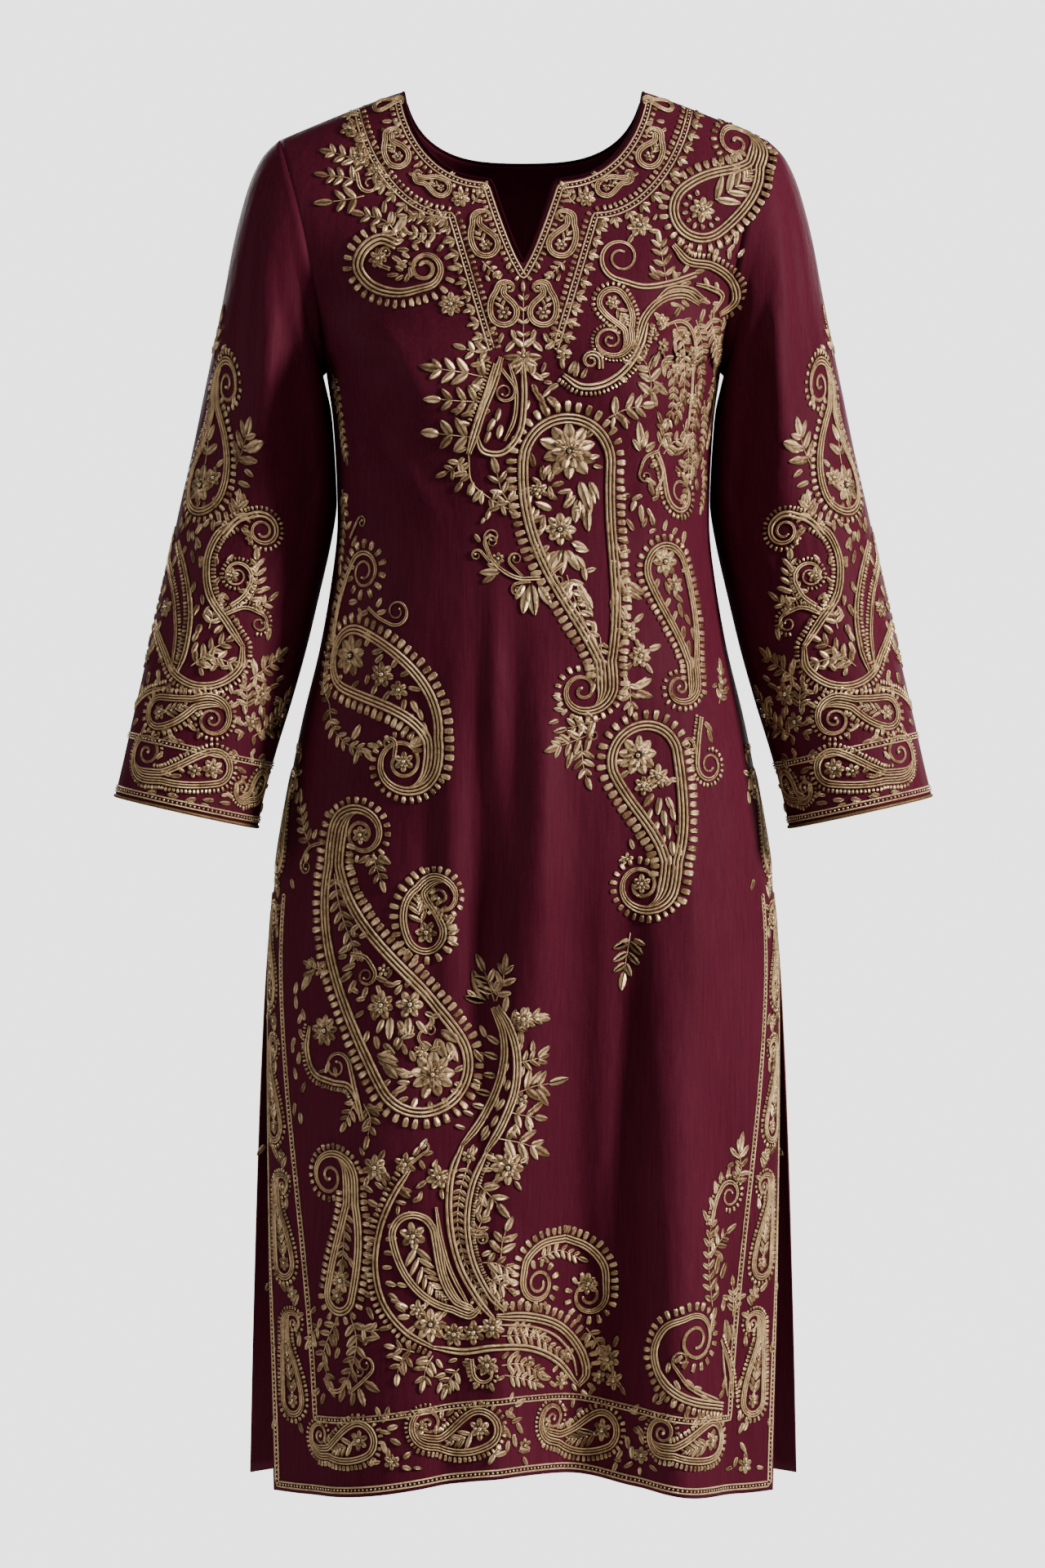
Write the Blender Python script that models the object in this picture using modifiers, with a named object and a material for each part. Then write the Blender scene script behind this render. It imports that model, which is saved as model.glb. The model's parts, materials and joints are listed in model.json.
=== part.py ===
"""Kurta tunic: a knee-length tunic with a notched round neck, three-quarter sleeves and open side slits.

The garment keeps the hollow form that it has when it is worn. Every panel is a surface worked out from
the sections below and given the wall of its cloth. Sizes are in metres. +Z is up, -Y is the front and
+X is the wearer's left. The origin lies between the two neck points, where the shoulders carry it.
"""

import itertools
import math
from collections import namedtuple
from functools import partial

import bmesh
import bpy
from mathutils import Vector
from mathutils.bvhtree import BVHTree

# ---------------------------------------------------------------- driving sizes
CLOTH = 0.0012  # wall of the cloth
SEAM = 0.0003  # gap between two pieces at a seam
NECK_HALF = 0.0905  # neck point to the middle of the neck
NECK_CREST = 0.0200  # how far the shoulders' line would climb over the neck
SHOULDER_TIP = (0.1850, -0.0370)  # x and z of the end of the shoulder seam
SHOULDER_TURN = 0.0885  # height in which the cloth turns from the top of the shoulder to the chest
ARMPIT = (0.1500, -0.2140)  # x and z of the top of the side seam
ARMHOLE_DEPTH = 0.0600  # front or back of the armhole from the side seam's plane
SLIT_TOP = -0.6100  # height of the top of the side slits
HEM = -1.0570  # height of the hem at its corners
FRONT_HEM_RISE = 0.0225  # how far the front hem lifts at its middle
BACK_HEM_RISE = 0.0120
HEM_RISE_HALF = 0.1100  # distance from the middle at which the lift has fallen to a third
NOTCH_HALF = 0.0240  # half width of the neck's notch at its top
NOTCH_TOP = -0.0760
NOTCH_FOOT = -0.1420
BACK_NECK_DROP = 0.0450
HEM_CORNER_DEPTH = {"front": 0.052, "back": 0.034}  # how far the slits' corners swing from the side plane
ARMHOLE_CURVE = 1.6  # exponent with which the armhole's edge swings in
SHOULDER_SLOPE = 1.1  # exponent with which the shoulder seam falls
SIDE_ROUND = 2.3  # exponent of the rounded sides
FLAT_CHEST = 2.2  # exponents of the flatter sections above the armpit and at the hem
FLAT_SKIRT = 2.7
FLATTENS = 0.05  # height over which the section flattens above the armpit
NOTCH_BOW = 1.2  # exponents of the neck's outline: the notch, the front scoop and the back scoop
SCOOP = (2.3, 0.56)
BACK_SCOOP = (3.2, 0.6)
BORDER = 0.0500  # edge of the cloth to the inner braid along hem and slits
NECK_BAND = 0.0370  # neck's edge to the outer braid
CUFF_BAND = 0.0475  # cuff's edge to the upper braid
BAND_CORNER = (0.0535, -0.1045)  # x and z where the neck's outer braid turns down along the notch
BAND_FOOT = (0.0235, -0.2080)
BAND_BOW = 1.16  # exponent of the outer braid's arc
EDGE_TO_BRAID = 0.0050  # edge of the cloth to the braid nearest it
SEAM_MARGIN = 0.0040  # what a braid keeps clear below a shoulder seam
BRAID = 0.0042  # width of a couched braid
BAND = 0.0080  # width of the triple cord that outlines a paisley
RELIEF = 0.0012  # height of braid and band above the cloth
CLEAR = 0.0004  # braid and band above the faceted cloth under them
LIFTS = 2  # times that a strip is raised where it cuts the cloth's facets
SPINE_REACH = 0.4  # handles of a paisley's spine as a share of its length
DROP_TAPER = (1.8, 1.25)  # exponents with which a paisley narrows from its head to its tail
PIPING = 0.0011  # radius of the piping at neck and cuffs
PROBE = 0.0020  # distance over which the slope of the cloth is taken

# Half widths of the front and back panels, and how far each stands forward or back at its middle.
Body = namedtuple("Body", "z front_side back_side front back")
BODY = [
    Body(0.030, 0.1850, 0.1850, 0.056, 0.062),
    Body(-0.040, 0.1800, 0.1800, 0.059, 0.074),
    Body(-0.090, 0.1700, 0.1700, 0.072, 0.086),
    Body(-0.140, 0.1600, 0.1600, 0.096, 0.092),
    Body(-0.214, 0.1500, 0.1500, 0.119, 0.090),
    Body(-0.255, 0.1445, 0.1445, 0.123, 0.084),
    Body(-0.328, 0.1415, 0.1415, 0.113, 0.077),
    Body(-0.366, 0.1450, 0.1450, 0.110, 0.078),
    Body(-0.422, 0.1545, 0.1545, 0.109, 0.086),
    Body(-0.478, 0.1680, 0.1680, 0.111, 0.097),
    Body(-0.534, 0.1790, 0.1790, 0.114, 0.104),
    Body(-0.590, 0.1880, 0.1880, 0.117, 0.107),
    Body(-0.650, 0.1928, 0.1945, 0.119, 0.108),
    Body(-0.740, 0.1936, 0.1998, 0.121, 0.109),
    Body(-0.863, 0.1916, 0.2050, 0.124, 0.111),
    Body(-0.960, 0.1894, 0.2082, 0.127, 0.113),
    Body(-1.080, 0.1866, 0.2110, 0.130, 0.116),
]

# Soft folds of the front: a ridge stands out, a trough (negative height) goes in. Each runs from one
# end to the other and either fades at both ends or grows towards its foot.
Fold = namedtuple("Fold", "x_top z_top x_foot z_foot half_width height grows")
FRONT_FOLDS = [
    Fold(0.046, -0.480, 0.020, -1.060, 0.046, -0.034, True),
    Fold(0.100, -0.520, 0.128, -1.060, 0.040, 0.012, True),
    Fold(-0.088, -0.520, -0.118, -1.060, 0.050, 0.012, True),
    Fold(0.010, -0.380, 0.006, -0.820, 0.020, 0.007, False),
    Fold(-0.032, -0.420, -0.034, -0.860, 0.018, -0.007, False),
    Fold(-0.088, -0.215, -0.126, -0.335, 0.012, -0.005, False),
    Fold(0.092, -0.225, 0.128, -0.345, 0.012, -0.005, False),
    Fold(0.072, -0.165, 0.078, -0.300, 0.040, 0.011, False),
    Fold(-0.072, -0.165, -0.078, -0.300, 0.040, 0.011, False),
]
BACK_FOLDS = [
    Fold(0.000, -0.400, 0.000, -1.060, 0.040, -0.022, True),
    Fold(0.090, -0.480, 0.105, -1.060, 0.040, 0.010, True),
    Fold(-0.085, -0.450, -0.110, -1.060, 0.042, 0.011, True),
    Fold(0.000, -0.060, 0.000, -0.330, 0.030, -0.007, False),
    Fold(0.070, -0.250, 0.050, -0.450, 0.016, -0.005, False),
    Fold(-0.075, -0.250, -0.055, -0.470, 0.016, -0.005, False),
]

# Rings of a sleeve after the armhole: outer and inner point seen from the front, and the middle's depth
# and half depth.
Ring = namedtuple("Ring", "outer_x outer_z inner_x inner_z middle_y half_depth")
SLEEVE = [
    Ring(0.1920, -0.0425, 0.1530, -0.2165, 0.001, 0.0610),
    Ring(0.2000, -0.0520, 0.1510, -0.2230, 0.002, 0.0625),
    Ring(0.2080, -0.0685, 0.1490, -0.2310, 0.003, 0.0640),
    Ring(0.2150, -0.0910, 0.1470, -0.2400, 0.004, 0.0650),
    Ring(0.2215, -0.1180, 0.1455, -0.2500, 0.005, 0.0655),
    Ring(0.2275, -0.1500, 0.1440, -0.2620, 0.006, 0.0655),
    Ring(0.2345, -0.1850, 0.1430, -0.2760, 0.007, 0.0650),
    Ring(0.2435, -0.2280, 0.1425, -0.2950, 0.009, 0.0640),
    Ring(0.2530, -0.2740, 0.1428, -0.3180, 0.010, 0.0630),
    Ring(0.2630, -0.3190, 0.1478, -0.3480, 0.008, 0.0615),
    Ring(0.2715, -0.3620, 0.1560, -0.3850, 0.003, 0.0600),
    Ring(0.2800, -0.4010, 0.1650, -0.4240, -0.003, 0.0585),
    Ring(0.2882, -0.4410, 0.1758, -0.4640, -0.010, 0.0570),
    Ring(0.2960, -0.4780, 0.1868, -0.5010, -0.017, 0.0555),
    Ring(0.3025, -0.5100, 0.1955, -0.5340, -0.023, 0.0540),
    Ring(0.3080, -0.5350, 0.2005, -0.5590, -0.028, 0.0530),
]
SLEEVE_CLEAR = 0.0008  # least distance of a sleeve's inner side from the side seam

# Soft folds of a sleeve, which wind down it: half turns from the underside at the fold's top and foot
# (positive over the front), its first and last ring, its half width in half turns and its height.
Wind = namedtuple("Wind", "turn_top turn_foot first last half_width height")
SLEEVE_FOLDS = [
    Wind(2.05, 1.35, 2, 12, 0.22, 0.0050),
    Wind(1.35, 0.75, 3, 11, 0.20, -0.0055),
    Wind(0.80, 0.30, 6, 13, 0.18, 0.0045),
    Wind(-1.90, -1.20, 3, 12, 0.24, -0.0050),
    Wind(-1.10, -0.60, 4, 13, 0.22, 0.0045),
]

# Large paisleys of the front, each a drop whose tail ends in a curl. lean and flick turn the drop's spine
# from the straight line at its head and tail, in degrees, and turns is signed: positive is anticlockwise.
Boteh = namedtuple("Boteh", "name head_x head_z radius tail_x tail_z lean flick curl turns")
BOTEHS = [
    Boteh("chest", 0.1335, -0.1020, 0.0215, 0.1640, -0.0590, -4, 26, 0.0110, 0.70),
    Boteh("bust", 0.0335, -0.2930, 0.0325, 0.0655, -0.4600, -7, 8, 0.0190, -0.95),
    Boteh("side", 0.1070, -0.3740, 0.0185, 0.1290, -0.4560, -6, 4, 0.0145, -0.80),
    Boteh("thigh", 0.0865, -0.5070, 0.0225, 0.1200, -0.5980, -6, 6, 0.0240, -0.95),
    Boteh("hip", -0.1130, -0.4400, 0.0225, -0.0560, -0.5090, 22, -26, 0.0210, -0.95),
    Boteh("knee", -0.0720, -0.7380, 0.0345, -0.1400, -0.5790, 10, -24, 0.0205, -1.00),
    Boteh("hem", -0.1330, -0.8910, 0.0180, -0.1210, -0.8090, -12, 24, 0.0170, 0.90),
]
# The same for each sleeve, where x is measured round it from its outer line and z up from its cuff.
SLEEVE_BOTEHS = [
    Boteh("arm", 0.0535, 0.2440, 0.0195, 0.0455, 0.3060, 2, -4, 0.0125, -0.95),
    Boteh("cuff", 0.1040, 0.0290, 0.0095, 0.0450, 0.0190, -2, 2, 0.0100, -0.80),
]
CURL_END = 0.36  # radius at a curl's centre as a share of its first radius
CURL_TAPER = 0.6  # width of the band at the curl's centre as a share of its full width

UPPER_ROWS = 10  # rows of a panel above the armpit, and points of a sleeve on each side of its armhole
LOWER_ROWS = {"front": 20, "back": 17}
NECK_CROWDING = 1.25  # exponents with which the rows crowd under the neck's edge and the shoulder seam
SEAM_CROWDING = 2.6
NOTCH_COLUMNS = 3
SCOOP_COLUMNS = 6
SHOULDER_COLUMNS = 6
STEP = 0.0125  # length of a facet of braid or band
CURL_STEP = 0.0070

# Colour (linear), roughness and metallic value.
Finish = namedtuple("Finish", "colour roughness metallic")
FINISHES = {
    "burgundy_satin": Finish((0.091, 0.0103, 0.021), 0.45, 0.0),
    "binding": Finish((0.040, 0.006, 0.010), 0.55, 0.0),
    "bronze_piping": Finish((0.085, 0.032, 0.017), 0.40, 0.5),
    "gold_thread": Finish((0.381, 0.246, 0.160), 0.42, 0.75),
}


def smooth(share):
    """0 to 1 with a soft start and end."""
    share = min(1.0, max(0.0, share))
    return share * share * (3 - 2 * share)


def mix(low, high, share):
    return low + (high - low) * share


def read(rows, z, column):
    """A column of a table of sections at height z, as a smooth curve through its rows."""
    heights = [row.z for row in rows]
    values = [getattr(row, column) for row in rows]
    last = len(rows) - 1
    if z >= heights[0]:
        return values[0]
    if z <= heights[last]:
        return values[last]
    k = next(i for i in range(last) if heights[i + 1] <= z)
    run = heights[k] - heights[k + 1]
    before = (values[min(k + 1, last)] - values[max(k - 1, 0)]) / (heights[max(k - 1, 0)] - heights[k + 1])
    after = (values[min(k + 2, last)] - values[k]) / (heights[k] - heights[min(k + 2, last)])
    p = (heights[k] - z) / run
    return (
        values[k] * (1 + 2 * p) * (1 - p) ** 2
        + values[k + 1] * p * p * (3 - 2 * p)
        + before * run * p * (1 - p) ** 2
        - after * run * p * p * (1 - p)
    )


# ---------------------------------------------------------------- the two panels
def half_width(side, z):
    """Half the width of a panel at height z: its side or slit edge, and above the armpit its armhole."""
    if z > ARMPIT[1]:
        climb = min(1.0, (z - ARMPIT[1]) / (SHOULDER_TIP[1] - ARMPIT[1]))
        return mix(ARMPIT[0], SHOULDER_TIP[0], climb**ARMHOLE_CURVE)
    return read(BODY, z, side + "_side")


def edge_depth(side, z):
    """How far a panel's edge stands from the plane of the side seams."""
    middle = (SHOULDER_TIP[1] + ARMPIT[1]) / 2
    if z >= middle:
        return ARMHOLE_DEPTH
    if z > ARMPIT[1]:
        return ARMHOLE_DEPTH * math.sqrt(max(0.0, 1 - ((middle - z) / (middle - ARMPIT[1])) ** 2))
    below = smooth((SLIT_TOP - z) / (SLIT_TOP - HEM))
    return below * HEM_CORNER_DEPTH[side]


def roundness(z, share):
    """How much of a panel's depth is left at a share of its half width."""
    share = min(1.0, abs(share))
    rounded = (1 - share**SIDE_ROUND) ** (1 / SIDE_ROUND)
    if z > ARMPIT[1]:
        return mix(rounded, 1 - share**FLAT_CHEST, smooth((z - ARMPIT[1]) / FLATTENS))
    return mix(rounded, 1 - share**FLAT_SKIRT, smooth((SLIT_TOP - z) / (SLIT_TOP - HEM)))


def shoulder_height(x):
    """Height of the shoulder seam, carried on over the neck."""
    out = (abs(x) - NECK_HALF) / (SHOULDER_TIP[0] - NECK_HALF)
    return SHOULDER_TIP[1] * out**SHOULDER_SLOPE if out > 0 else -NECK_CREST * out


def fold_height(folds, x, z):
    """What the folds add to a panel's depth."""
    total = 0.0
    for fold in folds:
        along = (fold.z_top - z) / (fold.z_top - fold.z_foot)
        if not 0 < along < 1.02:
            continue
        centre = mix(fold.x_top, fold.x_foot, along)
        swell = smooth(along) if fold.grows else math.sin(math.pi * min(1.0, along)) ** 2
        total += fold.height * swell * math.exp(-(((x - centre) / fold.half_width) ** 2))
    return total


def depth(side, x, z):
    """Distance of a panel's outer face from the plane of the side seams."""
    edge = edge_depth(side, z)
    share = x / half_width(side, z)
    below_seam = max(0.0, shoulder_height(x) - z)
    turn = math.sqrt(1 - (1 - min(1.0, below_seam / SHOULDER_TURN)) ** 2)
    fade = smooth((1 - abs(share)) / 0.25)
    folds = FRONT_FOLDS if side == "front" else BACK_FOLDS
    section = edge + (read(BODY, z, side) - edge) * roundness(z, share)
    return section * turn + fold_height(folds, x, z) * fade


def on_panel(side, x, z):
    """The point of a panel's outer face at x and z."""
    facing = -1 if side == "front" else 1
    return Vector((x, facing * (depth(side, x, z) + SEAM / 2), z))


def neck_edge(side, x):
    """Height of the neck's edge at x."""
    out = min(1.0, abs(x) / NECK_HALF)
    if side == "back":
        return -BACK_NECK_DROP * (1 - out ** BACK_SCOOP[0]) ** BACK_SCOOP[1]
    if abs(x) < NOTCH_HALF:
        return mix(NOTCH_FOOT, NOTCH_TOP, (abs(x) / NOTCH_HALF) ** NOTCH_BOW)
    past_notch = (abs(x) - NOTCH_HALF) / (NECK_HALF - NOTCH_HALF)
    return NOTCH_TOP * (1 - past_notch ** SCOOP[0]) ** SCOOP[1]


def top_edge(side):
    """Points of half a panel's top edge, from its middle to the shoulder tip, as (x, z)."""
    notch = NOTCH_HALF if side == "front" else NOTCH_HALF * 1.2
    points = [notch * k / NOTCH_COLUMNS for k in range(NOTCH_COLUMNS)]
    turned = [math.sin(math.pi / 2 * k / SCOOP_COLUMNS) for k in range(SCOOP_COLUMNS + 1)]
    points += [mix(notch, NECK_HALF, share) for share in turned]
    edge = [(x, neck_edge(side, x)) for x in points]
    for k in range(1, SHOULDER_COLUMNS + 1):
        x = mix(NECK_HALF, SHOULDER_TIP[0], k / SHOULDER_COLUMNS)
        edge.append((x, shoulder_height(x)))
    return edge


def hem_height(side, x):
    """Height of the hem at x: level at the corners and lifted in the middle."""
    rise = FRONT_HEM_RISE if side == "front" else BACK_HEM_RISE
    return HEM + rise * math.exp(-((x / HEM_RISE_HALF) ** 2))


def armhole_point(climb, side):
    """A point of the armhole's edge on the wearer's left, from the armpit (0) to the shoulder tip (1)."""
    z = mix(ARMPIT[1], SHOULDER_TIP[1], climb)
    return on_panel(side, half_width(side, z), z)


def row_climb(row, share):
    """How far up a panel's upper part a row lies: rows crowd under the shoulder seam, less at the neck."""
    crowding = mix(NECK_CROWDING, SEAM_CROWDING, smooth((share - 0.35) / 0.4))
    return 1 - (1 - row / UPPER_ROWS) ** crowding


def panel_point(side, column, row):
    """A point of a panel. column runs from -n to n across it and row from the hem to the top edge."""
    edge = top_edge(side)
    share = abs(column) / (len(edge) - 1)
    across = math.sin(math.pi / 2 * share)
    if row <= LOWER_ROWS[side]:
        z = mix(hem_height(side, across * half_width(side, HEM)), ARMPIT[1], row / LOWER_ROWS[side])
        x = across * half_width(side, z)
    else:
        climb = row_climb(row - LOWER_ROWS[side], share)
        x_top, z_top = edge[abs(column)]
        z = mix(ARMPIT[1], z_top, climb)
        straight = mix(ARMPIT[0], SHOULDER_TIP[0], climb)
        x = mix(across * ARMPIT[0], x_top, climb) + (half_width(side, z) - straight) * share**12
    return on_panel(side, math.copysign(x, column) if column else 0.0, z)


# ---------------------------------------------------------------- making meshes
def finish(kind, name):
    """A material of a piece's own, in one of the garment's finishes."""
    look = FINISHES[kind]
    material = bpy.data.materials.new(f"{name}_{kind}")
    material.use_nodes = True
    shader = material.node_tree.nodes["Principled BSDF"]
    shader.inputs["Base Color"].default_value = (*look.colour, 1)
    shader.inputs["Roughness"].default_value = look.roughness
    shader.inputs["Metallic"].default_value = look.metallic
    return material


def mesh_object(name, bm, material):
    """An object in the garment's collection, shaded smooth, from a bmesh."""
    mesh = bpy.data.meshes.new(name)
    bm.to_mesh(mesh)
    bm.free()
    mesh.shade_smooth()
    mesh.materials.append(finish(material, name))
    obj = bpy.data.objects.new(name, mesh)
    bpy.data.collections["kurta"].objects.link(obj)
    return obj


def wall(obj, thickness, outwards):
    """Gives an open surface its wall, inwards for cloth and outwards for what lies on it."""
    solidify = obj.modifiers.new("wall", "SOLIDIFY")
    solidify.thickness = thickness
    solidify.offset = 1 if outwards else -1
    return obj


def mapped_grid(columns, rows, place):
    """A grid whose point at (column, row) is moved to place(column, row)."""
    bm = bmesh.new()
    bmesh.ops.create_grid(bm, x_segments=columns, y_segments=rows, size=1)
    for vert in bm.verts:
        column = round((vert.co.x + 1) / 2 * columns)
        row = round((vert.co.y + 1) / 2 * rows)
        vert.co = place(column, row)
    bm.normal_update()
    return bm


def cloth_panel(name, side):
    """The front or back of the tunic, in one piece from hem to shoulder.

    Its wall stays on its own side of the shoulder and side seams. Returns trees of the outer face and of
    the whole wall.
    """
    half = len(top_edge(side)) - 1
    turn = 1 if side == "front" else -1
    rows = LOWER_ROWS[side] + UPPER_ROWS
    bm = mapped_grid(2 * half, rows, lambda c, r: panel_point(side, turn * (c - half), r))
    outer = BVHTree.FromBMesh(bm)
    bmesh.ops.solidify(bm, geom=bm.faces[:], thickness=CLOTH)
    bmesh.ops.recalc_face_normals(bm, faces=bm.faces[:])
    for vert in bm.verts:
        vert.co.y = -turn * max(SEAM / 2, -turn * vert.co.y)
    trees = outer, BVHTree.FromBMesh(bm)
    mesh_object(name, bm, "burgundy_satin")
    return trees


# ---------------------------------------------------------------- sleeves
def ring_points():
    """Where a sleeve's points lie round its armhole: over the front from the armpit, then down the back."""
    climbs = [row_climb(k, 1.0) for k in range(UPPER_ROWS + 1)]
    return [("front", climb) for climb in climbs] + [("back", climb) for climb in climbs[-2::-1]]


def sleeve_fold_height(turn, ring):
    """What the sleeve's folds add to its half depth."""
    total = 0.0
    for fold in SLEEVE_FOLDS:
        along = (ring - fold.first) / (fold.last - fold.first)
        if 0 < along < 1:
            across = (turn - mix(fold.turn_top, fold.turn_foot, along)) / fold.half_width
            total += fold.height * math.sin(math.pi * along) ** 2 * math.exp(-across * across)
    return total


def sleeve_point(hand, column, ring):
    """A point of a sleeve: ring 0 is its armhole seam and the last ring its cuff. hand is 1 or -1."""
    side, climb = ring_points()[column]
    if ring == 0:
        seam = armhole_point(climb, side)
        return Vector((hand * (seam.x + 1.5 * SEAM), seam.y, seam.z))
    return on_sleeve(hand, math.acos(1 - 2 * climb) * (1 if side == "front" else -1), ring)


def ring_axes(ring):
    """The middle of a ring, or of a place between two, the way to its outer point and its half depth."""
    low = min(int(ring), len(SLEEVE) - 1)
    row = Ring(*(mix(a, b, ring - low) for a, b in zip(SLEEVE[low - 1], SLEEVE[low])))
    side_seam = half_width("front", row.inner_z)
    inner_x = max(row.inner_x, side_seam + SLEEVE_CLEAR) if row.inner_z < ARMPIT[1] else row.inner_x
    centre = Vector(((row.outer_x + inner_x) / 2, row.middle_y, (row.outer_z + row.inner_z) / 2))
    outwards = Vector(((row.outer_x - inner_x) / 2, 0, (row.outer_z - row.inner_z) / 2))
    return centre, outwards, row.half_depth


def on_sleeve(hand, turn, ring):
    """A point of a sleeve at an angle from its underside, positive over the front, on or between rings."""
    centre, outwards, half_depth = ring_axes(ring)
    half_depth += sleeve_fold_height(turn, ring)
    point = centre - outwards * math.cos(turn) - Vector((0, half_depth * math.sin(turn), 0))
    return Vector((hand * point.x, point.y, point.z))


def sleeve_place(hand, around, up):
    """A point of a sleeve at a distance round its front from its outer line and up from its cuff."""
    ring = len(SLEEVE)
    run = (ring_axes(ring)[0] - ring_axes(ring - 1)[0]).length
    while up > run:
        up -= run
        ring -= 1
        run = (ring_axes(ring)[0] - ring_axes(ring - 1)[0]).length
    ring -= up / run
    _, outwards, half_depth = ring_axes(ring)
    return on_sleeve(hand, math.pi - 2 * around / (outwards.length + half_depth), ring)


def tube(name, hand, rows, place, material, thickness, outwards):
    """A tube round a sleeve from a grid whose first and last columns meet. Returns a tree of the grid."""
    around = len(ring_points()) - 1
    bm = mapped_grid(around, rows, lambda c, r: place(c if hand > 0 else around - c, rows - r))
    bmesh.ops.remove_doubles(bm, verts=bm.verts, dist=2 * SEAM)
    tree = BVHTree.FromBMesh(bm)
    wall(mesh_object(name, bm, material), thickness, outwards)
    return tree


def sleeve(name, hand):
    """A sleeve, sewn into a tube from the armhole to the cuff. Returns a tree of its outer face."""
    place = partial(sleeve_point, hand)
    return tube(name, hand, len(SLEEVE), place, "burgundy_satin", CLOTH, outwards=False)


def up_the_sleeve(hand, column, distance):
    """The point of a sleeve a distance up from the cuff, with the direction that leads away from it."""
    last = len(SLEEVE)
    around = len(ring_points()) - 1
    ring = last
    run = (sleeve_point(hand, column, ring) - sleeve_point(hand, column, ring - 1)).length
    while distance > run:
        distance -= run
        ring -= 1
        run = (sleeve_point(hand, column, ring) - sleeve_point(hand, column, ring - 1)).length
    below, above = (
        [sleeve_point(hand, c, r).copy() for c in range(around)] for r in (ring, ring - 1)
    )
    low, high = sum(below, Vector()) / around, sum(above, Vector()) / around
    share = distance / run
    point = below[column % around].lerp(above[column % around], share)
    away = point - low.lerp(high, share)
    axis = (high - low).normalized()
    return point, (away - axis * away.dot(axis)).normalized()


def ring_braid(name, hand, distance):
    """A braid round a sleeve, its lower edge a distance up from the cuff."""

    def place(column, row):
        point, away = up_the_sleeve(hand, column, distance + (BRAID if row == 0 else 0.0))
        return point + away * CLEAR

    return tube(name, hand, 1, place, "gold_thread", RELIEF, outwards=True)


def piping(name, points, material):
    """A closed rouleau of cloth along a ring of points."""
    curve = bpy.data.curves.new(name, "CURVE")
    curve.dimensions = "3D"
    curve.bevel_depth = PIPING
    curve.bevel_resolution = 1
    spline = curve.splines.new("POLY")
    spline.points.add(len(points) - 1)
    spline.points.foreach_set("co", [value for point in points for value in (*point, 1.0)])
    spline.use_cyclic_u = True
    curve.materials.append(finish(material, name))
    obj = bpy.data.objects.new(name, curve)
    bpy.data.collections["kurta"].objects.link(obj)
    return obj


def cuff_piping(name, hand):
    """The piping that stands below a sleeve's cuff edge."""
    points = []
    for column in range(len(ring_points()) - 1):
        edge = sleeve_point(hand, column, len(SLEEVE))
        down = (edge - sleeve_point(hand, column, len(SLEEVE) - 1)).normalized()
        points.append(edge + down * (PIPING + SEAM))
    return piping(name, points, "bronze_piping")


# ---------------------------------------------------------------- lines in the panels' (x, z) plane
def mitred(points, distances):
    """The points of a line moved to its left by a distance each, with its corners kept sharp."""
    moved = []
    last = len(points) - 1
    for k, point in enumerate(points):
        before = (point - points[k - 1]).normalized() if k else (points[1] - point).normalized()
        after = (points[k + 1] - point).normalized() if k < last else before
        left = Vector((-before.y - after.y, before.x + after.x)) / (1 + before.dot(after))
        moved.append(point + left * distances[k])
    return moved


def resampled(line, step):
    """The line with extra points, so that no stretch is longer than a step."""
    finer = [line[0]]
    for start, end in zip(line, line[1:]):
        count = math.ceil((end - start).length / step)
        finer += [start.lerp(end, k / count) for k in range(1, count + 1)]
    return finer


def mirrored(half):
    """A whole line from the half of it on the wearer's left, which starts at the middle."""
    return [Vector((-p.x, p.y)) for p in half[::-1] if p.x > 1e-6] + half


def neck_edge_line(side):
    """The neck's edge from one neck point to the other."""
    return mirrored([Vector(point) for point in top_edge(side)[: NOTCH_COLUMNS + SCOOP_COLUMNS + 1]])


def under_the_seam(line):
    """The part of a line that keeps clear of the shoulder seams."""
    return [p for p in line if p.y < shoulder_height(p.x) - SEAM_MARGIN]


def inner_neck_line(side):
    edge = neck_edge_line(side)
    return under_the_seam(mitred(edge, [-EDGE_TO_BRAID] * len(edge)))


def outer_neck_line(side):
    """The outer braid of the neck's band: an arc, which at the front bends down along the notch."""
    angles = [math.pi / 2 * k / 10 for k in range(11)]
    reach = NECK_HALF + NECK_BAND
    if side == "back":
        drop = BACK_NECK_DROP + NECK_BAND
        bow, end = BACK_SCOOP
        half = [Vector((reach * math.sin(a), -drop * (1 - math.sin(a) ** bow) ** end)) for a in angles]
        return under_the_seam(mirrored(half))
    corner_x, corner_z = BAND_CORNER
    arc = [Vector((mix(corner_x, reach, math.sin(a)), corner_z * math.cos(a) ** BAND_BOW)) for a in angles]
    return [Vector(BAND_FOOT)] + under_the_seam(arc)


def inset_x(side, z, distance):
    """The x that lies a distance in from a panel's edge, measured over its surface."""
    step = 0.0005
    x = half_width(side, z)
    done = 0.0
    while done < distance:
        done += math.hypot(step, depth(side, x - step, z) - depth(side, x, z))
        x -= step
    return x


def border_line(inset):
    """A line down one slit of the front, along the hem and up the other slit."""
    corner = inset_x("front", HEM + inset, inset)
    foot = hem_height("front", corner) + inset
    heights = [mix(foot, SLIT_TOP, k / 22) for k in range(23)]
    hem = [corner * k / 14 for k in range(14)]
    half = [Vector((x, hem_height("front", x) + inset)) for x in hem]
    half += [Vector((inset_x("front", z, inset) if k else corner, z)) for k, z in enumerate(heights)]
    return mirrored(half)


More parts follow.
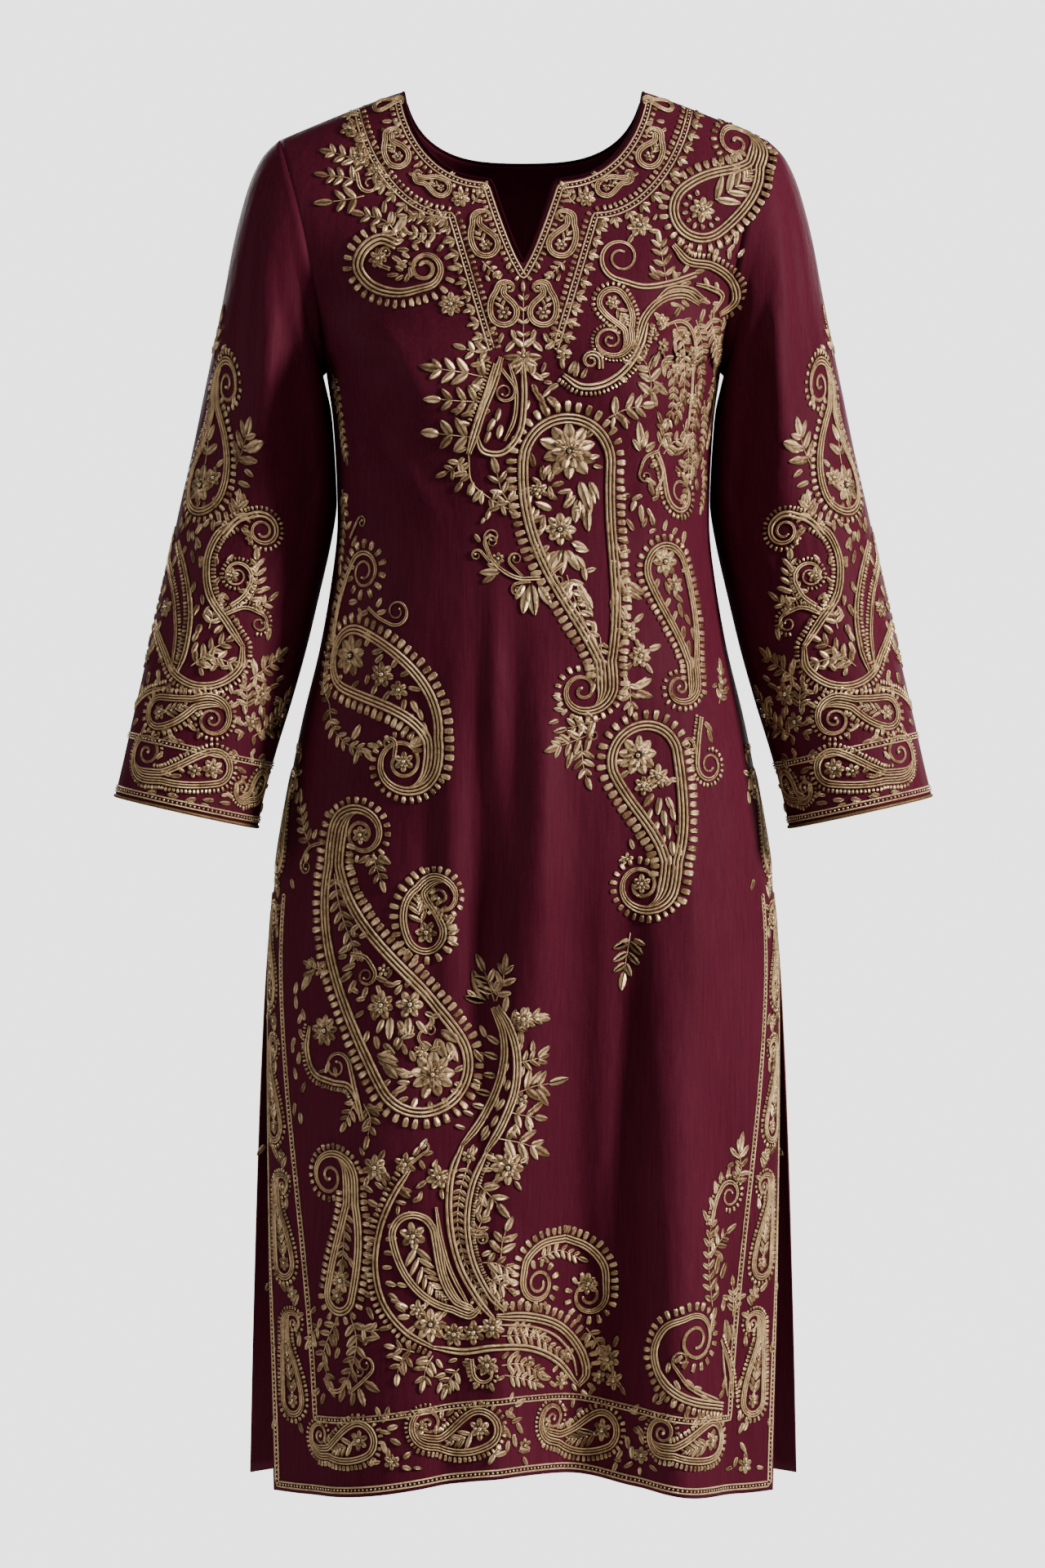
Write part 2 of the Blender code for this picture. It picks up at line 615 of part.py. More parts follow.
def boteh_line(boteh):
    """The middle of a paisley's band and its width at each point.

    It starts where the two sides join, runs up the inner side, round the head and down the outer side,
    and winds into the curl.
    """
    hand = 1 if boteh.turns > 0 else -1
    head, tail = Vector((boteh.head_x, boteh.head_z)), Vector((boteh.tail_x, boteh.tail_z))
    run = tail - head
    bearing = math.atan2(run.y, run.x)
    reach = SPINE_REACH * run.length
    start, end = (bearing + math.radians(angle) for angle in (boteh.lean, boteh.flick))
    first = head + reach * Vector((math.cos(start), math.sin(start)))
    second = tail - reach * Vector((math.cos(end), math.sin(end)))

    def half_width_at(u):
        return boteh.radius * (1 - u ** DROP_TAPER[0]) ** DROP_TAPER[1]

    def side_point(u, side):
        rest = 1 - u
        spine = rest**3 * head + 3 * u * rest**2 * first + 3 * u * u * rest * second + u**3 * tail
        along = rest**2 * (first - head) + 2 * u * rest * (second - first) + u * u * (tail - second)
        across = Vector((-along.y, along.x)).normalized() * side
        return spine + across * half_width_at(u)

    count = max(6, round(run.length / STEP))
    shares = [k / count for k in range(count + 1)]
    free = [u for u in shares if half_width_at(u) > BAND / 2 + SEAM]
    inner = [side_point(u, hand) for u in free[::-1]]
    outer = [side_point(u, -hand) for u in shares]
    around = max(5, round(math.pi * boteh.radius / CURL_STEP / 1.3))
    turned = [start + hand * (math.pi / 2 + math.pi * k / around) for k in range(1, around)]
    cap = [head + boteh.radius * Vector((math.cos(a), math.sin(a))) for a in turned]
    line = inner + cap + outer
    widths = [BAND] * len(line)
    steps = max(6, round(abs(boteh.turns) * 2 * math.pi * boteh.curl * 0.7 / CURL_STEP))
    point, bearing = tail.copy(), end
    for k in range(steps):
        share = (k + 0.5) / steps
        radius = boteh.curl * mix(1, CURL_END, share)
        turn = 2 * math.pi * boteh.turns / steps
        bearing += turn / 2
        point = point + abs(turn) * radius * Vector((math.cos(bearing), math.sin(bearing)))
        bearing += turn / 2
        line.append(point)
        widths.append(BAND * mix(1, CURL_TAPER, share))
    return line, widths


# ---------------------------------------------------------------- braid and band laid on the panels
class Ground:
    """The outer face of a piece of cloth, on which braid and band are laid.

    spot gives the point of the face at a place, which is x and z on a panel and a distance round and up
    on a sleeve. turned is 1 where x and z run as they do on the front, and -1 where one of them is reversed.
    """

    def __init__(self, spot, outer, turned):
        self.spot = spot
        self.outer = outer
        self.turned = turned

    def nearest(self, point):
        return self.outer.find_nearest(point)[0]

    def above(self, place, height):
        """The point at a height above the cloth at a place."""
        hit, normal, _, _ = self.outer.find_nearest(self.spot(place.x, place.y))
        return hit + normal * height

    def normal(self, place):
        """The outward direction of the face at a place."""
        across = self.spot(place.x + PROBE, place.y) - self.spot(place.x - PROBE, place.y)
        upwards = self.spot(place.x, place.y + PROBE) - self.spot(place.x, place.y - PROBE)
        return across.cross(upwards).normalized() * self.turned


def keep_off(tree, point, distance):
    """A point moved away from a mesh where it is nearer than a distance."""
    hit, _, _, found = tree.find_nearest(point)
    return point if found >= distance else hit + (point - hit).normalized() * distance


def sideways(ground, line):
    """For each point of a line on the cloth: the point, the cloth's normal there and a unit to its left.

    At a corner the unit is longer, so that a strip keeps its width round it.
    """
    spine = [ground.spot(place.x, place.y) for place in line]
    last = len(line) - 1
    for k, place in enumerate(line):
        normal = ground.normal(place)
        before = spine[k] - spine[k - 1] if k else spine[1] - spine[0]
        after = spine[k + 1] - spine[k] if k < last else before
        lefts = [normal.cross(run).normalized() for run in (before, after)]
        yield spine[k], normal, (lefts[0] + lefts[1]) / (1 + lefts[0].dot(lefts[1]))


def lifted(ground, edges, normals):
    """Both edges of a strip, raised where the strip would cut through the cloth's facets between them."""
    for _ in range(LIFTS):
        lifts = [0.0] * len(normals)
        for k in range(len(normals) - 1):
            normal = (normals[k] + normals[k + 1]).normalized()
            for along, across in itertools.product((0, 0.25, 0.5, 0.75, 1), (0, 0.5, 1)):
                starts, ends = ([edge[n] for edge in edges] for n in (k, k + 1))
                point = starts[0].lerp(starts[1], across).lerp(ends[0].lerp(ends[1], across), along)
                short = CLEAR - (point - ground.nearest(point)).dot(normal)
                lifts[k] = max(lifts[k], short)
                lifts[k + 1] = max(lifts[k + 1], short)
        edges = [[point + n * lift for point, n, lift in zip(edge, normals, lifts)] for edge in edges]
    return edges


def laid_strip(name, ground, line, widths):
    """A flat strip along a line, laid on the cloth."""
    edges = [[], []]
    normals = []
    for (point, normal, left), width in zip(sideways(ground, line), widths):
        normals.append(normal)
        for edge, share in zip(edges, (-0.5, 0.5)):
            edge.append(ground.nearest(point + left * (share * width)) + normal * CLEAR)
    edges = lifted(ground, edges, normals)
    bm = mapped_grid(len(line) - 1, 1, lambda c, r: edges[r][c])
    return wall(mesh_object(name, bm, "gold_thread"), RELIEF, outwards=True)


def braid(name, ground, line, step):
    """A couched braid along a line, in facets no longer than a step."""
    line = resampled(line, step)
    return laid_strip(name, ground, line, [BRAID] * len(line))


def neck_binding(grounds, walls):
    """The rouleau round the whole neck, just inside the edges of both panels."""
    ring = []
    for side, ground in grounds.items():
        edge = neck_edge_line(side)
        inside = mitred(edge, [-EDGE_TO_BRAID] * len(edge))
        points = []
        for place, within in zip(edge, inside):
            start = ground.above(place, -CLOTH / 2)
            away = start - ground.above(within, -CLOTH / 2)
            beside = start + away * ((PIPING + SEAM) / EDGE_TO_BRAID)
            points.append(keep_off(walls[side], beside, PIPING + SEAM))
        ring += points if side == "front" else points[-2:0:-1]
    return piping("neck_binding", ring, "binding")


def main():
    for obj in list(bpy.data.objects):
        bpy.data.objects.remove(obj)
    bpy.context.scene.collection.children.link(bpy.data.collections.new("kurta"))
    grounds, walls = {}, {}
    for side, turned in (("front", 1), ("back", -1)):
        outer, walls[side] = cloth_panel(side, side)
        grounds[side] = Ground(partial(on_panel, side), outer, turned)
    for hand, name in ((1, "left"), (-1, "right")):
        ground = Ground(partial(sleeve_place, hand), sleeve(f"sleeve_{name}", hand), -hand)
        cuff_piping(f"cuff_piping_{name}", hand)
        ring_braid(f"cuff_braid_lower_{name}", hand, EDGE_TO_BRAID)
        ring_braid(f"cuff_braid_upper_{name}", hand, CUFF_BAND)
        for boteh in SLEEVE_BOTEHS:
            laid_strip(f"paisley_{boteh.name}_{name}", ground, *boteh_line(boteh))
    neck_binding(grounds, walls)
    for side in ("front", "back"):
        braid(f"neck_braid_inner_{side}", grounds[side], inner_neck_line(side), CURL_STEP)
    half = outer_neck_line("front")
    braid("neck_braid_outer_left", grounds["front"], half, CURL_STEP)
    braid("neck_braid_outer_right", grounds["front"], [Vector((-p.x, p.y)) for p in half], CURL_STEP)
    braid("neck_braid_outer_back", grounds["back"], outer_neck_line("back"), CURL_STEP)
    braid("border_braid_outer", grounds["front"], border_line(EDGE_TO_BRAID + BRAID / 2), 2 * STEP)
    braid("border_braid_inner", grounds["front"], border_line(BORDER), 2 * STEP)
    for boteh in BOTEHS:
        laid_strip(f"paisley_{boteh.name}", grounds["front"], *boteh_line(boteh))


main()
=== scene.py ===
"""Kurta tunic in burgundy satin with raised gold thread work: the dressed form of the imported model.

The garment keeps the hollow form that it has when worn. The cloth is worked out from the same sections as
its solids, with finer creases. The embroidery is modelled flat, on a draft of each piece of cloth, and is
then laid onto that piece, so that it follows every fold. Sizes are in metres, -Y is the front and +X is
the wearer's left.
"""

from __future__ import annotations

import json
import logging
import math
from collections.abc import Iterable, Sequence
from dataclasses import dataclass, field, replace
from enum import Enum

import bmesh
import bpy
import numpy as np
from mathutils import Vector
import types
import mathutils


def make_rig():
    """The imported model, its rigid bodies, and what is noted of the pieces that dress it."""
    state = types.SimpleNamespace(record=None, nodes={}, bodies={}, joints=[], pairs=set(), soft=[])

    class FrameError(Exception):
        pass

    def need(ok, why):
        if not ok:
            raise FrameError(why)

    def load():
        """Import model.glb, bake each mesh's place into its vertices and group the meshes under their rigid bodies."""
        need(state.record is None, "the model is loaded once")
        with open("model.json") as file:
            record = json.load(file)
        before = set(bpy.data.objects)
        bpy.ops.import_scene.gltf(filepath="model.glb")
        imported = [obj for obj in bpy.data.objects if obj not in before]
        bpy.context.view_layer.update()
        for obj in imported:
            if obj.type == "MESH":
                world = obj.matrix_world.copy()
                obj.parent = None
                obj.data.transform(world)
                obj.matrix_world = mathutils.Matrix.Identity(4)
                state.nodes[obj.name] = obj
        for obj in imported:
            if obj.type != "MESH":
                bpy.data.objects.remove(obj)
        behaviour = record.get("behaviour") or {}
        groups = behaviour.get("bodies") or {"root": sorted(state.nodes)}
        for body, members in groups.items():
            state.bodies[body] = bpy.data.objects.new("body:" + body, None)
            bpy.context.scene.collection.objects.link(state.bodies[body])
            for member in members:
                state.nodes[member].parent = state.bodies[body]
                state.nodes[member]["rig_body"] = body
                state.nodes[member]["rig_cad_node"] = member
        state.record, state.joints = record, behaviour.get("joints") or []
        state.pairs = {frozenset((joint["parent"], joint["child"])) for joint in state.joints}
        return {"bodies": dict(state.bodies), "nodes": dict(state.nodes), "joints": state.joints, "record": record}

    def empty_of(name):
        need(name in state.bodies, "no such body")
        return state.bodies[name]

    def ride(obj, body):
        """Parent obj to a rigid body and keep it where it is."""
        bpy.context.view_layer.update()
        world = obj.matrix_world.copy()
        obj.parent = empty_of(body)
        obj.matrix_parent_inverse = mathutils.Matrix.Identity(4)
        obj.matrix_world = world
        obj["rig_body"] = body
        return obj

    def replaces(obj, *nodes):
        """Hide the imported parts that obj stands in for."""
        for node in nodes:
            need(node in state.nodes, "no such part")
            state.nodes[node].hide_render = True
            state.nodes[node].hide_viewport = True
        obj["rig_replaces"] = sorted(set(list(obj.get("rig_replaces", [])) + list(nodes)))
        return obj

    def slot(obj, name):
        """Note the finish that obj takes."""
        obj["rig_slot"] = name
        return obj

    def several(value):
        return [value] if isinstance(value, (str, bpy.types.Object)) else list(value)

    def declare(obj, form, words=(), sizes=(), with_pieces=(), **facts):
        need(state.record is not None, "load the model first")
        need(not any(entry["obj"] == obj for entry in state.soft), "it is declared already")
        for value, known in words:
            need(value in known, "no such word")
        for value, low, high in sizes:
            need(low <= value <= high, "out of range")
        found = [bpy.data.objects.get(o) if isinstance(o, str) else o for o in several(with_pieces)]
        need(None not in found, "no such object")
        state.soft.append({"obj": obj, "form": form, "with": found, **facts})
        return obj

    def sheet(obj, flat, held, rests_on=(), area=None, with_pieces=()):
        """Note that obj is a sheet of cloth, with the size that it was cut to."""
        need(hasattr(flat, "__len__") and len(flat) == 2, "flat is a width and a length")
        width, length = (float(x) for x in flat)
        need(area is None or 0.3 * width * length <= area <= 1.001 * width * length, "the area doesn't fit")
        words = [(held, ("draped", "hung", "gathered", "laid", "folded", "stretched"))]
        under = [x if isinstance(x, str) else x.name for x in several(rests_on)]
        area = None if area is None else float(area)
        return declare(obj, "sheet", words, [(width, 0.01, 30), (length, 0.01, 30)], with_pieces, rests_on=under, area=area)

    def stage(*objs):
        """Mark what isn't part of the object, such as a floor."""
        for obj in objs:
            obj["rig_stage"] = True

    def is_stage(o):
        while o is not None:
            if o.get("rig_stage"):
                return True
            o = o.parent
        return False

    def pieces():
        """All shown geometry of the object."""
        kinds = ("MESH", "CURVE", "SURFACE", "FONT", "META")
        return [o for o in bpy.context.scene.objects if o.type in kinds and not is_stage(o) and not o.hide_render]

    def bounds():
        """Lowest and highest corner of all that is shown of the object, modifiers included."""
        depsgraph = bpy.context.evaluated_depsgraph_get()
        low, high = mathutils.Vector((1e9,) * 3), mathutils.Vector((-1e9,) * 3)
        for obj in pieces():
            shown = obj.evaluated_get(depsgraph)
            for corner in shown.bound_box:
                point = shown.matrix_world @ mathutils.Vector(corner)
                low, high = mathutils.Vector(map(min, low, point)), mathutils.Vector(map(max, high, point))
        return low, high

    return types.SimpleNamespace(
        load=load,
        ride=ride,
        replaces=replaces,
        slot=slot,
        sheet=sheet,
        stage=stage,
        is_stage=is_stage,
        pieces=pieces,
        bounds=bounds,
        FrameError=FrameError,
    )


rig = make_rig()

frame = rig.load()

LOG = logging.getLogger("kurta")
Array = np.ndarray
Place = tuple[float, float]
Point = tuple[float, float, float]

# ------------------------------------------------------------------ the cut of the garment
# Places are x and z. The exponents of curves are SHOULDER_SLOPE, ARMHOLE_CURVE, NOTCH_BOW and the three ROUNDs.
CLOTH = 0.0012
SEAM = 0.0003
NECK_HALF = 0.0905
NECK_CREST = 0.02
SHOULDER_TIP = (0.185, -0.037)
SHOULDER_SLOPE = 1.1
SHOULDER_TURN = 0.0885  # height over which the cloth turns down from the shoulder's seam
ARMPIT = (0.15, -0.214)
ARMHOLE_DEPTH = 0.06
ARMHOLE_CURVE = 1.6
SLIT_TOP = -0.61
HEM = -1.057
HEM_RISE_HALF = 0.11
NOTCH_HALF = 0.024
NOTCH_TOP = -0.076
NOTCH_FOOT = -0.142
NOTCH_BOW = 1.2
BACK_NECK_DROP = 0.045
SIDE_ROUND = 2.3
CHEST_ROUND = 2.2
SKIRT_ROUND = 2.7
CUFF_BAND = 0.0475
NECK_BAND = 0.037
BORDER = 0.05

# The draft is a front elevation drawn from the eye's distance; its unit is EYE_UNIT at the side seams' plane.
EYE = 3.185
EYE_HEIGHT = -0.527
EYE_UNIT = 0.000622
DRAFT_MIDDLE = (641.0, 960.0)
ARC_PLACES = np.linspace(-0.3, 0.3, 601)  # distances along the cloth at which places are looked up
REACH = 1.25  # how far the measured lines run, as a share of the half width
PROBE = 0.0009  # step for finding which way the cloth faces
TINY = 1e-9  # least length that a step is divided by


def smooth(share: Array) -> Array:
    """0 to 1 with a soft start and end."""
    share = np.clip(share, 0.0, 1.0)
    return share * share * (3 - 2 * share)


def mix(low: Array | float, high: Array | float, share: Array | float) -> Array | float:
    """The value at a share of the way from low to high."""
    return low + (high - low) * share


def through(keys: Array, values: Array, at: Array) -> Array:
    """A smooth curve through the rows of a table.

    Args:
        keys: The rows' places, rising.
        values: The rows' values.
        at: The places that are asked for.

    Returns:
        The values there, with the shape of at.
    """
    slope = np.empty_like(values)
    slope[1:-1] = (values[2:] - values[:-2]) / (keys[2:] - keys[:-2])
    slope[0] = (values[1] - values[0]) / (keys[1] - keys[0])
    slope[-1] = (values[-1] - values[-2]) / (keys[-1] - keys[-2])
    at = np.clip(at, keys[0], keys[-1])
    k = np.clip(np.searchsorted(keys, at, side="right") - 1, 0, len(keys) - 2)
    run = keys[k + 1] - keys[k]
    p = (at - keys[k]) / run
    near = values[k] * (1 + 2 * p) * (1 - p) ** 2 + values[k + 1] * p * p * (3 - 2 * p)
    return near + slope[k] * run * p * (1 - p) ** 2 - slope[k + 1] * run * p * p * (1 - p)


def between(table: Array, row: Array, column: Array) -> Array:
    """Values of a table between its rows and columns."""
    r = np.clip(row.astype(int), 0, table.shape[0] - 2)
    c = np.clip(column.astype(int), 0, table.shape[1] - 2)
    p, q = np.clip(row - r, 0, 1), np.clip(column - c, 0, 1)
    return mix(mix(table[r, c], table[r, c + 1], q), mix(table[r + 1, c], table[r + 1, c + 1], q), p)


def shoulder_height(x: Array) -> Array:
    """Height of the shoulder seam's line at x, which runs on over the neck."""
    out = (np.abs(x) - NECK_HALF) / (SHOULDER_TIP[0] - NECK_HALF)
    fall = SHOULDER_TIP[1] * np.clip(out, 0, None) ** SHOULDER_SLOPE
    return np.where(out > 0, fall, -NECK_CREST * out)


def shoulder_turn(x: Array, z: Array) -> Array:
    """How far the cloth stands out below the shoulder's seam, from 0 on the seam to 1."""
    return np.sqrt(1 - (1 - np.clip((shoulder_height(x) - z) / SHOULDER_TURN, 0, 1)) ** 2)


def metres(rows: Sequence[Sequence[float]], plain: int = 0) -> Array:
    """A table given in millimetres, in metres but for its last few columns."""
    table = np.array(rows, float)
    table[:, : table.shape[1] - plain] /= 1000
    return table


# Sections of the body: z, half width of the front and of the back, how far each stands out at its middle.
BODY = metres([
    (30, 185, 185, 56, 62), (-40, 180, 180, 59, 74), (-90, 170, 170, 72, 86), (-140, 160, 160, 96, 92),
    (-214, 150, 150, 119, 90), (-255, 144.5, 144.5, 123, 84), (-328, 141.5, 141.5, 113, 77), (-366, 145, 145, 110, 78),
    (-422, 154.5, 154.5, 109, 86), (-478, 168, 168, 111, 97), (-534, 179, 179, 114, 104), (-590, 188, 188, 117, 107),
    (-650, 192.8, 194.5, 119, 108), (-740, 193.6, 199.8, 121, 109), (-863, 191.6, 205, 124, 111),
    (-960, 189.4, 208.2, 127, 113), (-1080, 186.6, 211, 130, 116),
])[::-1].T

# Folds: x and z at the top, x and z at the foot, half width, height, and whether it grows to its foot.
FRONT_FOLDS = metres([
    (56, -400, 42, -1060, 36, -40, 1), (82, -420, 72, -1020, 15, -6.2, 0), (112, -460, 122, -1060, 24, 18, 1),
    (-88, -520, -118, -1060, 50, 12, 1), (8, -380, 4, -860, 20, 10, 0), (-32, -400, -34, -900, 18, -10, 0),
    (-88, -215, -126, -335, 12, -5, 0), (92, -225, 128, -345, 12, -5, 0), (72, -165, 78, -300, 40, 11, 0),
    (-72, -165, -78, -300, 40, 11, 0), (-20, -330, -24, -600, 7.5, 5.2, 0), (-6, -350, -4, -640, 7.5, -3.8, 0),
    (16, -380, 18, -760, 9, 5.6, 0), (-46, -350, -56, -720, 12, 6.2, 0), (-70, -470, -66, -860, 11, -4.6, 0),
    (60, -520, 54, -1000, 11, 4.4, 0), (80, -560, 88, -1040, 11, -4.8, 1), (-12, -620, -20, -1050, 13, 5, 1),
    (-46, -700, -58, -1050, 12, -4.4, 1), (118, -420, 134, -760, 11, 4.4, 0), (-112, -170, -70, -260, 10, 4.6, 0),
    (116, -170, 74, -250, 10, 4.6, 0), (-116, -250, -60, -340, 9, 3.8, 0), (118, -255, 70, -355, 9, 3.8, 0),
    (150, -640, 154, -1050, 12, -4, 1), (-150, -650, -156, -1050, 12, -4, 1),
], 1)
BACK_FOLDS = metres([
    (0, -400, 0, -1060, 40, -22, 1), (90, -480, 105, -1060, 40, 10, 1), (-85, -450, -110, -1060, 42, 11, 1),
    (0, -60, 0, -330, 30, -7, 0), (70, -250, 50, -450, 16, -5, 0), (-75, -250, -55, -470, 16, -5, 0),
    (34, -300, 22, -560, 8, 3, 0), (-28, -320, -24, -600, 7.5, 2.8, 0), (58, -480, 64, -960, 11, -3.6, 0),
    (-52, -520, -60, -1050, 12, -4, 1), (124, -380, 100, -500, 8.5, 2.6, 0), (-124, -390, -98, -520, 8.5, 2.6, 0),
    (118, -100, 70, -200, 10, -3, 0), (-116, -105, -68, -210, 10, -3, 0), (150, -620, 158, -1050, 13, -5, 1),
    (-152, -600, -160, -1050, 13, -5, 1), (26, -660, 30, -1050, 11, 3.4, 1), (-20, -700, -24, -1050, 10, 3, 1),
], 1)

# Rings of a sleeve, one a row: outer x and z, inner x and z, the middle's depth and the half depth.
SLEEVE = metres([
    (185, -37, 150, -214, 0, 60), (192, -42.5, 153, -216.5, 1, 61), (200, -52, 151, -223, 2, 62.5),
    (208, -68.5, 149, -231, 3, 64), (215, -91, 147, -240, 4, 65), (221.5, -118, 145.5, -250, 5, 65.5),
    (227.5, -150, 144, -262, 6, 65.5), (234.5, -185, 143, -276, 7, 65), (243.5, -228, 142.5, -295, 9, 64),
    (253, -274, 142.8, -318, 10, 63), (263, -319, 147.8, -348, 8, 61.5), (271.5, -362, 156, -385, 3, 60),
    (280, -401, 165, -424, -3, 58.5), (288.2, -441, 175.8, -464, -10, 57), (296, -478, 186.8, -501, -17, 55.5),
    (302.5, -510, 195.5, -534, -23, 54), (308, -535, 200.5, -559, -28, 53),
]).T
RINGS = np.arange(len(SLEEVE[0]))
LAST_RING = 16.0
SLEEVE_CLEAR = 0.0008

# Folds of a sleeve: turn from the underside at top and foot, first and last ring, half width, height.
SLEEVE_FOLDS = np.array([
    (2.05, 1.35, 2, 12, 0.22, 0.0075), (1.35, 0.75, 3, 11, 0.2, -0.0083), (0.8, 0.3, 6, 13, 0.18, 0.0067),
    (-1.9, -1.2, 3, 12, 0.24, -0.0075), (-1.1, -0.6, 4, 13, 0.22, 0.0067), (1.72, 1.5, 3, 9, 0.075, 0.0036),
    (1.1, 1.02, 4, 10, 0.065, 0.0036), (0.62, 0.95, 7, 11, 0.07, -0.0036), (2.45, 1.95, 1, 8, 0.12, -0.0042),
    (0.45, 1.35, 8, 11.5, 0.08, 0.003), (0.4, 1.1, 9, 12.5, 0.07, -0.0027), (-1.6, -1.45, 3, 9, 0.08, 0.0039),
    (-0.6, -1.3, 8, 12, 0.08, 0.0033), (-2.4, -2, 2, 9, 0.11, 0.0045), (-2.05, -1.7, 8, 14, 0.09, -0.0033),
])


class Side(Enum):
    """The two panels of the body."""

    FRONT = "front"
    BACK = "back"


@dataclass
class Panel:
    """The front or the back of the tunic.

    Places on it are either x and z, or flat: the distance a along the cloth from its middle, and z.

    Attributes:
        side: Which panel it is.
        folds: Its folds.
        hem_rise: How much higher the hem is at its middle.
        hem_corner_depth: How far the hem's corners stand out from the side seams' plane.
        scoop: The two exponents of the neck's curve.
        across: Faces from its middle to a side.
        rows: Faces below and above the armpits.
        heights: The heights of the measured level lines.
        arcs: The distance along the cloth to each measured point.
        shares: The share of the half width at each of ARC_PLACES.
    """

    side: Side
    folds: Array
    hem_rise: float
    hem_corner_depth: float
    scoop: tuple[float, float]
    across: int
    rows: tuple[int, int]
    heights: Array = field(init=False)
    arcs: Array = field(init=False)
    shares: Array = field(init=False)

    def __post_init__(self) -> None:
        """Measures the cloth along each of many level lines, for places given flat."""
        levels, across = 270, 401
        self.heights = np.linspace(HEM - 0.02, 0.0, levels)
        share = np.linspace(-REACH, REACH, across)
        x = share * self.half_width(self.heights)[:, None]
        steps = np.hypot(np.diff(x, axis=1), np.diff(self.depth(x, self.heights[:, None]), axis=1))
        run = np.concatenate([np.zeros((len(x), 1)), np.cumsum(steps, axis=1)], axis=1)
        self.arcs = run - run[:, [across // 2]]
        self.shares = np.array([np.interp(ARC_PLACES, arc, share) for arc in self.arcs])

    @property
    def facing(self) -> int:
        """-1 for the front and 1 for the back."""
        return -1 if self.side is Side.FRONT else 1

    def half_width(self, z: Array) -> Array:
        """Half the panel's width at a height.

        Args:
            z: Heights.

        Returns:
            The half widths there.
        """
        z = np.asarray(z, float)
        climb = np.clip((z - ARMPIT[1]) / (SHOULDER_TIP[1] - ARMPIT[1]), 0, 1)
        above = mix(ARMPIT[0], SHOULDER_TIP[0], climb**ARMHOLE_CURVE)
        below = through(BODY[0], BODY[1 if self.side is Side.FRONT else 2], z)
        return np.where(z > ARMPIT[1], above, below)

    def edge_depth(self, z: Array) -> Array:
        """How far the panel's edge stands from the side seams' plane."""
        middle = (SHOULDER_TIP[1] + ARMPIT[1]) / 2
        low = np.clip((middle - z) / (middle - ARMPIT[1]), 0, 1)
        armhole = ARMHOLE_DEPTH * np.sqrt(1 - low * low)
        return armhole + smooth((SLIT_TOP - z) / (SLIT_TOP - HEM)) * self.hem_corner_depth

    def depth(self, x: Array, z: Array) -> Array:
        """Distance of the panel's outer face from the side seams' plane.

        Args:
            x: Places across, from the middle.
            z: Heights.

        Returns:
            The distances, which are positive on both panels.
        """
        half = self.half_width(z)
        share = np.clip(np.abs(x) / half, 0, 1)
        rounded = (1 - share**SIDE_ROUND) ** (1 / SIDE_ROUND)
        chest = mix(rounded, 1 - share**CHEST_ROUND, smooth((z - ARMPIT[1]) / 0.05))
        skirt = mix(rounded, 1 - share**SKIRT_ROUND, smooth((SLIT_TOP - z) / (SLIT_TOP - HEM)))
        edge = self.edge_depth(z)
        middle = through(BODY[0], BODY[3 if self.side is Side.FRONT else 4], z)
        fade = smooth((1 - share) / 0.25)
        section = edge + (middle - edge) * np.where(z > ARMPIT[1], chest, skirt)
        return section * shoulder_turn(x, z) + self.creases(x, z) * fade

    def creases(self, x: Array, z: Array) -> Array:
        """What the folds add to the panel's depth.

        Args:
            x: Places across, from the middle.
            z: Heights.

        Returns:
            What is added at each place.
        """
        total = np.zeros(np.broadcast(x, z).shape)
        for x_top, z_top, x_foot, z_foot, half_width, height, grows in self.folds:
            along = (z_top - z) / (z_top - z_foot)
            swell = smooth(along) if grows else np.sin(math.pi * np.clip(along, 0, 1)) ** 2
            across = (x - mix(x_top, x_foot, along)) / half_width
            total = total + np.where(along > 0, height * swell * np.exp(-across * across), 0)
        return total

    def point(self, x: Array, z: Array) -> Array:
        """Points of the panel's outer face, one row each."""
        x, z = np.broadcast_arrays(x, z)
        return np.stack([x, self.facing * (self.depth(x, z) + SEAM / 2), z], axis=-1)

    def hem(self, x: Array) -> Array:
        """Height of the hem at x."""
        return HEM + self.hem_rise * np.exp(-((x / HEM_RISE_HALF) ** 2))

    def neck_edge(self, x: Array) -> Array:
        """Height of the neck's edge at x.

        Args:
            x: Places across, from the middle.

        Returns:
            The heights there.
        """
        x = np.abs(x)
        if self.side is Side.BACK:
            return -BACK_NECK_DROP * (1 - np.clip(x / NECK_HALF, 0, 1) ** self.scoop[0]) ** self.scoop[1]
        past = np.clip((x - NOTCH_HALF) / (NECK_HALF - NOTCH_HALF), 0, 1)
        arc = NOTCH_TOP * (1 - past ** self.scoop[0]) ** self.scoop[1]
        notch = mix(NOTCH_FOOT, NOTCH_TOP, np.clip(x / NOTCH_HALF, 0, 1) ** NOTCH_BOW)
        return np.where(x < NOTCH_HALF, notch, arc)

    def to_flat(self, x: Array, z: Array) -> Array:
        """Flat places of places given as x and z."""
        share = np.clip(x / self.half_width(z), -REACH, REACH)
        a = between(self.arcs, self._row(z), (share + REACH) / (2 * REACH) * (self.arcs.shape[1] - 1))
        return np.stack([a, z], axis=-1)

    def _row(self, z: Array) -> Array:
        """The number of the measured line at a height."""
        return (z - self.heights[0]) / (self.heights[1] - self.heights[0])

    def from_draft(self, draft: Array) -> Array:
        """Flat places of points of the draft.

        Args:
            draft: Places on the draft, one row each.

        Returns:
            The flat places, one row each.
        """
        off = (np.asarray(draft, float) - DRAFT_MIDDLE) * (1, -1)
        scale = np.full(len(off), EYE_UNIT)
        for _ in range(8):
            x, z = off[:, 0] * scale, EYE_HEIGHT + off[:, 1] * scale
            scale = EYE_UNIT * (EYE + self.facing * self.depth(x, z)) / EYE
        return self.to_flat(x, z)

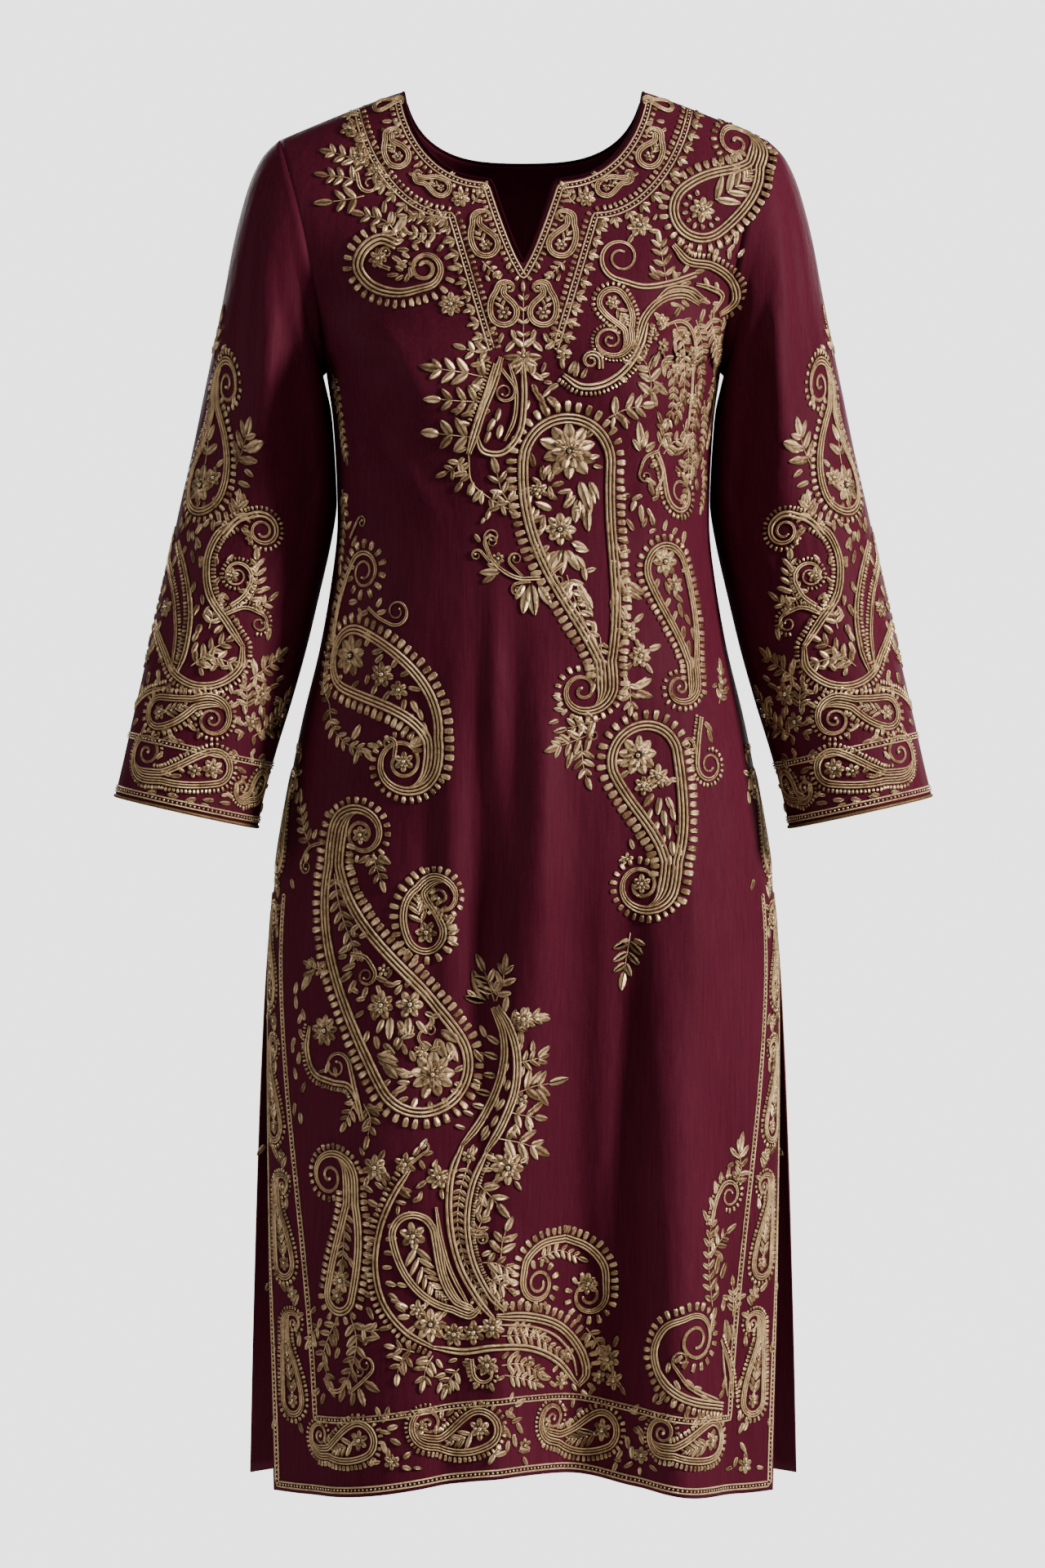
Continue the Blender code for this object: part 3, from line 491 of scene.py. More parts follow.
    def spot(self, a: Array, z: Array) -> Array:
        """Points of the outer face at flat places."""
        share = between(self.shares, self._row(z), (a - ARC_PLACES[0]) / (ARC_PLACES[1] - ARC_PLACES[0]))
        return self.point(share * self.half_width(z), z)

    def slit_edge(self, z: Array, side: int = 1) -> Array:
        """How far the panel's edge on one side lies along the cloth from its middle."""
        return np.abs(self.to_flat(side * self.half_width(z), z)[..., 0])

    def mesh_points(self) -> Array:
        """The outer face's points, by row from the hem and by column from the wearer's right.

        Returns:
            The points, in rows and columns.
        """
        # Along the top edge: down the notch, round the scoop and over the shoulder.
        notch = NOTCH_HALF if self.side is Side.FRONT else 1.2 * NOTCH_HALF
        scoop = max(4, round(self.across * 0.45))
        steep = max(2, round(self.across * 0.13))
        over = self.across - scoop - steep
        x = [notch * k / steep for k in range(steep)]
        x += [mix(notch, NECK_HALF, math.sin(math.pi / 2 * k / scoop)) for k in range(scoop + 1)]
        x += [mix(NECK_HALF, SHOULDER_TIP[0], k / over) for k in range(1, over + 1)]
        x_top = np.array(x)
        z_top = np.where(x_top <= NECK_HALF, self.neck_edge(x_top), shoulder_height(x_top))
        # Below the armpits, level rows rise from the hem; above them, columns climb to the top edge.
        share = np.arange(self.across + 1) / self.across
        across = np.sin(math.pi / 2 * share)
        low, high = self.rows
        rise = np.arange(low + 1)[:, None] / low
        z_low = mix(self.hem(across * self.half_width(HEM)), ARMPIT[1], rise)
        x_low = across * self.half_width(z_low)
        climb = 1 - (1 - np.arange(1, high + 1)[:, None] / high) ** mix(1.25, 2.6, smooth((share - 0.35) / 0.4))
        z_high = mix(ARMPIT[1], z_top, climb)
        straight = mix(ARMPIT[0], SHOULDER_TIP[0], climb)
        x_high = mix(across * ARMPIT[0], x_top, climb) + (self.half_width(z_high) - straight) * share**12
        x_all, z_all = np.vstack([x_low, x_high]), np.vstack([z_low, z_high])
        x_all = np.hstack([-x_all[:, :0:-1], x_all])
        return self.point(x_all, np.hstack([z_all[:, :0:-1], z_all]))


@dataclass
class Sleeve:
    """A three-quarter sleeve.

    Places on it are either a turn from its underside and a ring, or flat: the distance round its front
    from its outer line, and the distance up its middle from the cuff.

    Attributes:
        hand: 1 for the wearer's left and -1 for the right.
        around: Faces round it.
        rings: Faces along it.
        places: The places of the measured rings.
        ups: The distance up from the cuff at each of them.
    """

    hand: int
    around: int = 80
    rings: int = 84
    ups: Array = field(init=False)
    places: Array = field(init=False)

    def __post_init__(self) -> None:
        """Measures the sleeve's middle line."""
        places = np.linspace(0, LAST_RING, 161)
        steps = np.linalg.norm(np.diff(self.axes(places)[0], axis=0), axis=1)
        self.ups = np.concatenate([np.cumsum(steps[::-1])[::-1], [0.0]])
        self.places = places

    @property
    def facing(self) -> int:
        """-1 where a flat place's directions run as the front's do, 1 where they are mirrored."""
        return self.hand

    def axes(self, ring: Array) -> tuple[Array, Array, Array]:
        """The middle of each ring, the way to its outer point and its half depth, on the wearer's left.

        Args:
            ring: The rings, whole or between two.

        Returns:
            The middles, the ways out and the half depths.
        """
        out_x, out_z, in_x, in_z, mid_y, half = (through(RINGS, values, ring) for values in SLEEVE)
        seam = through(BODY[0], BODY[1], in_z) + SLEEVE_CLEAR
        in_x = np.where(in_z < ARMPIT[1], np.maximum(in_x, seam), in_x)
        centre = np.stack([(out_x + in_x) / 2, mid_y, (out_z + in_z) / 2], axis=-1)
        outwards = np.stack([(out_x - in_x) / 2, 0 * in_x, (out_z - in_z) / 2], axis=-1)
        return centre, outwards, half

    def armhole(self, turn: Array) -> Array:
        """Points of the armhole's edge on the wearer's left.

        Args:
            turn: Turns from the underside, in radians.

        Returns:
            The points.
        """
        climb = (1 - np.cos(turn)) / 2
        z = mix(ARMPIT[1], SHOULDER_TIP[1], climb)
        x = mix(ARMPIT[0], SHOULDER_TIP[0], climb**ARMHOLE_CURVE)
        low = np.clip(1 - 2 * climb, 0, 1)
        depth = ARMHOLE_DEPTH * np.sqrt(1 - low * low) * shoulder_turn(x, z) + SEAM / 2
        return np.stack([x + 1.5 * SEAM, -np.sign(np.sin(turn)) * depth, z], axis=-1)

    def point(self, turn: Array, ring: Array) -> Array:
        """Points of the sleeve's outer face.

        Args:
            turn: Turns from the underside, in radians.
            ring: The rings.

        Returns:
            The points.
        """
        turn, ring = np.broadcast_arrays(np.asarray(turn, float), np.asarray(ring, float))
        centre, outwards, half = self.axes(np.maximum(ring, 1.0))
        for top, foot, first, last, width, height in SLEEVE_FOLDS:
            along = np.clip((ring - first) / (last - first), 0, 1)
            across = (turn - mix(top, foot, along)) / width
            half = half + height * np.sin(math.pi * along) ** 2 * np.exp(-across * across)
        point = centre - outwards * np.cos(turn)[..., None]
        point[..., 1] -= half * np.sin(turn)
        point = mix(point, self.armhole(turn), np.clip(1 - ring, 0, 1)[..., None])
        return point * (self.hand, 1, 1)

    def ring_at(self, up: Array) -> Array:
        """The ring at a distance up from the cuff."""
        return np.interp(up, self.ups[::-1], self.places[::-1])

    def radius(self, ring: Array) -> Array:
        """The mean radius of a ring."""
        _, outwards, half = self.axes(ring)
        return (np.linalg.norm(outwards, axis=-1) + half) / 2

    def spot(self, around: Array, up: Array) -> Array:
        """Points of the outer face at flat places."""
        ring = self.ring_at(up)
        return self.point(math.pi - around / self.radius(ring), ring)

    def drafted(self, turn: Array, ring: Array) -> Array:
        """Where turns and rings lie in the draft, which shows the wearer's right sleeve."""
        x, y, z = np.moveaxis(self.point(turn, ring), -1, 0)
        scale = EYE_UNIT * (EYE + y) / EYE
        return np.stack([DRAFT_MIDDLE[0] - np.abs(x) / scale, DRAFT_MIDDLE[1] - (z - EYE_HEIGHT) / scale], axis=-1)

    def from_draft(self, draft: Array) -> Array:
        """Flat places of points of the draft.

        Args:
            draft: Places on the draft, one row each.

        Returns:
            The flat places, one row each.
        """
        # It starts from the nearest of a grid of places and closes in along the slopes there.
        goals = np.asarray(draft, float)
        grid = np.meshgrid(np.linspace(0.2, 3.1, 60), np.linspace(1, LAST_RING, 90))
        turns, rings = (values.ravel() for values in grid)
        seen = self.drafted(turns, rings)
        nearest = np.argmin(((seen[None] - goals[:, None]) ** 2).sum(axis=2), axis=1)
        turn, ring = turns[nearest], rings[nearest]
        turn_step, ring_step, least_area = 0.004, 0.02, 20
        for _ in range(4):
            here = self.drafted(turn, ring)
            by_turn = (self.drafted(turn + turn_step, ring) - here) / turn_step
            by_ring = (self.drafted(turn, ring + ring_step) - here) / ring_step
            off = goals - here
            area = by_turn[:, 0] * by_ring[:, 1] - by_turn[:, 1] * by_ring[:, 0]
            area = np.where(np.abs(area) < least_area, least_area * np.sign(area), area)
            turn = turn + np.clip((off[:, 0] * by_ring[:, 1] - off[:, 1] * by_ring[:, 0]) / area, -0.2, 0.2)
            ring = ring + np.clip((by_turn[:, 0] * off[:, 1] - by_turn[:, 1] * off[:, 0]) / area, -0.5, 0.5)
            turn, ring = np.clip(turn, 0.1, math.pi), np.clip(ring, 1, LAST_RING)
        return np.stack([(math.pi - turn) * self.radius(ring), np.interp(ring, self.places, self.ups)], axis=-1)

    def mesh_points(self) -> Array:
        """The outer face's points, by ring from the armhole and by turn from the underside."""
        ring = np.concatenate([[0, 0.5], np.linspace(1, LAST_RING, self.rings - 1)])
        turn = np.linspace(-math.pi, math.pi, self.around + 1)
        return self.point(turn[None], ring[:, None])


Ground = Panel | Sleeve


# ------------------------------------------------------------------ lines on the draft
FINE_STEP = 0.0016  # distance between the points of a drawn line


def left_of(line: Array) -> Array:
    """A unit to the left of a line at each of its points."""
    along = np.gradient(line, axis=0)
    along /= np.maximum(np.linalg.norm(along, axis=1, keepdims=True), TINY)
    return np.stack([-along[:, 1], along[:, 0]], axis=-1)


def runs(line: Array) -> Array:
    """The distance along a line to each of its points."""
    return np.concatenate([[0.0], np.cumsum(np.linalg.norm(np.diff(line, axis=0), axis=1))])


def evenly(line: Array, step: float) -> Array:
    """The line with its points about a step apart."""
    run = runs(line)
    at = np.linspace(0, run[-1], max(2, round(run[-1] / step) + 1))
    return np.stack([np.interp(at, run, values) for values in line.T], axis=-1)


def flowing(points: Array) -> Array:
    """A smooth line through a few points."""
    keys = runs(points)
    at = np.linspace(0, keys[-1], max(12, round(keys[-1] / FINE_STEP)))
    return evenly(np.stack([through(keys, values, at) for values in points.T], axis=-1), FINE_STEP)


def volute(start: Array, bearing: float, radius: float, turns: float, tightness: float) -> Array:
    """A spiral that goes on from a line's end.

    Args:
        start: The line's end.
        bearing: The line's direction there, in radians.
        radius: The spiral's first radius.
        turns: How often it winds, positive for anticlockwise.
        tightness: How much smaller its last radius is, as a share of the first.

    Returns:
        The points after the start.
    """
    count = max(10, round(abs(turns) * 34))
    share = (np.arange(count) + 0.5) / count
    angle = bearing + 2 * math.pi * turns * share
    run = 2 * math.pi * abs(turns) / count * radius * (1 - tightness * share**0.7)
    return start + np.cumsum(np.stack([np.cos(angle), np.sin(angle)], axis=-1) * run[:, None], axis=0)


def direction(step: Array) -> float:
    """The direction of a step, in radians."""
    return math.atan2(step[1], step[0])


def heading(line: Array) -> float:
    """The direction in which a line ends, in radians."""
    return direction(line[-1] - line[-3])


def toward(angle: float) -> Array:
    """The unit in a direction in radians."""
    return np.array([math.cos(angle), math.sin(angle)])


# ------------------------------------------------------------------ raised work
@dataclass(frozen=True)
class Pad:
    """The form of a small padded shape, and how its threads lie.

    Attributes:
        along: Places along its length, as shares.
        half_widths: Its half width at each place, as a share of the widest.
        crowns: Its height at each place, as a share of the highest.
        across: Its height from edge to edge, as a share of the crown.
        slant: How far the threads lean forward from the middle, 0 where they run along it.
    """

    along: tuple[float, ...]
    half_widths: tuple[float, ...]
    crowns: tuple[float, ...]
    across: tuple[float, ...]
    slant: float

    def faces(self) -> list[list[int]]:
        """Its faces: a grid on top and one face below.

        Returns:
            The numbers of each face's points.
        """
        rows, wide = len(self.along), len(self.across)
        top = [
            [r * wide + c, (r + 1) * wide + c, (r + 1) * wide + c + 1, r * wide + c + 1]
            for r in range(rows - 1)
            for c in range(wide - 1)
        ]
        rim = list(range(wide)) + [r * wide + wide - 1 for r in range(1, rows)]
        rim += [(rows - 1) * wide + c for c in range(wide - 2, -1, -1)] + [r * wide for r in range(rows - 2, 0, -1)]
        return top + [rim]


class Shape(Enum):
    """The padded shapes of the embroidery."""

    TOOTH = Pad((0, 0.2, 0.6, 0.88, 1), (0.5, 0.78, 1, 0.86, 0.4), (0.6, 0.95, 1, 0.9, 0.5), (0, 0.95, 0.6, 0.95, 0), 0)
    LEAF = Pad(
        (0, 0.12, 0.38, 0.68, 0.88, 1),
        (0.2, 0.7, 1, 0.84, 0.44, 0.06),
        (0.5, 0.9, 1, 1, 0.8, 0.4),
        (0, 0.95, 0.34, 0.95, 0),
        0.9,
    )
    PETAL = Pad(
        (0, 0.25, 0.58, 0.85, 1),
        (0.34, 0.8, 1, 0.62, 0.1),
        (0.4, 0.8, 1, 0.9, 0.5),
        (0, 0.95, 0.42, 0.95, 0),
        0.6,
    )


PAD_ACROSS = np.array([-1.0, -0.64, 0.0, 0.64, 1.0])
CORD_ACROSS = np.array([-1.0, -0.72, 0.0, 0.72, 1.0])
CORD_CROWN = np.array([0.0, 0.72, 1.0, 0.72, 0.0])
SINK = 0.0005  # how far the work reaches into the cloth
THREAD_UNIT = 1000.0  # thread measures are in millimetres
UNEVEN = 0.06  # how much the stitches differ
BRAID = 0.0056  # width of the double cord with beads


@dataclass
class Embroidery:
    """Gold thread work on one piece of cloth, drawn flat and then laid onto it.

    Attributes:
        ground: The piece of cloth.
        relief: How high the work stands.
        chance: The seeded source of the small differences between stitches.
        points: Flat places and heights, an array for each cord or kind of padded shape.
        threads: Their thread measures.
        faces: The faces between the points.
        pads: For each shape, where it is worked, its direction, length, width and height.
        beads: Where each bead is sewn on, and its radius.
        count: How many points there are.
    """

    ground: Ground
    relief: float = 0.0014
    chance: np.random.Generator = field(default_factory=lambda: np.random.default_rng(7))
    points: list[Array] = field(default_factory=list)
    threads: list[Array] = field(default_factory=list)
    faces: list[list[int]] = field(default_factory=list)
    pads: dict[Shape, list[tuple[float, ...]]] = field(default_factory=lambda: {shape: [] for shape in Shape})
    beads: list[tuple[float, float, float]] = field(default_factory=list)
    count: int = 0

    def _add(self, points: Array, threads: Array, faces: Iterable[Sequence[int]]) -> None:
        """Adds points with their thread measures and the faces between them."""
        self.points.append(points)
        self.threads.append(threads)
        self.faces.extend([self.count + k for k in face] for face in faces)
        self.count += len(points)

    def cord(self, line: Array, half: float = 0.0008, height: float = 0.0011, taper: Array | float = 1.0) -> None:
        """Couches a cord along a line.

        Args:
            line: The cord's line, flat.
            half: Half its width.
            height: Its height.
            taper: Its width at the line's end, or at each point, as a share of the full one.
        """
        count, wide = len(line), len(CORD_ACROSS)
        share = taper if isinstance(taper, np.ndarray) else np.linspace(1, taper, count)
        off = (half * share)[:, None] * CORD_ACROSS
        flat = line[:, None] + left_of(line)[:, None] * off[..., None]
        lift = np.where(CORD_CROWN > 0, height * (0.5 + share[:, None] / 2) * CORD_CROWN, -SINK)
        coil = (runs(line)[:, None] + 0.6 * (half * share)[:, None] * CORD_ACROSS) * THREAD_UNIT
        crown = np.broadcast_to(CORD_CROWN, lift.shape)
        threads = np.stack([coil, crown, np.full(lift.shape, self.chance.uniform(0.35, 0.9))], axis=-1)
        faces = [
            [i * wide + c, i * wide + wide + c, i * wide + wide + (c + 1) % wide, i * wide + (c + 1) % wide]
            for i in range(count - 1)
            for c in range(wide)
        ]
        faces += [list(range(wide)), [count * wide - 1 - c for c in range(wide)]]
        self._add(np.concatenate([flat, lift[..., None]], axis=-1).reshape(-1, 3), threads.reshape(-1, 3), faces)

    def band(self, line: Array, width: float, taper: Array | float = 1.0, strands: int = 3) -> None:
        """Couches cords side by side.

        Args:
            line: The band's middle, flat.
            width: The band's width.
            taper: Its width at the line's end, or at each point, as a share of the full one.
            strands: How many cords it has.
        """
        half = width / strands / 2
        share = taper if isinstance(taper, np.ndarray) else np.linspace(1, taper, len(line))
        side = left_of(line)
        for k in range(strands):
            off = (2 * k + 1 - strands) * half
            self.cord(line + side * (off * share)[:, None], half * 0.84, self.relief * 1.25, share)

    def pad(self, shape: Shape, at: Array, angle: float, length: float, width: float, height: float = 1.0) -> None:
        """Works one padded shape from a point, in a direction in radians; height is a share of the relief."""
        jitter = self.chance.normal(0, 1, 3)
        size = (length * (1 + UNEVEN * jitter[1]), width * (1 + UNEVEN * jitter[2]))
        self.pads[shape].append((at[0], at[1], angle + UNEVEN * jitter[0], *size, height * self.relief))

    def bead(self, at: Array, radius: float) -> None:
        """Sews on a bead."""
        self.beads.append((at[0], at[1], radius))

    def fringe(self, line: Array, size: Place, pitch: float, side: int, gap: float) -> None:
        """Works a row of teeth that stand out from a line.

        Args:
            line: The line, flat.
            size: The teeth's length and width.
            pitch: The distance between two of them.
            side: 1 for the line's left and -1 for its right.
            gap: How far they start from the line.
        """
        spaced = evenly(line, pitch)
        for at, out in zip(spaced, left_of(spaced) * side):
            self.pad(Shape.TOOTH, at + out * gap, direction(out), *size, 1.05)

    def lotus_fringe(self, line: Array, size: float, pitch: float, side: int, gap: float) -> None:
        """Works a row of three-petalled buds that stand out from a line.

        Args:
            line: The line, flat.
            size: A middle petal's length.
            pitch: The distance between two buds.
            side: 1 for the line's left and -1 for its right.
            gap: How far they start from the line.
        """
        spaced = evenly(line, pitch)
        for at, out in zip(spaced, left_of(spaced) * side):
            for lean, share in ((0.0, 1.0), (0.75, 0.74), (-0.75, 0.74)):
                self.pad(Shape.PETAL, at + out * gap, direction(out) + lean, size * share, size * 0.42, 1.05)

    def leaf(self, at: Array, degrees: float, length: float, width: float = 0.0) -> None:
        """Works a veined leaf in a direction in degrees."""
        self.pad(Shape.LEAF, at, math.radians(degrees), 1.22 * length, width or 0.63 * length, 1.0)

    def flower(self, at: Array, radius: float, petals: int, degrees: float = 90.0) -> None:
        """Works a flower with a beaded middle, with a second ring of petals where it is large enough.

        Args:
            at: Its middle, flat.
            radius: Its radius.
            petals: How many petals each ring has.
            degrees: The first petal's direction.
        """
        heart = 0.26
        # Each ring's share of the radius, its turn in petals and its height.
        rings = ((1.0, 0.0, 1.0), (0.64, 0.5, 1.4))[: 2 if radius > 0.0055 else 1]
        for share, shift, height in rings:
            size = share * radius
            width = min(1.8 * math.sin(math.pi / petals) * size, size * 0.72)
            for k in range(petals):
                angle = math.radians(degrees) + 2 * math.pi * (k + shift) / petals
                foot = at + toward(angle) * heart * size
                self.pad(Shape.PETAL, foot, angle, size * (1.06 - heart), width, height)
        self.bead(at, min(heart * radius, 0.0021))
        if radius > 0.009:
            for k in range(petals + 2):
                self.bead(at + 0.3 * radius * toward(2 * math.pi * k / (petals + 2)), 0.0008)

    def border(self, line: Array) -> None:
        """Works two cords with a row of beads between them."""
        for side in (-1, 1):
            self.cord(line + left_of(line) * side * (BRAID / 2 - 0.0009))
        for at in evenly(line, 0.0033):
            self.bead(at, 0.0009)

    def _instances(self) -> None:
        """Adds the padded shapes, each kind at once."""
        for shape, rows in self.pads.items():
            if not rows:
                continue
            pad: Pad = shape.value
            x, y, angle, length, width, height = (values[:, None, None] for values in np.array(rows).T)
            along = np.array(pad.along)[:, None]
            half = np.array(pad.half_widths)[:, None] / 2
            crown = np.array(pad.crowns)[:, None] * np.array(pad.across)
            t, s = along * length + 0 * PAD_ACROSS, half * width * PAD_ACROSS
            lift = np.where(crown > 0, crown * height, -SINK)
            across = x + t * np.cos(angle) - s * np.sin(angle)
            up = y + t * np.sin(angle) + s * np.cos(angle)
            thread = (t - pad.slant * np.abs(s)) if pad.slant else s + 0 * t
            glow = self.chance.uniform(0.0, 1.0, (len(rows), 1, 1)) + 0 * t
            threads = np.stack([thread * THREAD_UNIT, np.broadcast_to(crown, t.shape), glow], axis=-1)
            base, size = pad.faces(), crown.size
            faces = ([n * size + k for k in face] for n in range(len(rows)) for face in base)
            self._add(np.stack([across, up, lift], -1).reshape(-1, 3), threads.reshape(-1, 3), faces)

    def laid(self, flat: Array) -> Array:
        """Points of the draft with their heights, brought onto the cloth.

        Args:
            flat: Flat places and heights, one row each.

        Returns:
            The points in space.
        """
        a, b, lift = flat.T
        spot = self.ground.spot
        normal = np.cross(spot(a + PROBE, b) - spot(a - PROBE, b), spot(a, b + PROBE) - spot(a, b - PROBE))
        normal *= -self.ground.facing
        normal /= np.maximum(np.linalg.norm(normal, axis=1, keepdims=True), TINY)
        return spot(a, b) + normal * lift[:, None]

    def piece(self, name: str, gold: bpy.types.Material, bead: bpy.types.Material) -> bpy.types.Object:
        """Makes the mesh of all that was worked.

        Args:
            name: The object's name.
            gold: The material of the threads.
            bead: The material of the beads.

        Returns:
            The new object, whose mesh has the attribute "thread".
        """
        self._instances()
        points, threads, faces = self.laid(np.concatenate(self.points)), np.concatenate(self.threads), self.faces
        kinds = np.zeros(len(faces), dtype=np.int32)
        if self.ground.facing > 0:
            faces = [face[::-1] for face in faces]
        if self.beads:
            ball = bmesh.new()
            bmesh.ops.create_icosphere(ball, subdivisions=1, radius=1.0)
            corners = np.array([vert.co[:] for vert in ball.verts])
            sides = [[vert.index for vert in face.verts] for face in ball.faces]
            ball.free()
            x, y, radius = np.array(self.beads).T
            middle = self.laid(np.stack([x, y, radius * 0.55], axis=-1))
            balls = (middle[:, None] + corners[None] * radius[:, None, None]).reshape(-1, 3)
            start, wide = len(points), len(corners)
            points = np.concatenate([points, balls])
            threads = np.concatenate([threads, np.tile([0.0, 1.0, 0.5], (len(balls), 1))])
            faces = faces + [[start + n * wide + k for k in side] for n in range(len(middle)) for side in sides]
            kinds = np.concatenate([kinds, np.ones(len(faces) - len(kinds), dtype=np.int32)])
        mesh = bpy.data.meshes.new(name)
        mesh.from_pydata(points.tolist(), [], faces)
        mesh.materials.append(gold)
        mesh.materials.append(bead)
        mesh.polygons.foreach_set("material_index", kinds)
        measured(mesh, threads)
        return placed(name, mesh)


def measured(mesh: bpy.types.Mesh, threads: Array) -> None:
    """Shades a mesh smooth and gives its points their thread measures."""
    mesh.shade_smooth()
    mesh.attributes.new("thread", "FLOAT_VECTOR", "POINT").data.foreach_set("vector", threads.ravel())
    mesh.update()


def placed(name: str, data: bpy.types.ID) -> bpy.types.Object:
    """An object of that mesh, light or camera in the scene."""
    obj = bpy.data.objects.new(name, data)
    bpy.context.scene.collection.objects.link(obj)
    return obj


def formed(name: str, bm: bmesh.types.BMesh, material: bpy.types.Material) -> bpy.types.Object:
    """An object in the scene of what a bmesh holds, which is freed.

    Args:
        name: The object's name.
        bm: What it is made from.
        material: Its material.

    Returns:
        The object.
    """
    mesh = bpy.data.meshes.new(name)
    bm.to_mesh(mesh)
    bm.free()
    mesh.materials.append(material)
    return placed(name, mesh)


# ------------------------------------------------------------------ what is worked where
# A length of 1 on the draft is DRAFT_UNIT on the cloth.
DRAFT_UNIT = 0.0006
STITCH_STEP = 0.0015  # distance between the points of a paisley's line


def draft_line(ground: Ground, points: Sequence[float]) -> Array:
    """A smooth flat line through points of the draft, given as x and y in turn."""
    return flowing(ground.from_draft(np.reshape(points, (-1, 2))))


@dataclass(frozen=True)
class Boteh:
    """A paisley: a drop whose two sides meet and run on into a curl. Places and lengths are the draft's.

    Attributes:
        head: The middle of its round end.
        radius: The round end's radius.
        tail: Where its sides have met and the curl starts.
        lean: Degrees by which its spine leans from the straight line at the head, anticlockwise.
        flick: The same at the tail.
        curl: The curl's first radius.
        turns: How often the curl winds, positive for anticlockwise.
        teeth: Length of the teeth round it, 0 for none.
        band: Width of its outline.
        full: How long it stays wide: the exponent of its taper.
        hollow: Whether it has no flower and leaves inside.
        heart: Whether a flower sits in its curl.
    """

    head: Place
    radius: float
    tail: Place
    lean: float
    flick: float
    curl: float
    turns: float
    teeth: float = 12.0
    band: float = 13.0
    full: float = 1.8
    hollow: bool = False
    heart: bool = False

    @property
    def hand(self) -> int:
        """1 where its curl winds anticlockwise and -1 where it winds clockwise."""
        return 1 if self.turns > 0 else -1

    def spine(self, ground: Ground) -> Array:
        """Its middle line, flat, from the head to the tail.

        Args:
            ground: The piece of cloth.

        Returns:
            The line's points.
        """
        head, tail = np.array(self.head) * (1, -1), np.array(self.tail) * (1, -1)
        run = tail - head
        bearing, reach = direction(run), 0.4 * math.hypot(*run)
        first = head + reach * toward(bearing + math.radians(self.lean))
        second = tail - reach * toward(bearing + math.radians(self.flick))
        u = np.linspace(0, 1, 33)[:, None]
        line = (1 - u) ** 3 * head + 3 * u * (1 - u) ** 2 * first + 3 * u * u * (1 - u) * second + u**3 * tail
        return evenly(ground.from_draft(line * (1, -1)), STITCH_STEP)

    def work(self, cloth: Embroidery, spine: Array | None = None) -> None:
        """Works it on a piece of cloth, along its own spine or a given flat one.

        Args:
            cloth: The embroidery that it is worked in.
            spine: The flat line to work it along, instead of its own.
        """
        spine = self.spine(cloth.ground) if spine is None else spine
        radius, band = self.radius * DRAFT_UNIT, self.band * DRAFT_UNIT
        turns, tight = (1.1 * self.turns, 0.74) if self.heart else (1.28 * self.turns, 0.93)
        curl = volute(spine[-1], heading(spine), self.curl * DRAFT_UNIT, turns, tight)
        whole = evenly(np.vstack([spine, curl]), STITCH_STEP)
        run, length = runs(whole), runs(spine)[-1]
        past = np.clip((run - length) / (run[-1] - length), 0, 1)
        # The drop narrows to nothing at the tail, where its two sides run side by side and then into one.
        drop = radius * np.clip(1 - np.clip(run / length, 0, 1) ** self.full, 0, 1) ** 1.25
        half = np.maximum(drop, 0.52 * band * (1 - smooth(past / 0.3)))
        side, merged = left_of(whole) * self.hand, 0.2
        kept = past < merged
        inner, outer = (whole + side * half[:, None])[kept][::-1], whole - side * half[:, None]
        back = direction(spine[0] - spine[2])
        angles = back + self.hand * np.linspace(-math.pi / 2, math.pi / 2, 26)[1:-1]
        cap = spine[0] + radius * np.stack([np.cos(angles), np.sin(angles)], axis=-1)
        # The band is fullest round the head and thins towards both of its ends.
        inner_share, outer_share = 1 - 0.75 * smooth(past[kept][::-1] / merged), 1 - 0.68 * smooth(past / 0.75)
        share = np.concatenate([inner_share, np.ones(len(cap)), outer_share])
        line = np.vstack([inner, cap, outer])
        even = evenly(line, STITCH_STEP)
        share = np.interp(runs(even), runs(line), share)
        cloth.band(even, band, share)
        if self.heart:
            cloth.flower(curl[-34:].mean(axis=0), 0.2 * self.curl * DRAFT_UNIT + 0.0025, 6)
        else:
            cloth.bead(whole[-1], 0.0015)
        if self.teeth:
            self._teeth(cloth, even, runs(curl)[-1])
        if not self.hollow:
            self._fill(cloth, spine, (half - band / 2 - 0.0014)[: len(spine)])

    def _teeth(self, cloth: Embroidery, line: Array, curl: float) -> None:
        """Works the teeth round it, small ones where its sides have met.

        Args:
            cloth: The embroidery that it is worked in.
            line: The outline's middle.
            curl: The curl's length.
        """
        run, outside = runs(line), -self.hand
        length, gap = self.teeth * DRAFT_UNIT, self.band * DRAFT_UNIT / 2 + 0.0003
        first, meets = np.searchsorted(run, 0.24 * curl), np.searchsorted(run, run[-1] - curl)
        cloth.fringe(line[first:meets], (length, length * 0.72), length * 0.8, outside, gap)
        late = line[meets : int(mix(meets, len(line), 0.66))]
        if len(late) > 8:
            cloth.fringe(late, (length * 0.72, length * 0.54), length * 0.6, outside, gap * 0.85)

    def _fill(self, cloth: Embroidery, spine: Array, room: Array) -> None:
        """Works the flower in its head and the leaves along its spine.

        Args:
            cloth: The embroidery that it is worked in.
            spine: Its middle line.
            room: The free half width along it.
        """
        run, head = runs(spine), spine[0]
        bearing = heading(spine[:4])
        if room[0] > 0.0125:
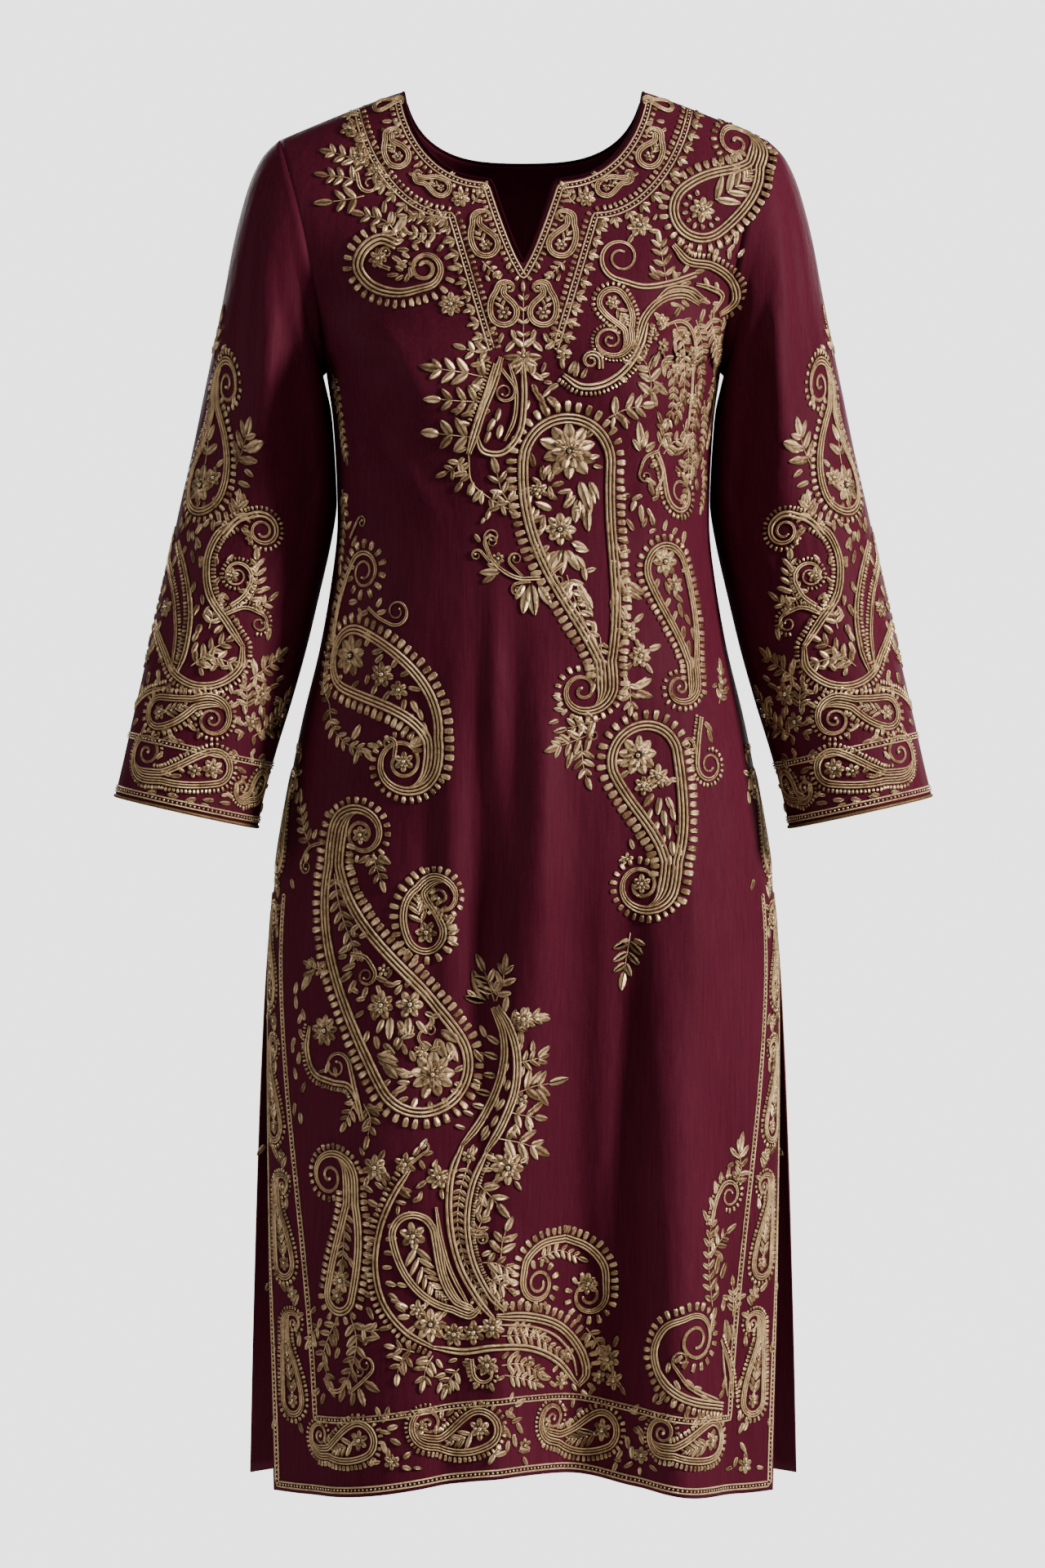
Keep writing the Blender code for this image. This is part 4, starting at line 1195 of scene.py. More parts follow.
            # A large head has a ring of petals round its flower, open towards the spine.
            cloth.flower(head, 0.6 * room[0], 8, math.degrees(bearing))
            petals = 13
            for k in range(petals):
                angle = bearing + 2 * math.pi * (k + 0.5) / petals
                if abs((k + 0.5) / petals - 0.5) < 0.38:
                    foot = head + toward(angle) * 0.68 * room[0]
                    cloth.pad(Shape.PETAL, foot, angle, 0.3 * room[0], 0.26 * room[0])
        else:
            cloth.flower(head, 0.88 * room[0], 6, math.degrees(bearing))
        at = 0.8 * room[0]
        while at < run[-1] * 0.94:
            k = int(np.searchsorted(run, at))
            space = room[min(k, len(room) - 1)]
            if space < 0.0012:
                break
            angle = math.degrees(direction(spine[min(k + 1, len(spine) - 1)] - spine[k - 1]))
            length = max(1.2 * space, 0.0036)
            for side in (1, -1):
                cloth.leaf(spine[k], angle + side * 40, length, 0.46 * length)
            cloth.bead(spine[k], 0.0011)
            at += 0.52 * length + 0.0006


@dataclass(frozen=True)
class Curl:
    """A stem of cords that ends in a spiral. Places and lengths are the draft's.

    Attributes:
        points: Places that its stem runs through, x and y in turn.
        width: Its width.
        radius: The spiral's first radius.
        turns: How often it winds, positive for anticlockwise.
        teeth: Length of the teeth outside it, 0 for none.
        strands: How many cords it has.
        side: The teeth's side, 0 for the spiral's outside.
    """

    points: tuple[float, ...]
    width: float
    radius: float
    turns: float
    teeth: float = 0.0
    strands: int = 2
    side: int = 0

    def work(self, cloth: Embroidery) -> None:
        """Works it on a piece of cloth.

        Args:
            cloth: The embroidery that it is worked in.
        """
        line, width, teeth = draft_line(cloth.ground, self.points), self.width * DRAFT_UNIT, self.teeth * DRAFT_UNIT
        spiral = volute(line[-1], heading(line), self.radius * DRAFT_UNIT, self.turns, 0.72)
        whole = evenly(np.vstack([line, spiral]), 0.0014)
        taper = mix(1.0, 0.34, smooth((np.linspace(0, 1, len(whole)) - 0.25) / 0.6))
        cloth.band(whole, width, taper, self.strands)
        cloth.bead(whole[-1], 0.0011)
        if teeth:
            outside = self.side or (-1 if self.turns > 0 else 1)
            toothed = min(1 - 0.5 / (1 + abs(self.turns)), 0.86)
            cloth.fringe(
                whole[: int(len(whole) * toothed)], (teeth, teeth * 0.7), teeth * 0.76, outside, width / 2 + 0.0002
            )


@dataclass(frozen=True)
class Stem:
    """A band of cords with open ends. Places and lengths are the draft's.

    Attributes:
        points: Places that it runs through, x and y in turn.
        width: Its width.
        strands: How many cords it has.
        teeth: Length of the teeth along it, 0 for none.
        side: The teeth's side: 1 for its left and -1 for its right.
    """

    points: tuple[float, ...]
    width: float
    strands: int = 2
    teeth: float = 0.0
    side: int = 1

    def work(self, cloth: Embroidery) -> None:
        """Works it on a piece of cloth.

        Args:
            cloth: The embroidery that it is worked in.
        """
        line, width = draft_line(cloth.ground, self.points), self.width * DRAFT_UNIT
        place = np.arange(len(line))
        cloth.band(line, width, mix(0.6, 1.0, smooth(np.minimum(place, place[::-1]) / 9)), self.strands)
        if self.teeth:
            teeth = self.teeth * DRAFT_UNIT
            cloth.fringe(line, (teeth, teeth * 0.6), teeth * 0.78, self.side, width / 2 + 0.0003)


@dataclass(frozen=True)
class Sprig:
    """A stem with leaves. Places and lengths are the draft's.

    Attributes:
        points: Places that the stem runs through, x and y in turn.
        leaf: The leaves' length.
        pitch: The distance between two pairs, 0 for one that suits the leaves.
        sides: On which sides they stand.
    """

    points: tuple[float, ...]
    leaf: float
    pitch: float = 0.0
    sides: tuple[int, ...] = (1, -1)

    def work(self, cloth: Embroidery) -> None:
        """Works it on a piece of cloth.

        Args:
            cloth: The embroidery that it is worked in.
        """
        line, leaf = draft_line(cloth.ground, self.points), self.leaf * DRAFT_UNIT
        cloth.cord(line, 0.0006, 0.0009, 0.6)
        run = runs(line)
        pitch = self.pitch * DRAFT_UNIT or leaf * 0.74
        for at in np.arange(pitch * 0.6, run[-1] - leaf * 0.15, pitch):
            share = at / run[-1]
            k = min(int(np.searchsorted(run, at)), len(line) - 2)
            bearing = math.degrees(direction(line[k + 1] - line[k - 1]))
            for side in self.sides:
                cloth.leaf(line[k], bearing + side * mix(62, 40, share), leaf * mix(1.0, 0.75, share))
        cloth.leaf(line[-1], math.degrees(heading(line)), leaf)


@dataclass(frozen=True)
class Bloom:
    """A flower. Its place and radius are the draft's, and degrees is its first petal's direction."""

    at: Place
    radius: float
    petals: int = 6
    degrees: float = 90.0

    def work(self, cloth: Embroidery) -> None:
        """Works it on a piece of cloth."""
        middle = cloth.ground.from_draft(np.array([self.at]))[0]
        cloth.flower(middle, self.radius * DRAFT_UNIT, self.petals, self.degrees)


@dataclass(frozen=True)
class Leaves:
    """Single leaves: for each in turn its x, y, direction in degrees and length. Places and lengths are the draft's."""

    rows: tuple[float, ...]

    def work(self, cloth: Embroidery) -> None:
        """Works them on a piece of cloth."""
        table = np.reshape(self.rows, (-1, 4))
        for at, (degrees, length) in zip(cloth.ground.from_draft(table[:, :2]), table[:, 2:]):
            cloth.leaf(at, degrees, length * DRAFT_UNIT)


Motif = Boteh | Curl | Stem | Sprig | Bloom | Leaves


def mirrored(motif: Motif) -> Motif:
    """The motif on the other side of the draft's middle, for the kinds that the neck has on both sides.

    Args:
        motif: A paisley, flower, sprig or leaves.

    Returns:
        Its mirrored form.
    """
    over = 2 * DRAFT_MIDDLE[0]
    match motif:
        case Boteh(head=(x, y), tail=(tail_x, tail_y), lean=lean, flick=flick, turns=turns):
            ends = {"head": (over - x, y), "tail": (over - tail_x, tail_y)}
            return replace(motif, **ends, lean=-lean, flick=-flick, turns=-turns)
        case Bloom(at=(x, y), degrees=degrees):
            return replace(motif, at=(over - x, y), degrees=180 - degrees)
        case Leaves(rows=rows):
            table = np.reshape(rows, (-1, 4)) * (-1, 1, -1, 1) + (over, 0, 180, 0)
            return Leaves(tuple(table.ravel()))
        case Sprig(points=points):
            return replace(motif, points=tuple((np.reshape(points, (-1, 2)) * (-1, 1) + (over, 0)).ravel()))
    raise TypeError(f"{motif} has no mirrored form")


NECK_MOTIFS: tuple[Motif, ...] = (
    Boteh((466, 130), 8, (488, 122), 0, 10, 7, -0.9, 0, 6, 1.8, True),
    Boteh((487, 192), 14, (476, 166), 16, -30, 10, -1.1, 0, 8), Boteh((540, 230), 11, (514, 221), -14, 16, 9, -1, 0, 7),
    Bloom((564, 243), 12, 7), Sprig((578, 250, 586, 240, 592, 230), 9, 8),
    Boteh((595, 300), 15, (583, 268), 16, -26, 12, -1.1, 0, 8), Sprig((590, 320, 599, 328, 607, 336), 9, 8),
    Boteh((617, 383), 16, (614, 352), 18, -30, 10, -1.1, 0, 8),
    Leaves((606, 406, 200, 12, 616, 408, 250, 12, 627, 404, 290, 12, 604, 420, 160, 11, 630, 418, 225, 15)),
    Leaves((468, 150, 10, 10, 466, 158, 330, 9, 492, 152, 170, 9, 506, 205, 20, 10, 500, 212, 330, 9)),
    Leaves((608, 342, 40, 9, 600, 345, 120, 9, 621, 330, 60, 9, 550, 214, 20, 9, 461, 172, 230, 8)),
)
NECK_CENTRE: tuple[Motif, ...] = (
    Sprig((641, 436, 641, 400, 641, 358), 11, 15),
    Leaves((
        641, 440, 210, 18, 641, 440, 330, 18, 641, 440, 240, 17, 641, 440, 300, 17, 641, 438, 180, 20, 641, 438, 0, 20,
        641, 440, 270, 20, 641, 424, 145, 15, 641, 424, 35, 15,
    )),
    Bloom((641, 436), 9),
)
SHOULDER_MOTIFS: tuple[Motif, ...] = (
    Bloom((442, 190), 15, 7), Bloom((428, 158), 11), Sprig((452, 205, 430, 194, 408, 187), 17, 13),
    Sprig((452, 208, 462, 214, 470, 222), 14, 10), Sprig((440, 222, 420, 217, 402, 215), 16, 12),
    Sprig((446, 240, 428, 244, 407, 247), 19, 15), Bloom((460, 207), 10), Curl((437, 212, 440, 226), 6, 14, 1.15),
    Sprig((488, 292, 474, 272, 446, 263), 17, 13),
    Leaves((462, 268, 110, 15, 478, 278, 75, 17, 486, 284, 60, 20, 470, 262, 90, 14)),
    Sprig((548, 268, 524, 266, 499, 265), 13, 11), Sprig((540, 286, 515, 286, 494, 284), 13, 11),
    Sprig((520, 298, 512, 292, 505, 288), 10, 8), Bloom((552, 373), 15, 8),
    Leaves((
        541, 268, 60, 10, 543, 300, 60, 9, 530, 250, 210, 12, 512, 246, 200, 12, 487, 232, 200, 14, 470, 226, 250, 12,
        452, 170, 190, 16, 446, 150, 185, 16, 450, 162, 200, 15, 440, 140, 170, 15,
    )),
    Curl((486, 300, 466, 293, 446, 305, 439, 328, 456, 350, 488, 359, 522, 352), 16, 25, 1.65, 12, 3, -1),
    Curl((478, 330, 462, 322, 466, 308), 6, 8, -1.2), Bloom((463, 317), 12, 7),
    Leaves((
        478, 300, 20, 15, 486, 306, 0, 14, 480, 314, 330, 13, 474, 338, 10, 13, 484, 344, 30, 12, 496, 346, 60, 12,
        504, 340, 100, 12, 494, 332, 150, 11, 486, 324, 20, 12, 500, 322, 340, 10,
    )),
    Boteh((860, 257), 36, (928, 190), -6, 32, 34, 1.25, 12, 14, 2),
    Leaves((900, 186, 250, 17, 905, 200, 235, 18, 884, 208, 130, 14, 915, 210, 250, 14, 925, 180, 250, 12)),
    Bloom((783, 276), 15, 7), Leaves((795, 283, 0, 12, 775, 288, 240, 12, 800, 270, 60, 8)),
    Sprig((816, 345, 812, 322, 808, 298), 15, 12), Leaves((808, 342, 165, 13, 803, 336, 130, 11, 822, 340, 30, 13)),
    Curl((852, 336, 822, 346, 788, 351, 757, 343), 9, 30, -1.55),
    Boteh((750, 371), 17, (770, 412), 12, -20, 26, -1.55, 6, 8, 2.2),
    Stem((824, 300, 842, 320, 872, 326, 896, 345, 900, 370, 880, 386), 12, 3, 8),
    Stem((852, 348, 868, 352, 884, 362, 876, 380), 8),
    Leaves((
        850, 334, 20, 12, 862, 340, 310, 12, 876, 345, 300, 12, 888, 300, 60, 13, 878, 304, 250, 15, 893, 318, 100, 12,
        890, 310, 50, 12, 903, 316, 60, 12, 900, 300, 85, 14, 846, 345, 200, 14, 836, 334, 60, 12, 828, 342, 110, 11,
        858, 366, 340, 12, 872, 372, 10, 10,
    )),
    Stem((780, 420, 790, 388, 812, 366, 838, 361, 856, 372), 12, 3), Stem((800, 372, 820, 354, 844, 354, 862, 366), 8),
    Stem((816, 398, 834, 394, 846, 404, 850, 440, 846, 480, 842, 520), 6),
    Sprig((868, 386, 876, 420, 876, 456, 868, 492), 14, 10), Sprig((862, 490, 862, 520, 858, 552), 13, 10),
    Leaves((862, 378, 260, 14, 872, 378, 280, 15, 880, 410, 260, 14, 882, 436, 250, 15, 876, 470, 255, 14)),
    Sprig((826, 396, 838, 430, 838, 470, 830, 508), 13, 10),
    Sprig((852, 392, 860, 430, 858, 470, 848, 520, 850, 570), 12, 9),
    Sprig((870, 400, 876, 440, 874, 490, 866, 540), 11, 9, (1,)),
    Sprig((812, 432, 822, 460, 824, 492, 818, 516), 12, 10), Sprig((836, 520, 842, 550, 842, 590, 836, 620), 12, 9),
    Sprig((860, 560, 862, 590, 858, 620), 11, 9),
    Leaves((
        800, 384, 330, 12, 796, 396, 300, 12, 806, 404, 20, 10, 820, 372, 350, 12, 834, 368, 330, 12, 866, 366, 200, 13,
        878, 372, 250, 13, 888, 392, 260, 13, 884, 408, 270, 12, 812, 448, 280, 12,
    )),
    Bloom((828, 452), 10), Bloom((850, 430), 10), Bloom((811, 394), 10), Bloom((799, 411), 8, 5), Bloom((812, 424), 9),
    Bloom((838, 412), 11), Bloom((846, 448), 12), Bloom((832, 436), 8, 5), Bloom((846, 488), 11),
    Leaves((
        826, 388, 60, 13, 836, 394, 20, 12, 823, 404, 330, 12, 826, 420, 290, 11, 850, 424, 60, 14, 818, 440, 200, 11,
        836, 462, 240, 14, 828, 456, 260, 14, 852, 470, 280, 15, 856, 400, 80, 14, 838, 380, 150, 11, 834, 480, 260, 13,
        842, 512, 250, 15, 852, 510, 290, 14, 840, 530, 240, 12,
    )),
    Stem((792, 396, 784, 424, 766, 452, 740, 470, 712, 473, 690, 459), 10, 2, 6),
    Curl((736, 452, 736, 444), 8, 13, 1.3),
    Leaves((
        742, 432, 200, 12, 690, 452, 95, 13, 697, 458, 60, 14, 704, 462, 80, 14, 712, 464, 60, 13, 684, 470, 215, 14,
        674, 476, 230, 13, 758, 462, 330, 11, 762, 442, 340, 11, 770, 424, 350, 10,
    )),
    Sprig((797, 493, 796, 462, 785, 436), 21, 15),
    Leaves((800, 468, 330, 24, 797, 480, 300, 18, 796, 474, 230, 16, 800, 450, 75, 18)), Bloom((690, 434), 9),
    Leaves((
        668, 444, 250, 12, 654, 446, 260, 13, 668, 428, 40, 14, 676, 416, 60, 13, 700, 410, 200, 12, 703, 392, 190, 12,
        708, 372, 185, 12, 612, 448, 250, 12, 600, 438, 200, 15, 590, 446, 190, 14,
    )),
)
CHEST_MOTIFS: tuple[Motif, ...] = (
    Leaves((
        654, 572, 110, 15, 664, 584, 60, 15, 652, 598, 200, 14, 668, 602, 330, 14, 676, 612, 100, 14, 660, 624, 240, 14,
        652, 636, 120, 14, 664, 648, 80, 14, 712, 616, 280, 18, 722, 600, 290, 16, 660, 664, 230, 14, 672, 676, 250, 14,
        708, 682, 300, 14, 714, 694, 280, 14, 700, 712, 250, 14, 694, 722, 250, 14, 708, 730, 290, 14,
        718, 742, 300, 14, 642, 566, 100, 13, 700, 600, 250, 14,
    )),
    Sprig((602, 464, 566, 456, 538, 452), 22, 17), Sprig((594, 492, 564, 491, 540, 489), 19, 15),
    Sprig((582, 536, 556, 533, 538, 531), 22, 17), Sprig((602, 428, 584, 431, 570, 427), 15, 12),
    Stem((614, 438, 604, 470, 590, 505, 574, 556), 12, 3), Stem((606, 446, 596, 480, 582, 516), 7, 2, 6, -1),
    Stem((641, 448, 642, 492, 636, 530, 616, 554, 592, 552, 584, 534), 9),
    Stem((624, 446, 632, 478, 630, 512, 618, 540), 6), Curl((614, 452, 628, 470), 5, 15, -1.5),
    Leaves((
        612, 500, 250, 14, 606, 512, 240, 15, 614, 520, 255, 16, 600, 528, 240, 14, 600, 502, 200, 13,
        652, 470, 300, 15, 656, 480, 310, 16, 662, 490, 290, 16, 648, 490, 250, 12, 650, 456, 330, 16, 660, 462, 20, 12,
        666, 468, 0, 10, 670, 486, 320, 18, 590, 474, 200, 14, 580, 504, 190, 13, 566, 500, 200, 12, 576, 520, 170, 13,
        588, 478, 150, 11, 572, 548, 200, 13, 568, 560, 230, 12,
    )),
    Sprig((574, 556, 578, 590, 600, 610, 624, 624), 15, 14, (-1,)), Sprig((566, 562, 556, 574, 548, 578), 14, 9),
    Sprig((628, 622, 614, 600, 609, 580), 17, 13),
    Leaves((
        620, 618, 140, 13, 612, 620, 200, 14, 600, 624, 250, 12, 594, 634, 240, 8, 572, 578, 190, 16, 590, 600, 230, 15,
        580, 590, 250, 15, 566, 590, 240, 14, 604, 612, 60, 12,
    )),
    Curl((662, 708, 632, 707, 606, 690, 594, 662), 6, 11, -1.2), Curl((600, 684, 594, 668), 4, 10, -1.3),
    Curl((600, 688, 590, 676), 4, 8, 1.3), Curl((640, 706, 626, 692), 4, 10, -1.3),
    Curl((650, 712, 634, 714), 4, 9, 1.3), Bloom((610, 684), 8),
    Leaves((
        612, 700, 185, 20, 606, 704, 215, 17, 612, 696, 160, 14, 650, 716, 280, 30, 642, 716, 240, 20,
        660, 718, 300, 22, 588, 664, 120, 11, 646, 722, 262, 24,
    )),
    Boteh((695, 567), 54, (744, 838), -13, -8, 34, -1.4, 13, 14, 2.1, True), Bloom((697, 552), 33, 10),
    Bloom((697, 552), 17, 7, 80), Bloom((686, 648), 19, 8), Bloom((660, 600), 11),
    Leaves((
        666, 588, 100, 17, 672, 590, 70, 15, 662, 592, 140, 12, 690, 590, 200, 14, 700, 600, 190, 14, 710, 590, 290, 26,
        716, 600, 285, 26, 722, 590, 300, 20, 708, 612, 262, 24, 718, 622, 275, 24, 676, 624, 160, 20,
        668, 632, 200, 18, 668, 640, 240, 16, 690, 622, 40, 18, 700, 624, 10, 15, 700, 664, 330, 19, 704, 672, 350, 16,
        672, 668, 220, 18, 668, 676, 190, 14, 690, 672, 270, 26, 686, 674, 240, 24, 694, 674, 300, 24,
        682, 676, 215, 18, 700, 680, 315, 20, 664, 650, 190, 12,
    )),
    Curl((690, 690, 678, 700), 5, 12, 1), Sprig((694, 704, 704, 734, 722, 776), 17, 13),
    Leaves((708, 716, 300, 22, 716, 726, 290, 20, 700, 722, 240, 16, 726, 760, 290, 14, 716, 700, 20, 13)),
    Sprig((735, 780, 736, 808, 728, 836), 11, 10),
    Leaves((650, 606, 250, 13, 654, 620, 240, 12, 720, 560, 10, 12, 726, 570, 350, 12, 716, 536, 40, 14)),
    Sprig((744, 512, 764, 502, 786, 497), 20, 15),
    Leaves((
        760, 508, 300, 15, 768, 500, 70, 18, 752, 510, 260, 13, 786, 548, 100, 26, 786, 548, 70, 20, 790, 552, 40, 17,
        784, 552, 130, 15,
    )),
    Sprig((806, 550, 813, 533, 810, 520), 15, 11), Sprig((812, 556, 826, 540, 838, 536), 14, 10),
    Curl((806, 552, 790, 560, 783, 578), 5, 10, 1.1), Curl((804, 556, 812, 582, 816, 606), 10, 27, 1.35, 7),
    Stem((806, 560, 810, 584, 802, 600), 5),
    Leaves((
        795, 572, 30, 14, 790, 586, 330, 15, 794, 592, 300, 14, 786, 606, 200, 12, 806, 596, 260, 14, 778, 612, 250, 15,
        784, 618, 280, 16, 792, 622, 310, 12, 772, 606, 190, 12, 798, 612, 20, 11, 824, 556, 20, 18, 830, 564, 340, 18,
        826, 572, 320, 16, 840, 548, 60, 14, 852, 552, 280, 16, 848, 570, 260, 15, 852, 585, 280, 14, 842, 580, 240, 12,
        838, 650, 250, 14, 828, 646, 230, 12, 776, 650, 130, 15, 786, 646, 60, 13, 800, 644, 110, 15, 812, 650, 70, 13,
        794, 652, 30, 10, 770, 664, 170, 14, 772, 674, 200, 13, 762, 694, 150, 16, 772, 702, 200, 16, 766, 714, 330, 24,
        756, 706, 290, 20, 760, 716, 310, 22, 752, 720, 280, 22, 748, 734, 290, 20, 770, 726, 340, 16,
        752, 746, 270, 18, 760, 742, 300, 16, 745, 640, 280, 12, 752, 664, 300, 13, 754, 684, 290, 12,
    )),
    Boteh((817, 698), 30, (850, 838), 6, -10, 24, -1.35, 10, 11, 1.6, True), Bloom((814, 688), 18, 8),
    Bloom((826, 716), 13),
    Leaves((
        806, 708, 250, 14, 814, 712, 290, 14, 834, 700, 20, 10, 820, 732, 240, 13, 830, 738, 290, 16, 828, 748, 240, 14,
        838, 752, 300, 14, 836, 766, 270, 16, 846, 768, 290, 14, 842, 784, 270, 16, 846, 804, 275, 15,
        824, 726, 320, 14, 850, 790, 280, 12,
    )),
    Bloom((770, 772), 13, 6, 60),
    Leaves((765, 760, 110, 13, 776, 762, 40, 14, 766, 784, 230, 12, 778, 782, 290, 12, 762, 772, 180, 10)),
    Bloom((784, 803), 15, 7, 30), Leaves((794, 796, 20, 16, 790, 812, 310, 14, 774, 812, 220, 14, 770, 800, 170, 12)),
    Sprig((768, 832, 772, 848, 772, 862), 15, 10),
    Leaves((776, 842, 20, 22, 778, 848, 350, 20, 768, 838, 110, 14, 784, 838, 50, 12)),
    Sprig((880, 862, 884, 840, 882, 822), 14, 10),
    Leaves((862, 884, 320, 16, 866, 892, 290, 16, 886, 846, 20, 12, 878, 838, 200, 11)),
    Curl((858, 878, 855, 905, 853, 932), 8, 23, 1.45, 6), Curl((852, 924, 848, 910), 5, 9, 1.2),
    Boteh((790, 930), 42, (819, 1086), 8, -22, 36, -1.4, 13, 14, 1.3, True, True), Bloom((781, 925), 24, 9),
    Bloom((806, 952), 14, 7), Bloom((788, 962), 12),
    Leaves((
        770, 944, 220, 14, 764, 932, 190, 12, 796, 944, 330, 13, 814, 962, 40, 13, 820, 956, 10, 12, 800, 972, 240, 18,
        808, 976, 270, 18, 816, 976, 300, 16, 798, 990, 250, 14, 812, 992, 280, 16, 822, 990, 290, 14,
        806, 1006, 250, 14, 818, 1008, 280, 16, 828, 1010, 290, 13, 814, 1022, 255, 14, 822, 1030, 275, 16,
        830, 1034, 285, 13, 820, 1046, 265, 14, 826, 1060, 270, 14, 796, 964, 160, 12,
    )),
    Sprig((735, 880, 714, 887, 694, 892), 16, 12), Sprig((730, 896, 706, 906, 684, 914), 19, 13),
    Sprig((712, 912, 714, 936, 718, 952), 15, 11),
    Leaves((700, 920, 250, 18, 692, 908, 160, 14, 690, 870, 170, 12, 688, 858, 150, 11, 684, 882, 200, 12)),
    Curl((722, 884, 720, 898), 4, 8, 1.1), Sprig((772, 1142, 768, 1168, 764, 1190), 20, 14),
    Leaves((770, 1150, 200, 14, 776, 1150, 330, 14, 776, 1040, 110, 12, 768, 1050, 200, 10)), Bloom((768, 1052), 8, 5),
)
